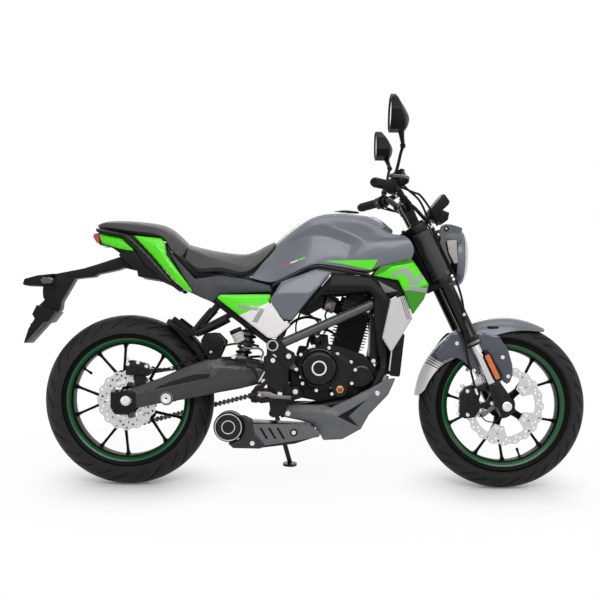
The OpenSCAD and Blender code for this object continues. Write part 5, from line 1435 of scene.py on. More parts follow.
def make_engine():
    s = Shape().cut(CASE, 16, -88, 66)
    s.cut([(x * 0.94 + 44, z * 0.94 + 24) for x, z in CASE], 14, 66, 74)
    for x, z, r in ((606, 337, 15), (588, 463, 15)):
        s.add(rod(r, -117.6, 117.6, 2, 28), 0, side_on(x, z))
    s.cut([(600, 470), (646, 470), (640, 506), (612, 508)], 8, -60, 40)
    s.cut([(690, 500), (716, 498), (718, 520), (692, 522)], 4, -84, -30)
    for k in range(5):
        s.cut([(632 + k * 44, 322 - 2 * k), (640 + k * 44, 322 - 2 * k), (646 + k * 44, 352), (630 + k * 44, 352)], 2,
              -91, -80)
    piece("crankcase_casting", "chassis", s, "engine", "crankcase", "engine_black", bevel=4, seg=3)

    s = Shape().cut(COVER, 12, -112, -88.3)
    s.cut([((x - 708) * 0.9 + 708, (z - 420) * 0.9 + 420) for x, z in COVER], 12, -117, -110)
    piece("clutch_cover_body", "chassis", s, "engine_gloss", "engine_covers", "engine_black", bevel=4, seg=3)
    s = Shape()
    s.lathe([(0, 108), (72, 108), (72, 121), (69, 125), (65, 126.5), (62, 125), (60, 127), (58, 133), (54, 136.5),
             (48, 138), (30, 139), (29, 137.6), (0, 137.6)], 72, 0, side_on(683, 429))
    s.lathe([(20.6, 137), (27, 137), (27.6, 138.4), (26.6, 139.8), (21.6, 140), (20.6, 138.8), (20.6, 137)], 64, 1,
            side_on(683, 429))
    s.lathe([(0, 137), (20.6, 137), (20.6, 138.2), (12, 139.2), (0, 139.6)], 48, 0, side_on(683, 429))
    for i in range(3):
        s.cut([(-8, -3), (8, -3), (8, 3), (-8, 3)], 2.6, -134, -122, 0,
              shift(683, 0, 429) @ turn(-(50 + i * 120), "Y") @ shift(61, 0, 0))
    s.lathe([(0, 88), (41, 88), (42, 90), (42, 106), (40, 110), (36, 112), (31, 113), (30, 110.6), (22, 110),
             (21, 112.4), (0, 112.8)], 56, 0, side_on(833, 401))
    s.lathe([(0, 88), (30, 88), (30, 110), (27, 114), (22, 116), (18.5, 116), (17.5, 113), (0, 113)], 48, 0,
            side_on(758, 354))
    s.lathe([(0, 112), (15.4, 112), (15.8, 116), (14.6, 119), (12, 120), (8.6, 120), (7.8, 117), (0, 117)], 6, 2,
            side_on(758, 354))
    piece("clutch_drum", "chassis", s, "engine_gloss polish brass", sharp=28)
    bolts_round(683, 429, -112, 80, 9, 24, 0.8)
    for x, z in ((797, 452), (812, 424), (800, 376), (730, 338), (620, 398), (748, 480)):
        bolt(x, z, -112, 0.8)
    bolts_round(833, 401, -106, 35.5, 6, 10, 0.7)

    # Left side: alternator and sprocket covers
    s = Shape()
    s.lathe([(0, 68.3), (72, 68.3), (72, 104), (68, 112), (60, 116), (52, 117.5), (50, 121), (46, 125), (38, 128.6),
             (20, 130), (0, 130)], 72, 0, shift(740, 0, 409) @ turn(-90, "X"))
    s.cut([(570, 373), (600, 357), (648, 363), (660, 423), (644, 461), (606, 465), (570, 447)], 14, 93, 108)
    for i in range(5):
        s.cut([(588, 386 + i * 14), (640, 380 + i * 14), (640, 385 + i * 14), (588, 391 + i * 14)], 2, 106, 111)
    s.cut([(660, 340), (820, 340), (856, 380), (850, 440), (800, 470), (690, 478), (664, 440)], 18, 68.3, 92)
    piece("left_covers", "chassis", s, "engine_gloss", bevel=3, seg=3, sharp=30)
    bolts_round(740, 409, 104, 76, 8, 12, 0.8)
    for x, z in ((580, 380), (650, 420), (610, 458), (838, 376), (838, 440), (672, 350)):
        bolt(x, z, 108 if x < 655 else 92, 0.8)

    # Cylinder with thin fins, head and cam cover
    at = shift(780, 0, 498) @ turn(16, "Y")
    s = Shape().add(block((-49, -53, 0), (49, 53, 131)), 0, at)
    for i in range(11):
        z = 10 + i * 10.6
        k = 0.94 if i in (0, 10) else 1.0
        s.add(plate([rounded([(-63 * k, -71 * k), (63 * k, -71 * k), (63 * k, 71 * k), (-63 * k, 71 * k)], 15)], z,
                    z + 2.8), 0, at)
    s.add(plate([rounded([(-61, -64), (61, -64), (61, 64), (-61, 64)], 12)], 131, 176), 0, at)
    for i in range(3):
        s.add(plate([rounded([(-64, -67), (64, -67), (64, 67), (-64, 67)], 12)], 140 + i * 11, 142.6 + i * 11), 1, at)
    s.add(plate([rounded([(-50, -54), (50, -54), (50, 54), (-50, 54)], 14)], 176, 200), 0, at)
    s.add(plate([rounded([(-34, -46), (34, -46), (34, 46), (-34, 46)], 12)], 198, 204.5), 0, at)
    s.add(rod(25, 46, 70, 2, 32), 0, at @ shift(0, 0, 154) @ turn(90, "Y"))
    s.add(rod(22, 46, 66, 2, 32), 0, at @ shift(0, 0, 158) @ turn(-90, "Y"))
    s.lathe([(0, 52), (13, 52), (13, 60), (9, 63), (8, 88), (6, 92), (0, 92)], 20, 2,
            at @ shift(-6, 0, 158) @ turn(90, "X"))
    piece("cylinder_fins", "chassis", s, "engine engine_edge rubber", "cylinder_block", "engine_black", bevel=0.8,
          seg=1)
    for x in (-40, 40):
        for y in (-44, 44):
            p = at @ Vector((x, y, 200))
            bolt(p.x, p.z, p.y, 1.0, at.to_3x3() @ Vector((0, 0, 1)))

    # Throttle body, intake boot and air box behind the cylinder
    s = Shape()
    s.add(tube([(772, 0, 640), (738, 0, 655), (700, 0, 672), (668, 0, 690)], [27, 24, 26, 30], 24, 6))
    s.add(rod(31, -22, 22, 3, 32), 1, along((724, 0, 661), (700, 0, 672)))
    s.cut([(700, 640), (736, 632), (744, 664), (708, 676)], 6, -46, -22, 1)
    s.add(rod(15, -62, -44, 2, 24), 1, side_on(716, 652) @ Matrix.Scale(-1, 4, (0, 0, 1)))
    s.cut([(560, 700), (690, 730), (700, 650), (640, 616), (576, 640)], 14, -70, 70, 2)
    piece("intake", "chassis", s, "rubber dark_steel black", bevel=2)

    # Starter motor on the crankcase and the plates that hang the cylinder from the frame
    s = Shape()
    s.lathe([(0, -58), (17, -58), (25, -54), (26, -50), (26, 52), (24, 57), (14, 58), (12, 64), (0, 64)], 40, 0,
            side_on(676, 528))
    s.lathe([(0, 62), (7, 62), (7, 74), (0, 74)], 20, 1, side_on(676, 544))
    s.cut([(690, 500), (720, 505), (716, 548), (692, 552)], 6, -40, 40)
    for pts, r in (([(676, -72, 545), (690, -86, 572), (672, -88, 600), (640, -80, 622)], 4),
                   ([(700, -60, 552), (716, -76, 580), (704, -80, 616), (716, -70, 640)], 3.4),
                   ([(640, -92, 500), (652, -100, 540), (690, -98, 566), (730, -90, 556), (756, -84, 524)], 5)):
        s.add(tube(pts, r, 14, 6), 2)
    piece("starter", "chassis", s, "engine_gloss zinc rubber", bevel=1.6)
    hanger = rounded([(838, 648), (884, 652), (898, 600), (900, 520), (892, 452), (872, 440), (862, 470), (874, 540),
                      (866, 600)], 8)
    s = Shape().add(slab(hanger, 74, 82), both=True)
    s.cut([(866, 470), (884, 468), (888, 600), (872, 606)], 5, -74, 74)
    piece("engine_hanger", "chassis", s, "satin", bevel=1.6)
    for x, z in ((856, 636), (882, 620), (878, 456)):
        bolt_pair(x, z, 82.2, 1.0)


def poly_scale(poly, k):
    cx, cz = sum(p[0] for p in poly) / len(poly), sum(p[1] for p in poly) / len(poly)
    return [(cx + (x - cx) * k, cz + (z - cz) * k) for x, z in poly]


def make_exhaust():
    line = [(892, 0, 626), (911, 0, 619), (921, 0, 591), (916, -1, 543), (914, -4, 473), (914, -10, 411),
            (906, -16, 360), (862, -26, 312), (800, -36, 258), (730, -44, 213), (678, -46, 204)]
    s = Shape().add(tube(line, 17.6, 24, 6))
    s.lathe([(0, -4), (32, -4), (33, -2), (33, 4), (31, 6), (20, 6), (19, 12), (0, 12)], 32, 1,
            along(line[0], line[1]))
    s.add(pipe(20.5, 16, -9, 9, 1.5, 28), 1, along(line[9], line[10]))
    piece("header_pipe", "chassis", s, "pipe dark_steel", "exhaust_header", "exhaust_steel", 35)
    box = [(394, 238), (408, 159), (480, 147), (600, 163), (674, 187), (672, 219), (640, 227)]
    s = Shape().cut(box, 12, -149, 39)
    s.lathe([(0, 40), (40, 40), (49, 42), (52, 47), (52, 168), (51, 176), (47, 181.4), (43.5, 182), (42, 179),
             (41, 170), (27, 169), (26, 177), (24.6, 178), (21, 178), (20, 176), (20, 150), (0, 150)], 72, 0,
             side_on(367, 220))
    for h in (58, 150):
        s.add(pipe(53, 51, h, h + 10, 0.8, 72), 1, side_on(367, 220))
    s.add(pipe(47.5, 44, 180.4, 183, 0.8, 72), 2, side_on(367, 220))
    s.add(pipe(24.6, 20.4, 176.4, 179.4, 0.8, 48), 2, side_on(367, 220))
    piece("silencer_shell", "chassis", s, "can satin steel", "silencer", "exhaust_black", bevel=3, seg=3, sharp=30)
    can_cover = [(398, 262), (424, 262), (450, 250), (462, 200), (500, 158), (478, 145), (384, 146), (366, 162),
                 (372, 168), (404, 178), (420, 210), (416, 240)]
    flat_panel("can_cover", can_cover, 161, "can_cover", thick=10, edge=3, step=8, round_by=6, dome=3, both=False,
               right=True)
    bolt(451, 164, -164, 1.1)
    shield = [(432, 231), (458, 153), (510, 159), (686, 189), (688, 203), (652, 233)]
    loops = [resample(rounded(shield, 7), 10)]
    for i in range(3):
        x = 474 + i * 30
        loops.append(rounded([(x, 219), (x + 24, 180), (x + 33, 180), (x + 9, 219)], 3.5, 3))
    s = Shape().add(plate(loops, 154, 160), 0, Matrix.Rotation(math.pi / 2, 4, "X"))
    s.cut(poly_scale(shield, 0.93), 6, -154, -150.3, 1)
    s.add(pipe(13, 7, 158, 162.4, 1, 32), 1, side_on(596, 203))
    piece("heat_guard", "chassis", s, "pan inner", "heat_shield", "grey_plastic", bevel=1.6, seg=2)
    bolt(596, 203, -160.4, 1.15)

    pan = [(557, 274), (566, 291), (578, 300), (706, 300), (724, 291), (792, 323), (894, 377), (918, 393), (954, 398),
           (928, 339), (861, 267), (833, 216), (768, 179), (701, 174), (683, 208), (659, 232), (618, 244), (557, 256)]
    ctrl = [(557, 272, 130), (566, 291, 127), (578, 300, 125), (706, 300, 128), (724, 291, 137), (792, 323, 140),
            (894, 377, 139), (918, 393, 137), (954, 398, 133), (928, 339, 137), (861, 267, 133), (833, 216, 127),
            (768, 179, 116), (701, 174, 116), (683, 208, 126), (659, 232, 132), (618, 244, 132), (557, 256, 130),
            (690, 275, 143), (600, 280, 138), (760, 262, 148), (850, 322, 148)]
    facets = [(1, 2, 3, 18, 19), (0, 1, 19), (3, 4, 18), (4, 5, 21, 20), (4, 20, 18), (5, 6, 21), (6, 7, 8, 9, 21),
              (21, 9, 10), (20, 21, 10, 11), (20, 11, 12), (20, 12, 13), (20, 13, 14), (20, 14, 15), (20, 15, 16),
              (18, 20, 16), (19, 18, 16), (0, 19, 16, 17)]
    arrow = [(750, 260), (850, 320), (789, 260), (829, 221)]
    panel("belly_panel", pan, ctrl, facets, "pan inner", "belly_pan", "grey_plastic", 18, round_by=5,
          inks=[(arrow, 1)], dents=[(poly_scale(arrow, 0.9), 9)], step=7)
    s = Shape().cut([(701, 174), (701, 179), (766, 185), (829, 220), (857, 270), (924, 341), (930, 339), (861, 266),
                     (834, 215), (768, 178)], 1.5, -116, 116)
    piece("belly_floor", "chassis", s, "pan", bevel=1.5)
    for x, z, y in ((575, 268, 135), (888, 343, 141)):
        bolt_pair(x, z, y, 1.2)


# Front end, all of it turning with the bars

TUBE_U, TUBE_Y = -8.0, 98.0
RISE, TIP = Vector((-26, 180, 862)), Vector((-110, 360, 894))
BAR = (TIP - RISE).normalized()
AHEAD = (Vector((1, 0, 0)) - BAR * BAR.x).normalized()
OVER = BAR.cross(AHEAD)
BAR_END = (TIP - RISE).length


def on_bar(t, ahead=0.0, up=0.0):
    """A point in millimetres along the left bar end, moved forward and up from its middle."""
    return FORK @ (RISE + BAR * t + AHEAD * ahead - OVER * up)


def bar_frame(t, ahead=0.0, up=0.0):
    """Local x, y and z run forward, up and out along the left bar end."""
    m = Matrix((AHEAD, -OVER, BAR)).transposed().to_4x4()
    m.translation = RISE + BAR * t + AHEAD * ahead - OVER * up
    return FORK @ m


def leg(w):
    return FORK @ shift(TUBE_U, TUBE_Y, w)


def sheet(grid, thick):
    """A shell over a grid of points, thickened inward; rows run across and columns along."""
    g = np.array(grid, float)
    du, dv = np.gradient(g, axis=0), np.gradient(g, axis=1)
    nrm = np.cross(du, dv)
    nrm /= np.maximum(np.linalg.norm(nrm, axis=2, keepdims=True), 1e-9)
    r, c = g.shape[:2]
    pts = [tuple(p) for p in g.reshape(-1, 3)] + [tuple(p) for p in (g - nrm * thick).reshape(-1, 3)]
    top = grid_faces(r, c)
    m = r * c
    faces = top + [tuple(i + m for i in q[::-1]) for q in top]
    edge = [(i * c, (i + 1) * c) for i in range(r - 1)] + [(i * c + c - 1, (i + 1) * c + c - 1) for i in range(r - 1)]
    edge += [(j, j + 1) for j in range(c - 1)] + [((r - 1) * c + j, (r - 1) * c + j + 1) for j in range(c - 1)]
    faces += [(a, b, b + m, a + m) for a, b in edge]
    return pts, faces


def make_fork():
    s = Shape()
    s.lathe([(18.8, 248), (20, 245), (26, 244), (28.6, 247), (28.6, 262), (27.4, 264), (26, 264.6), (26, 268),
             (28, 269), (28, 275), (26, 277), (25, 279), (25, 479), (18.8, 479), (18.8, 248)], 48, 0, leg(0), True)
    s.lathe([(26, 511), (35, 511), (36, 513), (36, 530), (35.2, 531), (35.2, 534), (36, 535), (36, 664), (35.2, 665),
             (35.2, 668), (36, 669), (36, 685), (34, 688), (26, 688), (26, 511)], 48, 1, leg(0), True)
    s.lathe([(0, 716), (25, 716), (25, 725), (23, 727.4), (18, 728), (17, 726), (12, 726), (11, 731), (0, 731.6)], 32,
            2, leg(0), True)
    for w in (252, 256.6):
        s.add(pipe(29, 28, w, w + 1.6, 0.4, 48), 3, leg(0), True)
    piece("fork_outer", "steering", s, "gloss fork_cover black steel", "fork_tubes", "fork_black", 30)
    s = Shape()
    s.lathe([(0, 40), (18.4, 40), (18.4, 248), (0, 248)], 40, 0, leg(0), True)
    s.lathe([(0, -10), (22, -10), (23.5, -6), (24.4, 30), (24.4, 84), (23, 92), (21, 96), (18.4, 97), (0, 97)], 40, 1,
            leg(0), True)
    foot = rounded([(-33, -29), (22, -29), (24, -20), (26, 30), (20, 66), (14, 96), (-26, 96), (-34, 60)], 5)
    s.add(slab(foot, 78, 119), 1, FORK, True)
    s.cut([(2, 92), (24, 92), (30, 108), (30, 190), (22, 214), (12, 216), (9, 190)], 5, 92, 118, 1, FORK, True)
    piece("fork_lower", "steering", s, "chrome satin", "fork_legs", "chrome", 30, bevel=1.6)
    # Amber reflectors beside the legs
    s = Shape()
    oval = rounded([(-9, -50), (9, -50), (9, 50), (-9, 50)], 7)
    m = FORK @ shift(13, 0, 149) @ turn(90, "X")
    s.add(plate([oval], 118, 122), 1, m, True)
    s.add(plate([poly_scale(oval, 0.94)], 121, 125), 0, m, True)
    for i in range(-4, 5):
        s.add(plate([rounded([(-6.6, i * 10 - 3.8), (6.6, i * 10 - 3.8), (6.6, i * 10 + 3.8), (-6.6, i * 10 + 3.8)],
                             1)], 124.6, 125.6), 0, m, True)
    piece("fork_reflectors", "steering", s, "amber black", sharp=30, bevel=0.8)
    # Clamps, stem, risers
    half = [(-68, 26), (-34, 124), (-24, 131), (-8, 133), (8, 131), (18, 124), (22, 92), (20, 44)]
    outline = rounded(half + [(u, -y) for u, y in reversed(half)], 10)
    s = Shape()
    for w, h in ((480, 30), (690, 27)):
        s.add(plate([outline, ring_of(25.2, 36, TUBE_U, TUBE_Y), ring_of(25.2, 36, TUBE_U, -TUBE_Y)], w, w + h), 0,
              FORK)
    s.add(rod(21, 716, 727, 2, 6), 1, FORK @ shift(-38, 0, 0))
    s.add(rod(14, 500, 700, 1, 32), 0, FORK @ shift(-38, 0, 0))
    s.cut([(-24, 716), (8, 716), (10, 774), (13, 778), (13, 806), (6, 811), (-22, 811), (-29, 806), (-29, 778),
           (-26, 774)], 4, 28, 56, 0, FORK, True)
    s.cut([(-30, 789), (14, 789), (14, 791.4), (-30, 791.4)], 1, 27.4, 56.6, 2, FORK, True)
    for w in (488, 502):
        s.add(rod(6.4, 18, 27, 1, 24), 1, FORK @ shift(0, 112, w) @ turn(90, "Y"), True)
    piece("steering_clamps", "steering", s, "satin zinc inner", "triple_clamps", "fork_black", 30, bevel=2.4, seg=2)
    # Axle with nuts
    s = Shape()
    for side in (1, -1):
        m = shift(BASE, 0, FRONT_R) @ turn(-90 * side, "X")
        s.lathe([(0, 60), (8, 60), (8, 119), (16, 119.4), (17, 121), (17, 123), (14.6, 124), (14.4, 130),
                 (12.6, 131.6), (7.4, 131.6), (7, 127), (0, 127)], 36, 0, m)
    piece("front_spindle", "steering", s, "zinc", "front_axle", "steel", 30)


def make_bars():
    path = [RISE + BAR * BAR_END, RISE + BAR * 90, RISE + BAR * 24, RISE - Vector((0, 8, 6)), Vector((-18, 132, 828)),
            Vector((-10, 92, 795)), Vector((-8, 70, 790)), Vector((-8, 40, 790)), Vector((-8, 0, 790))]
    path += [Vector((p.x, -p.y, p.z)) for p in reversed(path[:-1])]
    s = Shape().add(tube([FORK @ p for p in path], 11, 20, 6))
    s.add(tube([FORK @ Vector((-15, y, 822 - abs(y) * 0.02)) for y in (-126, -60, 0, 60, 126)], 6.5, 16, 3))
    for side in (1, -1):
        s.add(pipe(15, 10.6, -7, 7, 2, 28), 0, FORK @ along((-16.6, side * 122, 820), (-19, side * 134, 832)))
    piece("bar", "steering", s, "satin", "handlebar", "fork_black", 35)

    ribs = [(11.2, -130), (20.6, -130), (21, -128), (21, -125), (19, -123.4), (16.4, -122)]
    for i in range(22):
        t = -120 + i * 5.2
        ribs += [(16.2, t), (16.9, t + 1), (16.9, t + 3.2), (16.2, t + 4.2)]
    ribs += [(17.4, -4), (17.4, -1), (15, 0.2), (11.2, 0.2), (11.2, -130)]
    s = Shape().lathe(ribs, 40, 0, bar_frame(BAR_END), True)
    s.lathe([(0, 0.5), (14.4, 0.5), (15.4, 2), (15.4, 5), (14.4, 6), (14.4, 8), (15.4, 9), (15.4, 14), (13.6, 16.4),
             (5, 16.6), (4.4, 14), (0, 14)], 36, 1, bar_frame(BAR_END), True)
    piece("grip_sleeves", "steering", s, "rubber black", "grips", "black_rubber", 30)

    # Switch housings, lever perches and levers
    s = Shape()
    m = bar_frame(0)
    shell = rounded([(-21, -22), (14, -24), (23, -12), (23, 14), (12, 23), (-14, 22), (-23, 10)], 7)
    s.add(plate([shell], 38, 54.6), 0, m, True)
    s.add(plate([poly_scale(shell, 0.98)], 55.4, 70), 0, m, True)
    for x, y, mat in ((-22, 6, 1), (-22, -8, 2)):
        s.add(plate([rounded([(x - 4, y - 5), (x + 4, y - 5), (x + 4, y + 5), (x - 4, y + 5)], 2)], 42, 51), mat, m,
              True)
    s.add(rod(5, 18, 27, 1.4, 20), 2, m @ shift(0, 2, 60) @ turn(-90, "Y"), True)
    s.add(pipe(17.5, 11.2, 14, 32, 2, 32), 0, m, True)
    s.cut([(12, -9), (46, -10), (54, -2), (52, 9), (12, 10)], 4, 12, 34, 0,
          m @ Matrix(((1, 0, 0, 0), (0, 0, 1, 0), (0, 1, 0, 0), (0, 0, 0, 1))), True)
    lever = [on_bar(22, 40, -4), on_bar(34, 52, -5), on_bar(60, 66, -7), on_bar(100, 69, -8), on_bar(150, 66, -9),
             on_bar(196, 60, -10), on_bar(207, 60, -10)]
    s.add(tube(lever, [9, 8.6, 7, 6, 5.6, 5.4, 5.2], 16, 6, 0.62), 3, both=True)
    s.lathe([(0, -8), (5, -6.4), (7.6, -3), (8, 0), (7.6, 3), (5, 6.4), (0, 8)], 24, 3, shift(*lever[-1]), True)
    s.add(rod(6, -9, 9, 1, 6), 4, m @ shift(44, 0, 22) @ turn(90, "X"), True)
    piece("controls", "steering", s, "black ink trim lever zinc", "hand_controls", "black_plastic", 32, bevel=1.2)
    # Brake master cylinder on the right and clutch adjuster on the left
    s = Shape()
    flip = Matrix.Scale(-1, 4, (0, 1, 0))
    m = flip @ bar_frame(0)
    s.add(rod(10, -26, 34, 2, 28), 0, m @ shift(30, 8, 14) @ turn(12, "X"))
    s.add(plate([rounded([(-17, -15), (17, -15), (17, 15), (-17, 15)], 6)], 0, 24), 1,
          m @ shift(30, 16, 6) @ turn(-90, "X"))
    s.add(plate([rounded([(-19, -17), (19, -17), (19, 17), (-19, 17)], 6)], 24, 30), 0,
          m @ shift(30, 16, 6) @ turn(-90, "X"))
    s.add(rod(8, 0, 12, 1.4, 24), 2, bar_frame(8, 40, -2) @ turn(180, "X"))
    s.add(rod(4.6, 10, 26, 1, 20), 2, bar_frame(8, 40, -2) @ turn(180, "X"))
    piece("master_cylinder", "steering", s, "black satin steel", sharp=32, bevel=1.4)


def make_mirrors():
    s = Shape()
    base = FORK @ (RISE + BAR * 26 + Vector((0, 0, 18)))
    joint, neck = Vector((957, 262, 1196)), Vector((946, 304, 1244))
    s.lathe([(0, -2), (9, -2), (9, 10), (8, 12), (11, 14), (11, 26), (7, 34), (0, 34)], 24, 0, along(base, joint),
            True)
    s.add(tube([base, base.lerp(joint, 0.4) + Vector((2, 0, 0)), base.lerp(joint, 0.8), joint, joint.lerp(neck, 0.6),
                neck], [6, 5.6, 5.4, 6, 9, 13], 18, 5), both=True)
    s.lathe([(0, -6), (9.4, -6), (9.4, 4), (8, 6), (0, 6)], 24, 0, along(joint, neck), True)
    out = rounded([(254, 1272), (266, 1246), (300, 1232), (346, 1238), (386, 1262), (400, 1296), (388, 1338),
                   (362, 1352), (306, 1346), (266, 1318)], 14)
    deep = ((1228, 30), (1240, 46), (1256, 52), (1278, 55), (1310, 38), (1340, 16), (1356, 8))
    mesh, _ = skin(out, lambda p: np.interp(p[1], *zip(*deep)) * (1 - 0.5 * ((p[0] - 316) / 84) ** 2) + 4, 60, 4, 7,
                   soften=3, dome=3)
    mesh = ([(x, max(y, -2.0), z) for x, y, z in mesh[0]], mesh[1])
    s.add(mesh, 0, Matrix(((0, 1, 0, 912), (1, 0, 0, 0), (0, 0, 1, 0), (0, 0, 0, 1))), True)
    pane = Matrix(((0, 0, 1, 908), (1, 0, 0, 0), (0, 1, 0, 0), (0, 0, 0, 1)))
    s.add(plate([poly_scale(out, 1.0), poly_scale(out, 0.93)], -3, 6), 0, pane, True)
    s.add(plate([poly_scale(out, 0.94)], 0.5, 5), 1, pane, True)
    # Wires from the switches to the lamp and the cable loops in front of the bars
    w = Shape()
    for t, ahead, up, via, end, r in ((70, 6, -16, (1010, 128, 1000), (1096, 40, 930), 3.6),
                                      (84, -4, -16, (1000, 120, 1010), (1090, 28, 920), 3.0),
                                      (52, 16, -6, (1034, 140, 1040), (1104, 52, 946), 4.0)):
        start = on_bar(t, ahead, up)
        way = Vector(via)
        w.add(tube([start, start.lerp(way, 0.5) + Vector((14, 6, -6)), way,
                    way.lerp(Vector(end), 0.5) + Vector((10, 10, -6)), Vector(end)], r, 14, 6), both=True)
    piece("bar_wires", "steering", w, "rubber")
    piece("mirror_set", "steering", s, "black mirror", "mirrors", "black_plastic", 34)


def face_frame(x, z, rise):
    """Local x to the left, y up the face and z out of a face that leans toward the rider."""
    a = math.radians(rise)
    m = Matrix(((0, math.cos(a), -math.sin(a), x), (1, 0, 0, 0), (0, math.sin(a), math.cos(a), z), (0, 0, 0, 1)))
    return m


def make_dash():
    s = Shape()
    s.cut([(1071, 994), (1121, 1056), (1128, 1055), (1146, 1031), (1142, 1019), (1100, 978), (1082, 980)], 4, -71, 71)
    s.cut([(1086, 1000), (1120, 1003), (1148, 992), (1143, 966), (1128, 956), (1096, 964), (1080, 976)], 6, -50, 50)
    s.cut([(1062, 962), (1080, 990), (1090, 984), (1074, 950), (1040, 930), (1034, 938)], 4, -22, 22)
    m = face_frame(1071, 994, 51)
    frame_ = rounded([(-71, 2), (71, 2), (71, 78), (-71, 78)], 9)
    s.add(plate([frame_, rounded([(-63, 10), (63, 10), (63, 71), (-63, 71)], 6)], -1, 4), 1, m)
    s.add(plate([rounded([(-64, 9), (64, 9), (64, 72), (-64, 72)], 6)], -1, 1.6), 2, m)
    s.add(plate([ring_of(24, 40, 26, 40), ring_of(21.6, 40, 26, 40)], 1.4, 2.4), 3, m)
    for i in range(7):
        a = math.radians(220 - i * 43)
        s.add(plate([rounded([(-0.8, -3), (0.8, -3), (0.8, 3), (-0.8, 3)], 0.4, 1)], 1.4, 2.4), 3,
              m @ shift(26 + 17 * math.cos(a), 40 + 17 * math.sin(a), 0) @ Matrix.Rotation(a - math.pi / 2, 4, "Z"))
    for i in range(5):
        s.add(plate([rounded([(-54, 18 + i * 10), (-12 - 5 * i, 18 + i * 10), (-12 - 5 * i, 23 + i * 10),
                              (-54, 23 + i * 10)], 1)], 1.4, 2.2), 3, m)
    for x in (-40, -14, 14, 40):
        s.add(rod(3, 0, 4.6, 1, 16), 3, m @ shift(x, 74.5, 0))
    piece("dash_pod", "steering", s, "black bezel_grey screen trim", "dash", "black_plastic", 30, bevel=1.2)


def make_lamp():
    cx, cz = 1174.0, 834.0
    face = shift(cx, 0, cz) @ turn(90, "Y")
    s = Shape()
    s.lathe([(0, -54), (44, -54), (62, -48), (80, -30), (92, -8), (94, 2), (94, 6), (0, 6)], 64, 0, face)
    for y in (98, -98):
        s.cut([(1132, 888), (1168, 890), (1173, 808), (1160, 806), (1140, 846)], 5, y - 2 if y > 0 else y - 3,
              y + 3 if y > 0 else y + 2, 1)
    piece("lamp_bowl", "steering", s, "black pale", "headlamp", "black_plastic", 30, bevel=1.4)
    s = Shape()
    s.lathe([(93, -2), (99, -2), (101.4, 0), (102, 5), (101.6, 16), (99.4, 21.6), (96, 24.4), (93.6, 24), (92.6, 20),
             (92.6, 0), (93, -2)], 96, 0, face)
    s.lathe([(90.6, 12), (93.6, 12), (94.4, 25.4), (93.4, 27), (91.4, 27), (90.6, 25), (90.6, 12)], 96, 2, face)
    hood = [(1128, 945), (1146, 944), (1176, 936), (1188, 930), (1181, 912), (1139, 913), (1131, 900), (1127, 878),
            (1135, 842), (1150, 808), (1141, 802), (1127, 824), (1109, 866), (1111, 894), (1105, 911), (1107, 929),
            (1113, 940)]
    s.add(plate([resample(rounded(hood, 5), 8), ring_of(8.4, 28, 1130, 928)], 101, 107), 1, turn(90, "X"), True)
    roof = []
    for i in range(9):
        t = i / 8
        x = 1128 + 62 * t
        r = 111 - 5 * t - 4 * t * t
        roof.append([(x, r * math.sin(math.radians(a)), cz + r * math.cos(math.radians(a))) for a in range(-64, 65,
                8)])
    s.add(sheet(roof, 4), 1)
    s.add(pipe(9.6, 4.6, 100, 109, 1.4, 28), 2, side_on(1130, 928), True)
    piece("lamp_ring", "steering", s, "tank lamp_arm rubber", sharp=34, bevel=1.2)
    # Reflector, light units and the clear cover
    s = Shape()
    s.lathe([(0, 2), (30, 3), (60, 9), (84, 22), (89, 27), (89, 24), (84, 18), (60, 5), (30, -1), (0, -2)], 64, 0,
            face)
    s.lathe([(80, 22), (88, 22), (88.4, 24), (88, 26), (80, 26), (79.6, 24), (80, 22)], 80, 1, face)
    for dz in (26, -28):
        s.lathe([(0, 2), (26, 2), (30, 8), (31, 20), (29, 23), (26, 23), (23, 17), (12, 11), (0, 9)], 40, 0,
                face @ shift(-dz, 0, 0))
        s.lathe([(0, 9), (12, 9), (15, 12), (12, 18), (7, 21.6), (0, 23)], 32, 1, face @ shift(-dz, 0, 0))
    s.add(block((cx + 8, -64, cz - 3), (cx + 24, 64, cz + 1)), 2)
    piece("lamp_optics", "steering", s, "reflector glow black", sharp=30)
    s = Shape().lathe([(0, 46), (30, 45.2), (58, 42.4), (76, 38), (86, 32.6), (90.4, 26), (91, 18), (88, 18),
                       (87, 25), (83, 30.6), (74, 35), (57, 39.4), (30, 42), (0, 42.8)], 80, 0, face)
    piece("lamp_cover", "steering", s, "clear", "headlamp_lens", "clear_lens", 30)


SKIRT = [(61.5, 305), (66, 294), (72, 285), (84, 270), (92, 260), (102, 250), (118, 241), (137, 245), (148, 268),
         (160, 281), (170, 291), (174, 308)]


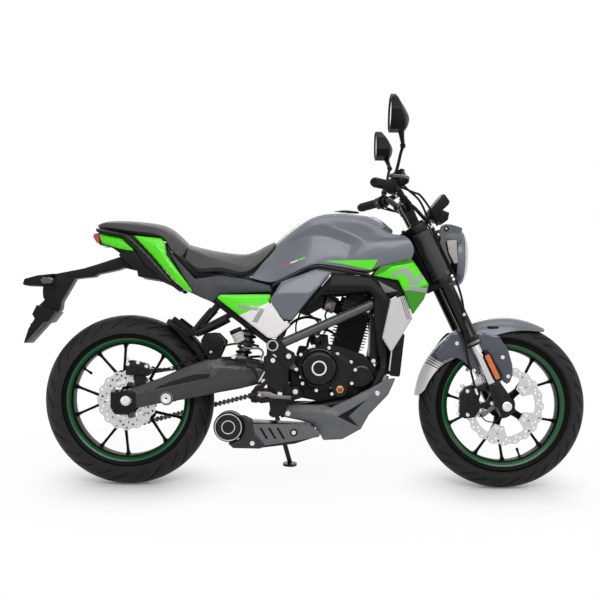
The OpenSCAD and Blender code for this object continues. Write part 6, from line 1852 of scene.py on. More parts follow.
def make_mudguard():
    angles = sorted(set(np.round(np.linspace(61.5, 174, 46), 2)) | {147.2, 148.0, 149.0, 149.8, 150.8, 151.6})
    rows = []
    for a in angles:
        low = np.interp(a, *zip(*SKIRT))
        half = [(0, 68.6), (10, 68.4), (19, 68.8), (23, 67.0), (34, 66.4), (46, 66.6), (56, 67.6), (60, 66.6),
                (74, 66.4), (88, 66.4)]
        pts = []
        for q, r in half:
            y, h = r * math.sin(math.radians(q)), 250 + r * math.cos(math.radians(q))
            if h < low:
                h = low
                y = 66.4 * math.sin(math.acos(max(0.0, min(1.0, (low - 250) / 66.4)))) if low > 250 else 66.4
            pts.append((y, h))
        pts.append((pts[-1][0] + 0.6, min(low, pts[-1][1] - 0.6)))
        full = [(-y, h) for y, h in reversed(pts[1:])] + pts
        c, d = math.cos(math.radians(a)), math.sin(math.radians(a))
        rows.append([(BASE + h * c, y, FRONT_R + h * d) for y, h in full])
    mesh = sheet(rows, -2.6)
    n = len(rows[0])
    per = (len(rows) - 1) * (n - 1)
    mats = []
    for k in range(len(mesh[1])):
        if k < 2 * per:
            i, j = divmod(k % per, n - 1)
            a = (angles[i] + angles[i + 1]) / 2
            # The faces along the middle of the crest take the paler copy: painted highlight
            mid = abs(j - (n - 2) / 2) < 2.6
            line = 147.2 < a < 148 or 149 < a < 149.8 or 150.8 < a < 151.6
            mats.append((4 if line else 2 if a > 146 else 1 if mid else 0) if k < per else 3)
        else:
            mats.append(3)
    s = Shape().add(mesh, mats)
    s.cut([(1286, 585), (1330, 584), (1322, 577), (1292, 577)], 3, 54, 63, 3, both=True)
    piece("mudguard_shell", "steering", s, "tank tank_pale white black ink", "front_mudguard", "mudguard_grey", 24)
    stay = [(1098, 481), (1140, 541), (1158, 559), (1220, 570), (1277, 560), (1328, 551), (1341, 529), (1360, 502),
            (1376, 447), (1378, 415), (1369, 388), (1357, 378), (1344, 387), (1336, 415), (1316, 452), (1296, 440),
            (1273, 409), (1254, 418), (1195, 463), (1176, 470), (1158, 472), (1121, 458)]
    heights = [(x, z, y) for (x, z), y in zip(stay,
                                              (69, 70, 70, 71, 72, 72, 74, 76, 76, 76, 76, 76, 76, 76, 77, 77, 76, 76,
                                               74, 72, 71, 69))]
    heights += [(1230, 510, 77.4), (1330, 490, 78)]
    facets = [(0, 1, 2, 22, 19, 20, 21), (2, 3, 4, 22), (4, 5, 6, 23, 22), (6, 7, 8, 23), (8, 9, 10, 11, 12, 13, 23),
              (13, 14, 15, 22, 23), (15, 16, 17, 18, 22), (18, 19, 22)]
    panel("mudguard_stay", stay, heights, facets, "tank_dark", thick=7, edge=2.4, step=9, round_by=6, body="steering")
    for x, z, y in ((1340, 474, 78), (1361, 406, 76), (1238, 425, 77), (1177, 522, 73)):
        bolt_pair(x, z, y + 0.6, 0.95, None, "steering")


def make_front_brake():
    s = Shape()
    body = [(1188, 262), (1190, 342), (1208, 366), (1232, 374), (1258, 360), (1262, 340), (1256, 322), (1262, 300),
            (1256, 280), (1240, 258), (1206, 254)]
    s.cut(body, 6, -88, -69)
    s.cut(body, 6, -56, -45)
    s.cut([(1188, 264), (1190, 342), (1206, 364), (1209, 350), (1203, 320), (1203, 290), (1208, 262)], 3, -72, -52)
    for z in (284, 322):
        s.lathe([(0, 86), (17, 86), (18, 90), (16.6, 92.6), (12, 93), (11, 90.4), (0, 90.4)], 36, 1, side_on(1232, z))
    s.cut([(1236, 366), (1312, 392), (1326, 352), (1316, 318), (1300, 296), (1262, 290), (1258, 306), (1284, 318),
           (1294, 340), (1280, 356), (1246, 346)], 6, -88, -77)
    s.cut([(1252, 258), (1262, 270), (1308, 306), (1322, 322), (1330, 312), (1318, 296), (1276, 262)], 3, -92, -86, 2)
    for x, z in ((1186, 348), (1184, 300), (1186, 270)):
        s.add(rod(5.4, -2, 11, 1, 6), 3, along((x + 2, -78, z), (x - 12, -78, z + 3)))
    s.add(rod(7, 0, 12, 1, 20), 3, along((1200, -79, 364), (1194, -79, 378)))
    for x, z in ((1292, 374), (1302, 310), (1216, 268), (1214, 352)):
        bolt(x, z, -88.4, 0.9, None, "steering")
    piece("caliper_front", "steering", s, "satin gloss grey_web zinc", "front_caliper", "black_plastic", 32, bevel=2)
    hose = [(-10.4, -215.6, 859.3), (-2, -212, 838), (22, -184, 790), (30, -140, 735), (31, -114, 690),
            (31, -111, 600), (31, -111, 500), (20, -122, 420), (0, -132, 360), (-30, -136, 290), (-52, -128, 220),
            (-66, -110, 140), (-71, -98, 104), (-72, -92.6, 84)]
    s = Shape().add(tube([FORK @ Vector(p) for p in hose], 4, 14, 8))
    for k in (0.36, 0.62):
        i = int(k * (len(hose) - 1))
        s.add(pipe(6, 3.6, -5, 5, 1, 20), 1, along(FORK @ Vector(hose[i]), FORK @ Vector(hose[i + 1])))
    s.lathe([(0, -3), (6, -3), (7, 0), (6, 10), (4.6, 22), (0, 22)], 16, 2,
            along(FORK @ Vector(hose[-1]), FORK @ Vector(hose[-2])))
    piece("brake_hose", "steering", s, "rubber steel zinc", "front_hose", "black_rubber", 35)
    wire = [(1262, -92, 268), (1276, -98, 250), (1300, -104, 244), (1318, -106, 250), (1326, -104, 262)]
    s = Shape().add(tube(wire, 2.2, 10, 8))
    s.add(pipe(3.4, 2, -4, 4, 0.8, 16), 0, along(wire[0], wire[1]))
    piece("sensor_wire", "steering", s, "rubber", sharp=35)


# Chassis pieces: swingarm, guards, rests, lamps and the rest of the rear

ARM = [(-50, 331), (-50, 278), (32, 279), (122, 298), (216, 314), (331, 339), (405, 353), (463, 368), (526, 375),
       (554, 379), (568, 403), (554, 427), (526, 433), (470, 438), (394, 448), (344, 454), (331, 463), (293, 459),
       (216, 432), (122, 388), (27, 353)]
# Outline of a black strip laid on the swingarm rib: painted shade where the arm has a groove
GROOVE_PAINTED_SHADE = [(86, 344), (293, 390), (300, 406), (240, 402), (150, 373)]


def make_swingarm():
    ctrl = [(x, z, y) for (x, z), y in zip(ARM,
                                           (110, 110, 110, 110, 110, 110, 111, 112, 113, 114, 115, 114, 113, 111, 108,
                                            106, 105, 105, 105, 105, 107))]
    ctrl += [(0, 306, 115), (40, 330, 117), (122, 352, 118), (216, 386, 118), (300, 424, 118), (345, 428, 118),
             (470, 420, 117), (540, 403, 117), (122, 318, 118), (216, 336, 118), (331, 362, 118), (463, 386, 117)]
    facets = [(0, 1, 2, 21), (0, 21, 22, 20), (2, 3, 29, 22, 21), (20, 22, 23, 19), (19, 23, 24, 18),
              (18, 24, 25, 17), (17, 25, 26, 15, 16), (15, 26, 27, 13, 14), (13, 27, 28, 12), (12, 28, 10, 11),
              (10, 28, 8, 9), (8, 28, 32, 7), (7, 32, 31, 6), (6, 31, 5), (5, 31, 30, 4), (4, 30, 29, 3),
              (22, 29, 23), (23, 29, 30, 24), (24, 30, 31, 25), (25, 31, 26), (26, 31, 32, 27), (27, 32, 28)]
    panel("swingarm_side", ARM, ctrl, facets, "arm", "swingarm", "frame_black", 26, edge=3, step=7, round_by=6,
          soften=2)
    # Rib in a lighter copy of the swingarm paint, a painted highlight along the ridge; the black strip over the
    # groove outline is painted shade
    rib = Shape().cut([(62, 345), (90, 335), (243, 372), (318, 396), (334, 428), (304, 418), (160, 372)], 8, 114, 121,
                      both=True)
    rib.cut(GROOVE_PAINTED_SHADE, 7, 120.6, 121.6, 1, both=True)
    piece("swingarm_rib", "chassis", rib, "arm_rib satin", bevel=2.6, seg=3, sharp=30)
    s = Shape()
    s.add(pipe(24, 11, -92, 92, 2, 36), 0, side_on(540, 403))
    s.cut([(345, 358), (470, 372), (520, 385), (520, 425), (470, 428), (380, 440), (345, 430)], 12, -93, 93)
    end = rounded([(-54, 334), (-54, 284), (-38, 258), (6, 256), (34, 276), (34, 338), (-30, 346)], 7)
    s.add(slab(end, 114, 121), 1, both=True)
    s.cut([(-20, 296), (22, 296), (22, 316), (-20, 316)], 8, 120, 122.4, 2, both=True)
    for k in range(4):
        s.cut([(-44 + k * 18, 334 + k * 3), (-36 + k * 18, 335.4 + k * 3), (-36 + k * 18, 342 + k * 3),
               (-44 + k * 18, 340 + k * 3)], 1, 119, 122, 2, both=True)
    s.add(rod(5, 0, 26, 1, 20), 3, along((-50, 108, REAR_R), (-74, 108, REAR_R)), True)
    s.add(rod(7.4, 8, 15, 1, 6), 3, along((-50, 108, REAR_R), (-74, 108, REAR_R)), True)
    piece("swingarm_core", "chassis", s, "satin black dark_steel zinc", sharp=32, bevel=1.8)
    s = Shape()
    for side in (1, -1):
        m = shift(144, 0, 316) @ turn(-90 * side, "X")
        s.lathe([(4.2, 112), (19, 112), (19.6, 115), (17, 118), (13.4, 120), (12.6, 124), (13.4, 127), (17.4, 129),
                 (18.4, 131), (17.4, 132.8), (8, 133), (4.2, 131), (4.2, 112)], 40, 0, m)
        s.lathe([(19.4, 116), (24, 116), (25, 118), (24, 120), (19.4, 120), (19.4, 116)], 40, 1, m)
        n = shift(0, 0, REAR_R) @ turn(-90 * side, "X")
        s.lathe([(0, 100), (9, 100), (9, 121), (17, 121), (18, 122.4), (17.4, 124), (0, 124)], 32, 0, n)
        s.lathe([(0, 123.6), (15.6, 123.6), (16, 126), (15, 130), (12, 131.6), (7, 131.6), (6.6, 128), (0, 128)], 6,
                0, n)
    piece("axle_spools", "chassis", s, "zinc dark_steel", "rear_axle", "steel", 30)
    s = Shape()
    for side in (1, -1):
        m = shift(540, 0, 403) @ turn(-90 * side, "X")
        s.lathe([(0, 118), (10, 118), (10, 136.2), (17, 136.4), (18, 138), (17, 147), (14, 147.4), (13, 144),
                 (0, 144)], 36, 0, m)
        s.lathe([(0, 143), (9.6, 143), (9.8, 147.4), (8.6, 149), (0, 149.6)], 6, 1, m)
        s.lathe([(18.6, 136.4), (22.4, 136.4), (23.2, 138), (22.4, 139.6), (18.6, 139.6), (18.6, 136.4)], 40, 2, m)
    piece("pivot_caps", "chassis", s, "black nut_gold steel", "pivot_bolt", "steel", 30)
    # Guard over the rear tyre, and the chain guard
    rows = []
    for a in np.linspace(15.5, 64, 26):
        c, d = math.cos(math.radians(a)), math.sin(math.radians(a))
        lip = 296 + 12 * max(0.0, (a - 48) / 16)
        prof = [(-75, lip), (-75, 312), (-73, 320), (-66, 325), (-40, 326.4), (-12, 327.6), (0, 328), (12, 327.6),
                (40, 326.4), (66, 325), (73, 320), (75, 312), (75, lip)]
        rows.append([(r * c, y, REAR_R + r * d) for y, r in prof])
    s = Shape().add(sheet(rows, -3))
    arm = rounded([(290, 456), (322, 458), (350, 520), (318, 552), (276, 548), (262, 520)], 10)
    s.add(slab(arm, 76, 111), both=True)
    for k in range(3):
        s.cut([(286 + k * 14, 470), (291 + k * 14, 470), (299 + k * 14, 530), (294 + k * 14, 530)], 2, 110, 113,
              both=True)
    piece("tyre_hugger", "chassis", s, "black", "hugger", "black_plastic", 30, bevel=1.4)
    s = Shape().cut([(60, 414), (120, 418), (330, 462), (470, 470), (470, 461), (332, 450), (122, 410), (60, 407)], 3,
                    78, 91.4)
    s.cut([(64, 409), (64, 396), (240, 424), (320, 440), (320, 447), (120, 411)], 3, 89.6, 91.4)
    piece("chain_cover", "chassis", s, "black", "chain_guard", "black_plastic", 30, bevel=1)


def make_rear_brake():
    s = Shape()
    body = rounded([(-4, 396), (-2, 440), (14, 450), (40, 446), (74, 436), (88, 404), (72, 392), (50, 400),
                    (28, 396)], 7)
    s.add(slab(body, -104, -85.6))
    s.add(slab(body, -72.4, -60))
    s.cut([(-2, 430), (14, 450), (40, 446), (74, 436), (80, 424), (60, 430), (30, 436), (12, 434)], 3, -88, -70)
    s.cut([(20, 400), (60, 402), (72, 384), (60, 350), (40, 346), (28, 360)], 6, -91.6, -88.4)
    for x, z in ((24, 418), (56, 414)):
        s.lathe([(0, 102), (15, 102), (16, 106), (14, 108), (10, 108.4), (9, 106), (0, 106)], 32, 1, side_on(x, z))
    for x, z in ((4, 436), (70, 428), (40, 442)):
        bolt(x, z, -104.4, 0.9)
    s.add(rod(5, 0, 14, 1, 6), 2, along((78, -94, 420), (90, -94, 428)))
    s.add(rod(4, 0, 16, 1, 16), 2, along((6, -94, 446), (2, -94, 460)))
    piece("caliper_rear", "chassis", s, "satin gloss zinc", "rear_caliper", "black_plastic", 32, bevel=2)
    line = [(88, -95, 426), (120, -103, 418), (160, -108, 424), (210, -111, 446), (262, -114, 470), (300, -118, 482),
            (343, -121, 503), (390, -122, 512), (430, -124, 505)]
    s = Shape().add(tube(line, 3.6, 12, 8))
    for i in (2, 5):
        s.add(pipe(5.4, 3.2, -5, 5, 1, 18), 1, along(line[i], line[i + 1]))
    piece("rear_brake_line", "chassis", s, "rubber steel", sharp=35)
    # Fluid cup with its hose, and the foot brake's cylinder
    m = shift(404, -128, 520) @ turn(-24, "Y")
    s = Shape()
    s.lathe([(0, -2), (12, -2), (17, 0), (19.6, 5), (20.2, 34), (0, 34)], 36, 0, m)
    s.lathe([(0, 33), (21.4, 33), (22, 35), (22, 46), (20.6, 48.4), (8, 49), (7, 47.6), (0, 47.6)], 20, 1, m)
    s.add(pipe(6, 3, -14, 0, 1, 20), 1, m)
    for k in (12, 24):
        s.add(pipe(20.6, 19.6, k, k + 1, 0.3, 36), 2, m)
    s.cut([(414, 520), (440, 506), (470, 500), (470, 508), (440, 516), (420, 530)], 2, -122, -117, 1)
    piece("fluid_cup", "chassis", s, "cup black trim", "brake_reservoir", "reservoir_plastic", 30)
    hose = [(411, -127, 506), (424, -130, 498), (441, -132, 496), (472, -136, 496), (485, -138, 480),
            (476, -140, 458), (486, -142, 446)]
    s = Shape().add(tube(hose, 4, 14, 8))
    s.add(pipe(5.4, 3.4, -4, 4, 0.8, 18), 1, along(hose[0], hose[1]))
    s.add(pipe(5.4, 3.4, -4, 4, 0.8, 18), 1, along(hose[5], hose[6]))
    piece("cup_hose", "chassis", s, "grey_web steel", sharp=35)
    s = Shape()
    top, low = (527, -143, 474), (505, -143, 436)
    s.lathe([(0, 0), (9, 0), (10, 2), (10, 34), (8, 38), (6, 40), (6, 50), (0, 50)], 28, 0, along(top, low))
    s.add(rod(3.4, 40, 110, 1, 14), 1, along(top, low))
    s.cut([(500, 446), (524, 462), (520, 470), (494, 456)], 3, -149, -136.4, 2)
    piece("foot_cylinder", "chassis", s, "alloy zinc black", sharp=32)


def make_rests():
    s = Shape()
    loops = [resample(rounded([(486, 470), (522, 474), (562, 424), (568, 372), (536, 312), (482, 304), (438, 318),
                               (446, 348), (494, 384)], 9), 9)]
    loops.append(rounded([(500, 372), (524, 356), (534, 340), (520, 326), (484, 324), (470, 336)], 6, 3))
    m = turn(90, "X")
    s.add(plate(loops, 148.4, 158), 0, m, True)
    s.cut([(506, 404), (560, 372), (548, 330), (540, 330), (546, 368), (504, 394)], 3, 157, 160, both=True)
    for x, z in ((520, 455), (546, 339)):
        s.lathe([(0, 136.4), (12, 136.4), (12, 147), (11, 149), (0, 149)], 28, 0, side_on(x, z), True)
        bolt_pair(x, z, 158.4, 1.1)
    # Hinged pegs with ribbed rubber
    s.cut([(440, 342), (474, 342), (478, 316), (466, 306), (446, 308)], 5, 157, 172, both=True)
    s.lathe([(0, 168), (11, 168), (12, 171), (12, 180), (10, 183), (0, 183)], 28, 1, side_on(456, 325), True)
    ribs = [(0, 180), (9, 180)]
    for i in range(8):
        h = 182 + i * 7
        ribs += [(10.4, h), (11.4, h + 1), (11.4, h + 4), (10.4, h + 5)]
    ribs += [(11, 239), (9.6, 241), (0, 241.4)]
    s.lathe(ribs, 28, 2, side_on(456, 325), True)
    piece("rest_plates", "chassis", s, "satin zinc rubber", "footrests", "frame_black", 30, bevel=1.4)
    s = Shape()
    arm = rounded([(470, 322), (476, 346), (510, 345), (540, 333), (590, 331), (600, 326), (598, 318), (560, 321),
                   (520, 322), (500, 328)], 4)
    s.add(slab(arm, 158.6, 167), both=True)
    s.add(rod(13, 157.6, 170, 1.6, 28), 0, side_on(474, 334), True)
    s.add(rod(6, 169, 175, 1, 6), 1, side_on(474, 334), True)
    ribs = [(0, 165), (7, 165)]
    for i in range(5):
        ribs += [(7.2, 170 + i * 7), (8.2, 171 + i * 7), (8.2, 174 + i * 7), (7.2, 175 + i * 7)]
    ribs += [(8, 205), (6.6, 206.6), (0, 206.8)]
    s.lathe(ribs, 24, 2, side_on(593, 325), True)
    piece("pedals", "chassis", s, "dark_steel zinc rubber", "foot_controls", "alloy", 30, bevel=1.4)
    # Spring by the brake pedal
    coil = [(446 + 0.5 * k + 3.2 * math.cos(k * 1.05), -150 + 3.2 * math.sin(k * 1.05),
             334 + 0.62 * k) for k in range(60)]
    s = Shape().add(tube(coil, 0.9, 8, 1))
    piece("pedal_spring", "chassis", s, "zinc", sharp=35)
    s = Shape()
    s.add(rod(11, 118.4, 133, 2, 28), 0, side_on(232, 548), True)
    s.add(tube([(302, 118, 634), (270, 122, 598), (236, 126, 552)], [9, 8, 9], 16, 5), both=True)
    s.add(tube([(352, 118, 600), (300, 122, 572), (238, 126, 546)], [9, 8, 9], 16, 5), both=True)
    a, b = (236, 130, 545), (164, 130, 599)
    ribs = [(0, -6), (9, -6)]
    for i in range(9):
        ribs += [(10.4, 2 + i * 9), (11.8, 3.4 + i * 9), (11.8, 7 + i * 9), (10.4, 8.4 + i * 9)]
    ribs += [(11, 86), (9, 89), (0, 89.4)]
    s.lathe(ribs, 26, 1, along(a, b), True)
    bolt_pair(232, 548, 134, 0.9)
    piece("pillion_rests", "chassis", s, "satin rubber", "pillion_pegs", "black_plastic", 30)


def make_frame():
    s = Shape()
    s.add(tube([(541, 118, 511), (640, 118, 555.4), (760, 118, 609.3), (873, 118, 660)], 16.5, 28, 3), both=True)
    s.add(pipe(20.4, 14.6, 116, 141, 1.6, 40), 1, side_on(518, 507), True)
    s.add(rod(14.8, 110, 134, 0.6, 32), 2, side_on(518, 507), True)
    piece("side_tube", "chassis", s, "tube steel inner", sharp=30)
    # Bosses and webs on the pivot plates
    s = Shape()
    for hole in ((575, 470), (600, 345)):
        s.lathe([(0, 118), (17, 118), (18, 120), (18, 137.4), (16, 139), (0, 139)], 32, 0, side_on(*hole), True)
        bolt_pair(hole[0], hole[1], 139.2, 1.2)
    s.cut([(352, 462), (372, 468), (470, 452), (520, 426), (516, 418), (466, 442), (372, 456), (356, 452)], 3, 136,
          141, both=True)
    # Grey strip along the top of the web: painted highlight on its edge
    s.cut([(366, 470), (404, 470), (438, 462), (400, 460)], 3, 136, 142, 1, both=True)
    s.cut([(424, 436), (458, 430), (470, 390), (462, 388), (450, 420), (426, 428)], 3, 136, 140, both=True)
    for x, z in ((381, 467), (515, 419), (488, 381)):
        bolt_pair(x, z, 141, 1.1)
    piece("frame_webs", "chassis", s, "satin grey_web", sharp=30, bevel=1.2)
    # Elbow beside the clutch cover, with its hose
    s = Shape()
    s.cut([(572, 440), (588, 450), (602, 436), (596, 424), (580, 424)], 4, -104, -84)
    s.add(tube([(592, -94, 430), (606, -98, 412), (622, -100, 392), (640, -96, 372)], 7, 18, 6), 1)
    s.add(pipe(8.6, 6.4, -4, 4, 1, 24), 2, along((596, -95, 425), (606, -98, 412)))
    piece("breather_elbow", "chassis", s, "grey_web rubber steel", sharp=32, bevel=1.6)
    # Loom and cables seen through the gap ahead of the seat
    s = Shape()
    for pts, r in (([(612, -60, 690), (596, -64, 640), (574, -66, 590), (556, -70, 540)], 4),
                   ([(628, -52, 690), (616, -56, 630), (600, -60, 580), (604, -64, 520)], 3),
                   ([(560, -70, 562), (596, -72, 596), (640, -66, 610), (690, -56, 600)], 5),
                   ([(640, -62, 560), (660, -66, 530), (676, -70, 514), (700, -72, 505)], 6)):
        s.add(tube(pts, r, 12, 8))
    piece("loom", "chassis", s, "rubber", sharp=35)
    # Tray below both seats
    tray = rounded([(176, 838), (206, 812), (232, 786), (300, 768), (380, 752), (452, 748), (530, 744), (562, 732),
                    (562, 702), (456, 706), (380, 722), (292, 736), (222, 752), (180, 796), (150, 830)], 8)
    piece("seat_tray", "chassis", Shape().add(slab(tray, -92, 92)), "black", bevel=2)
    # Shock with a real coil
    a, b = Vector((390, 0, 403)), Vector((470, 0, 695))
    d = (b - a).length
    m = along(a, b)
    s = Shape()
    s.lathe([(0, 9), (8.6, 9), (8.6, 40), (30, 40), (31, 42), (31, 47), (29, 49), (20, 50), (20, d - 84),
             (0, d - 84)], 36, 0, m)
    s.lathe([(0, d - 90), (12, d - 90), (12, d - 80), (31, d - 80), (31, d - 71), (22, d - 70), (22, d - 16),
             (18, d - 12), (0, d - 12)], 36, 0, m)
    turns, n = 8.5, 170
    coil = [(25 * math.cos(2 * math.pi * turns * i / n), 25 * math.sin(2 * math.pi * turns * i / n),
             52 + (d - 136) * i / n) for i in range(n + 1)]
    s.add(tube([m @ Vector(p) for p in coil], 4.6, 10, 1), 1)
    piece("shock_unit", "chassis", s, "dark_steel satin", "shock", "steel", 30)


def make_plate_arm():
    arm = [(32.6, 770.6), (-25.4, 825.6), (-115, 795), (-169, 778), (-266, 758), (-334, 750), (-379, 737),
           (-385, 719), (-379, 714), (-315, 712), (-317, 695), (-315, 672), (-309, 663), (-329, 643), (-345, 610),
           (-336, 594), (-358, 557), (-376, 500), (-305, 580), (-288, 583), (-252, 631), (-249, 657), (-201, 741),
           (-131, 749), (-118, 759), (-47, 775), (-25, 783)]
    s = Shape().cut(arm, 4, -33, 33)
    s.cut([(-329, 643), (-345, 610), (-336, 594), (-358, 557), (-376, 500), (-305, 580), (-288, 583), (-260, 621)], 3,
          -73, 73)
    s.cut([(-266, 758), (-334, 750), (-379, 737), (-385, 719), (-379, 714), (-320, 716)], 3, -51, 51)
    s.cut([(-352, 716), (-336, 716), (-338, 707), (-350, 707)], 2, -24, 24, 1)
    for k in range(4):
        s.cut([(-318 - k * 9, 640 - k * 20), (-326 - k * 9, 634 - k * 20), (-325 - k * 9, 630 - k * 20),
               (-316 - k * 9, 636 - k * 20)], 1, -66, 66)
    arm_piece = piece("plate_arm", "chassis", s, "black glow", "plate_carrier", "black_plastic", 30, bevel=2)
    for side in (-1, 1):
        carve(arm_piece, Shape().add(rod(3.5, -60, 60, 0.1, 32), 0, shift(-337, side * 60, 627) @ turn(-64, "Y")))
    s = Shape()
    c = (-286, 727)
    s.lathe([(0, 32), (8, 32), (8, 44), (6.4, 48), (6.4, 72), (9, 79), (0, 79)], 24, 0, side_on(*c), True)
    shell = rounded([(-312, 730), (-302, 741), (-272, 740), (-262, 729), (-270, 717), (-300, 716)], 6)
    s.add(slab(shell, 78, 106), both=True)
    s.add(slab(poly_scale(shell, 0.88), 105, 112), 1, both=True)
    piece("turn_lamps", "chassis", s, "black smoke", "rear_indicators", "black_plastic", 30, bevel=1.8)


def make_radiator(sizes):
    at = shift(944, 0, 481) @ turn(6, "Y")
    s = Shape()
    s.add(block((3, -108, -70), (27, 108, 70)), 2, at)
    for z in (-72, 66):
        s.add(block((-1, -110, z), (31, 110, z + 6)), 0, at)
    tank = rounded([(-4, -77), (33, -77), (33, 77), (-4, 77)], 9)
    s.add(slab(tank, 110, 126), 0, at, True)
    s.cut([(-9, -58), (-4, -62), (-4, 70), (-9, 66)], 2, 112, 127, 1, at, True)
    s.add(rod(9, 118, 140, 1.4, 28), 0, at @ shift(10, 0, 30) @ turn(90, "X"), True)
    s.add(rod(13, -2, 16, 2, 32), 0, at @ shift(14, -60, 76))
    s.add(pipe(74, 66, -30, -6, 2, 56), 0, at @ turn(90, "Y"))
    for k in range(5):
        s.cut([(0, -3), (62, -10), (66, 6), (0, 5)], 4, -1.6, 1.6, 0,
              at @ shift(-20, 0, 0) @ turn(90, "Z") @ turn(72 * k, "Y") @ turn(24, "X"))
    s.add(rod(18, -34, -14, 2, 32), 0, at @ turn(90, "Y"))
    piece("radiator_body", "chassis", s, "black steel inner", "radiator", "black_plastic", 30, bevel=1.4)
    fin = Shape().add(slab(rounded([(0, -0.3), (29, -0.3), (29, 0.3), (0, 0.3)], 0.2, 1), -108, 108))
    pitch = sizes.fin_pitch * 1000
    spin = (BIKE.to_3x3().normalized() @ turn(6, "Y").to_3x3()).to_euler()
    rows = []
    for i in range(int(130 / pitch)):
        rows.append((BIKE @ at @ Vector((0.6, 0, -64 + i * pitch)), spin))
    scatter("radiator_fins", "chassis", rows, fin, "dark_steel")
    tubes = Shape().add(slab(rounded([(-0.4, -64), (0.4, -64), (0.4, 64), (-0.4, 64)], 0.3, 1), -1.2, 1.2))
    rows = [(BIKE @ at @ Vector((30, -104 + i * 10.4, 0)), spin) for i in range(21)]
    scatter("radiator_tubes", "chassis", rows, tubes, "satin")
    # Hoses from the radiator to the engine
    s = Shape()
    s.add(tube([at @ Vector((4, -96, -54)), (930, -98, 424), (908, -98, 414), (884, -96, 408)], 12, 22, 6))
    s.add(tube([at @ Vector((4, 96, 56)), (926, 84, 566), (908, 66, 590), (884, 54, 598)], 12, 22, 6))
    for a, b in (((908, -98, 414), (884, -96, 408)), ((908, 66, 590), (884, 54, 598))):
        s.add(pipe(13.6, 11.6, 4, 12, 0.6, 28), 1, along(a, b))
    piece("coolant_hoses", "chassis", s, "rubber steel", sharp=35)


# Bolt heads, by Geometry Nodes

def bolt_tree():
    """A hexagon head with a washer on every point."""
    g, given = new_group("Bolt heads", Geometry="Geometry", Head="Float", Height="Float", Finish="Material")
    wide, high = given["Head"], given["Height"]
    thin = maths(g, "MULTIPLY", high, 0.5)
    head = new_node(g, "GeometryNodeMeshCylinder",
                    {"Vertices": 12, "Radius": maths(g, "MULTIPLY", wide, 0.5), "Depth": high}).outputs
    washer = new_node(g, "GeometryNodeMeshCylinder",
                      {"Vertices": 24, "Radius": maths(g, "MULTIPLY", wide, 0.68), "Depth": thin}).outputs
    # Socket in the head: the top face is drawn in, then pushed down
    inset = new_node(g, "GeometryNodeExtrudeMesh",
                     {"Mesh": head["Mesh"], "Selection": head["Top"], "Offset Scale": 0.0}, mode="FACES").outputs
    shrink = new_node(g, "GeometryNodeScaleElements",
                      {"Geometry": inset["Mesh"], "Selection": inset["Top"], "Scale": 0.58}).outputs
    sink = new_node(g, "GeometryNodeExtrudeMesh",
                    {"Mesh": shrink["Geometry"], "Selection": inset["Top"],
                     "Offset Scale": maths(g, "MULTIPLY", high, -0.6)}, mode="FACES").outputs
    rise = new_node(g, "ShaderNodeCombineXYZ", {"Z": thin})
    lift = new_node(g, "GeometryNodeTransform", {"Geometry": sink["Mesh"], "Translation": rise.outputs[0]})
    both = new_node(g, "GeometryNodeJoinGeometry", {"Geometry": lift.outputs["Geometry"]})
    fill(g, both, {"Geometry": washer["Mesh"]})
    return on_points(g, given, both.outputs["Geometry"])


def make_bolts(sizes):
    tree = bolt_tree()
    values = {"Head": sizes.bolt_head, "Height": sizes.bolt_head * 0.46, "Finish": FINISH["zinc"]}
    for body, rows in BOLTS.items():
        rows = [(BIKE @ p, (BIKE.to_3x3() @ aim).to_track_quat("Z", "Y").to_euler(), k) for p, aim, k in rows]
        if rows:
            set_out("bolts_" + body, body, tree, rows, values, 30)


# Finishes of the solids that stay as they are

CARRIED = {"frame": "satin", "side_stand": "satin"}


def dress_solids():
    for node, key in CARRIED.items():
        obj = bpy.data.objects[node]
        obj.data.materials.clear()
        obj.data.materials.append(FINISH[key])


# Operators

class BIKE_OT_stage(bpy.types.Operator):
    """Sets the white studio, its lamps and the camera"""
    bl_idname = "street_bike.stage"
    bl_label = "Stage"

    def execute(self, context):
        studio(context)
        return {"FINISHED"}


class BIKE_OT_tank(bpy.types.Operator):
    """Builds the fuel tank with its wings, stripes and hinged lid"""
    bl_idname = "street_bike.tank"
    bl_label = "Tank"

    def execute(self, context):
        make_tank()
        return {"FINISHED"}


class BIKE_OT_panels(bpy.types.Operator):
    """Builds the side panels, shrouds and cowls"""
    bl_idname = "street_bike.panels"
    bl_label = "Side panels"

    def execute(self, context):
        make_panels()
        return {"FINISHED"}


class BIKE_OT_seats(bpy.types.Operator):
    """Builds both seats with their foam"""
    bl_idname = "street_bike.seats"
    bl_label = "Seats"

    def execute(self, context):
        make_seats(context.scene.bike_sizes)
        return {"FINISHED"}


class BIKE_OT_tail(bpy.types.Operator):
    """Builds the tail panels, grab strips and tail lamp"""
    bl_idname = "street_bike.tail"
    bl_label = "Tail"

    def execute(self, context):
        make_tail()
        return {"FINISHED"}


class BIKE_OT_wheels(bpy.types.Operator):
    """Builds tyres, rims and brake discs"""
    bl_idname = "street_bike.wheels"
    bl_label = "Wheels"

    def execute(self, context):
        make_wheels(context.scene.bike_sizes)
        return {"FINISHED"}


class BIKE_OT_drive(bpy.types.Operator):
    """Builds the chain link by link and the rear sprocket"""
    bl_idname = "street_bike.drive"
    bl_label = "Final drive"

    def execute(self, context):
        make_drive(context.scene.bike_sizes)
        return {"FINISHED"}


class BIKE_OT_engine(bpy.types.Operator):
    """Builds the crankcase, covers, finned cylinder and intake"""
    bl_idname = "street_bike.engine"
    bl_label = "Engine"

    def execute(self, context):
        make_engine()
        return {"FINISHED"}


class BIKE_OT_exhaust(bpy.types.Operator):
    """Builds the header, silencer, heat guard and belly pan"""
    bl_idname = "street_bike.exhaust"
    bl_label = "Exhaust and belly pan"

    def execute(self, context):
        make_exhaust()
        return {"FINISHED"}


class BIKE_OT_fork(bpy.types.Operator):
    """Builds the fork tubes, legs, clamps and reflectors"""
    bl_idname = "street_bike.fork"
    bl_label = "Fork"

    def execute(self, context):
        make_fork()
        return {"FINISHED"}


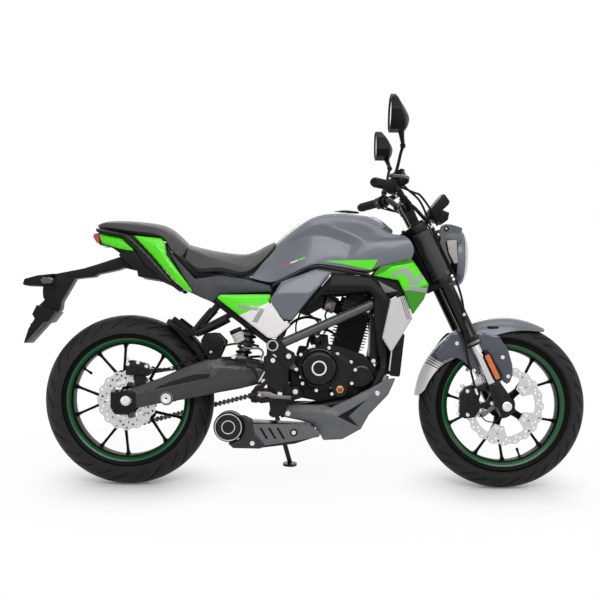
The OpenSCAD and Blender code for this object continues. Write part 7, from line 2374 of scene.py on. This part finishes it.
class BIKE_OT_bars(bpy.types.Operator):
    """Builds the handlebar, grips, levers and switches"""
    bl_idname = "street_bike.bars"
    bl_label = "Bars"

    def execute(self, context):
        make_bars()
        make_mirrors()
        return {"FINISHED"}


class BIKE_OT_lamp(bpy.types.Operator):
    """Builds the head lamp, its ring and the dash"""
    bl_idname = "street_bike.lamp"
    bl_label = "Lamp and dash"

    def execute(self, context):
        make_lamp()
        make_dash()
        return {"FINISHED"}


class BIKE_OT_mudguard(bpy.types.Operator):
    """Builds the front mudguard and its stays"""
    bl_idname = "street_bike.mudguard"
    bl_label = "Front mudguard"

    def execute(self, context):
        make_mudguard()
        return {"FINISHED"}


class BIKE_OT_brakes(bpy.types.Operator):
    """Builds both calipers, the hoses and the fluid cup"""
    bl_idname = "street_bike.brakes"
    bl_label = "Brakes"

    def execute(self, context):
        make_front_brake()
        make_rear_brake()
        return {"FINISHED"}


class BIKE_OT_swingarm(bpy.types.Operator):
    """Builds the swingarm, spools and guards"""
    bl_idname = "street_bike.swingarm"
    bl_label = "Swingarm"

    def execute(self, context):
        make_swingarm()
        return {"FINISHED"}


class BIKE_OT_rests(bpy.types.Operator):
    """Builds the footrests, pedals and pillion pegs"""
    bl_idname = "street_bike.rests"
    bl_label = "Footrests"

    def execute(self, context):
        make_rests()
        return {"FINISHED"}


class BIKE_OT_frame(bpy.types.Operator):
    """Builds the side tubes, webs, loom and shock"""
    bl_idname = "street_bike.frame"
    bl_label = "Frame details"

    def execute(self, context):
        make_frame()
        return {"FINISHED"}


class BIKE_OT_plate_arm(bpy.types.Operator):
    """Builds the plate arm and turn lamps"""
    bl_idname = "street_bike.plate_arm"
    bl_label = "Plate arm"

    def execute(self, context):
        make_plate_arm()
        return {"FINISHED"}


class BIKE_OT_radiator(bpy.types.Operator):
    """Builds the radiator with its fins and hoses"""
    bl_idname = "street_bike.radiator"
    bl_label = "Radiator"

    def execute(self, context):
        make_radiator(context.scene.bike_sizes)
        return {"FINISHED"}


class BIKE_OT_bolts(bpy.types.Operator):
    """Sets the bolt heads noted by the other steps"""
    bl_idname = "street_bike.bolts"
    bl_label = "Bolts"

    def execute(self, context):
        make_bolts(context.scene.bike_sizes)
        return {"FINISHED"}


STEPS = (BIKE_OT_stage, BIKE_OT_tank, BIKE_OT_panels, BIKE_OT_seats, BIKE_OT_tail, BIKE_OT_wheels, BIKE_OT_drive,
         BIKE_OT_engine, BIKE_OT_exhaust, BIKE_OT_fork, BIKE_OT_bars, BIKE_OT_lamp, BIKE_OT_mudguard, BIKE_OT_brakes,
         BIKE_OT_swingarm, BIKE_OT_rests, BIKE_OT_frame, BIKE_OT_plate_arm, BIKE_OT_radiator, BIKE_OT_bolts)


class BIKE_PT_panel(bpy.types.Panel):
    bl_idname = "BIKE_PT_panel"
    bl_label = "Standard Motorcycle"
    bl_space_type = "VIEW_3D"
    bl_region_type = "UI"
    bl_category = "Motorcycle"

    def draw(self, context):
        for group in (context.scene.bike_colours, context.scene.bike_sizes):
            for key in group.__annotations__:
                self.layout.prop(group, key)
        for step in STEPS:
            self.layout.operator(step.bl_idname)


CLASSES = (BikeColours, BikeSizes, *STEPS, BIKE_PT_panel)


def register():
    for cls in CLASSES:
        bpy.utils.register_class(cls)
    bpy.types.Scene.bike_colours = PointerProperty(type=BikeColours)
    bpy.types.Scene.bike_sizes = PointerProperty(type=BikeSizes)


def unregister():
    del bpy.types.Scene.bike_sizes
    del bpy.types.Scene.bike_colours
    for cls in reversed(CLASSES):
        bpy.utils.unregister_class(cls)


def main():
    register()
    make_finishes(bpy.context.scene.bike_colours)
    for step in STEPS:
        group, name = step.bl_idname.split(".")
        getattr(getattr(bpy.ops, group), name)()
    dress_solids()


if __name__ == "__main__":
    main()
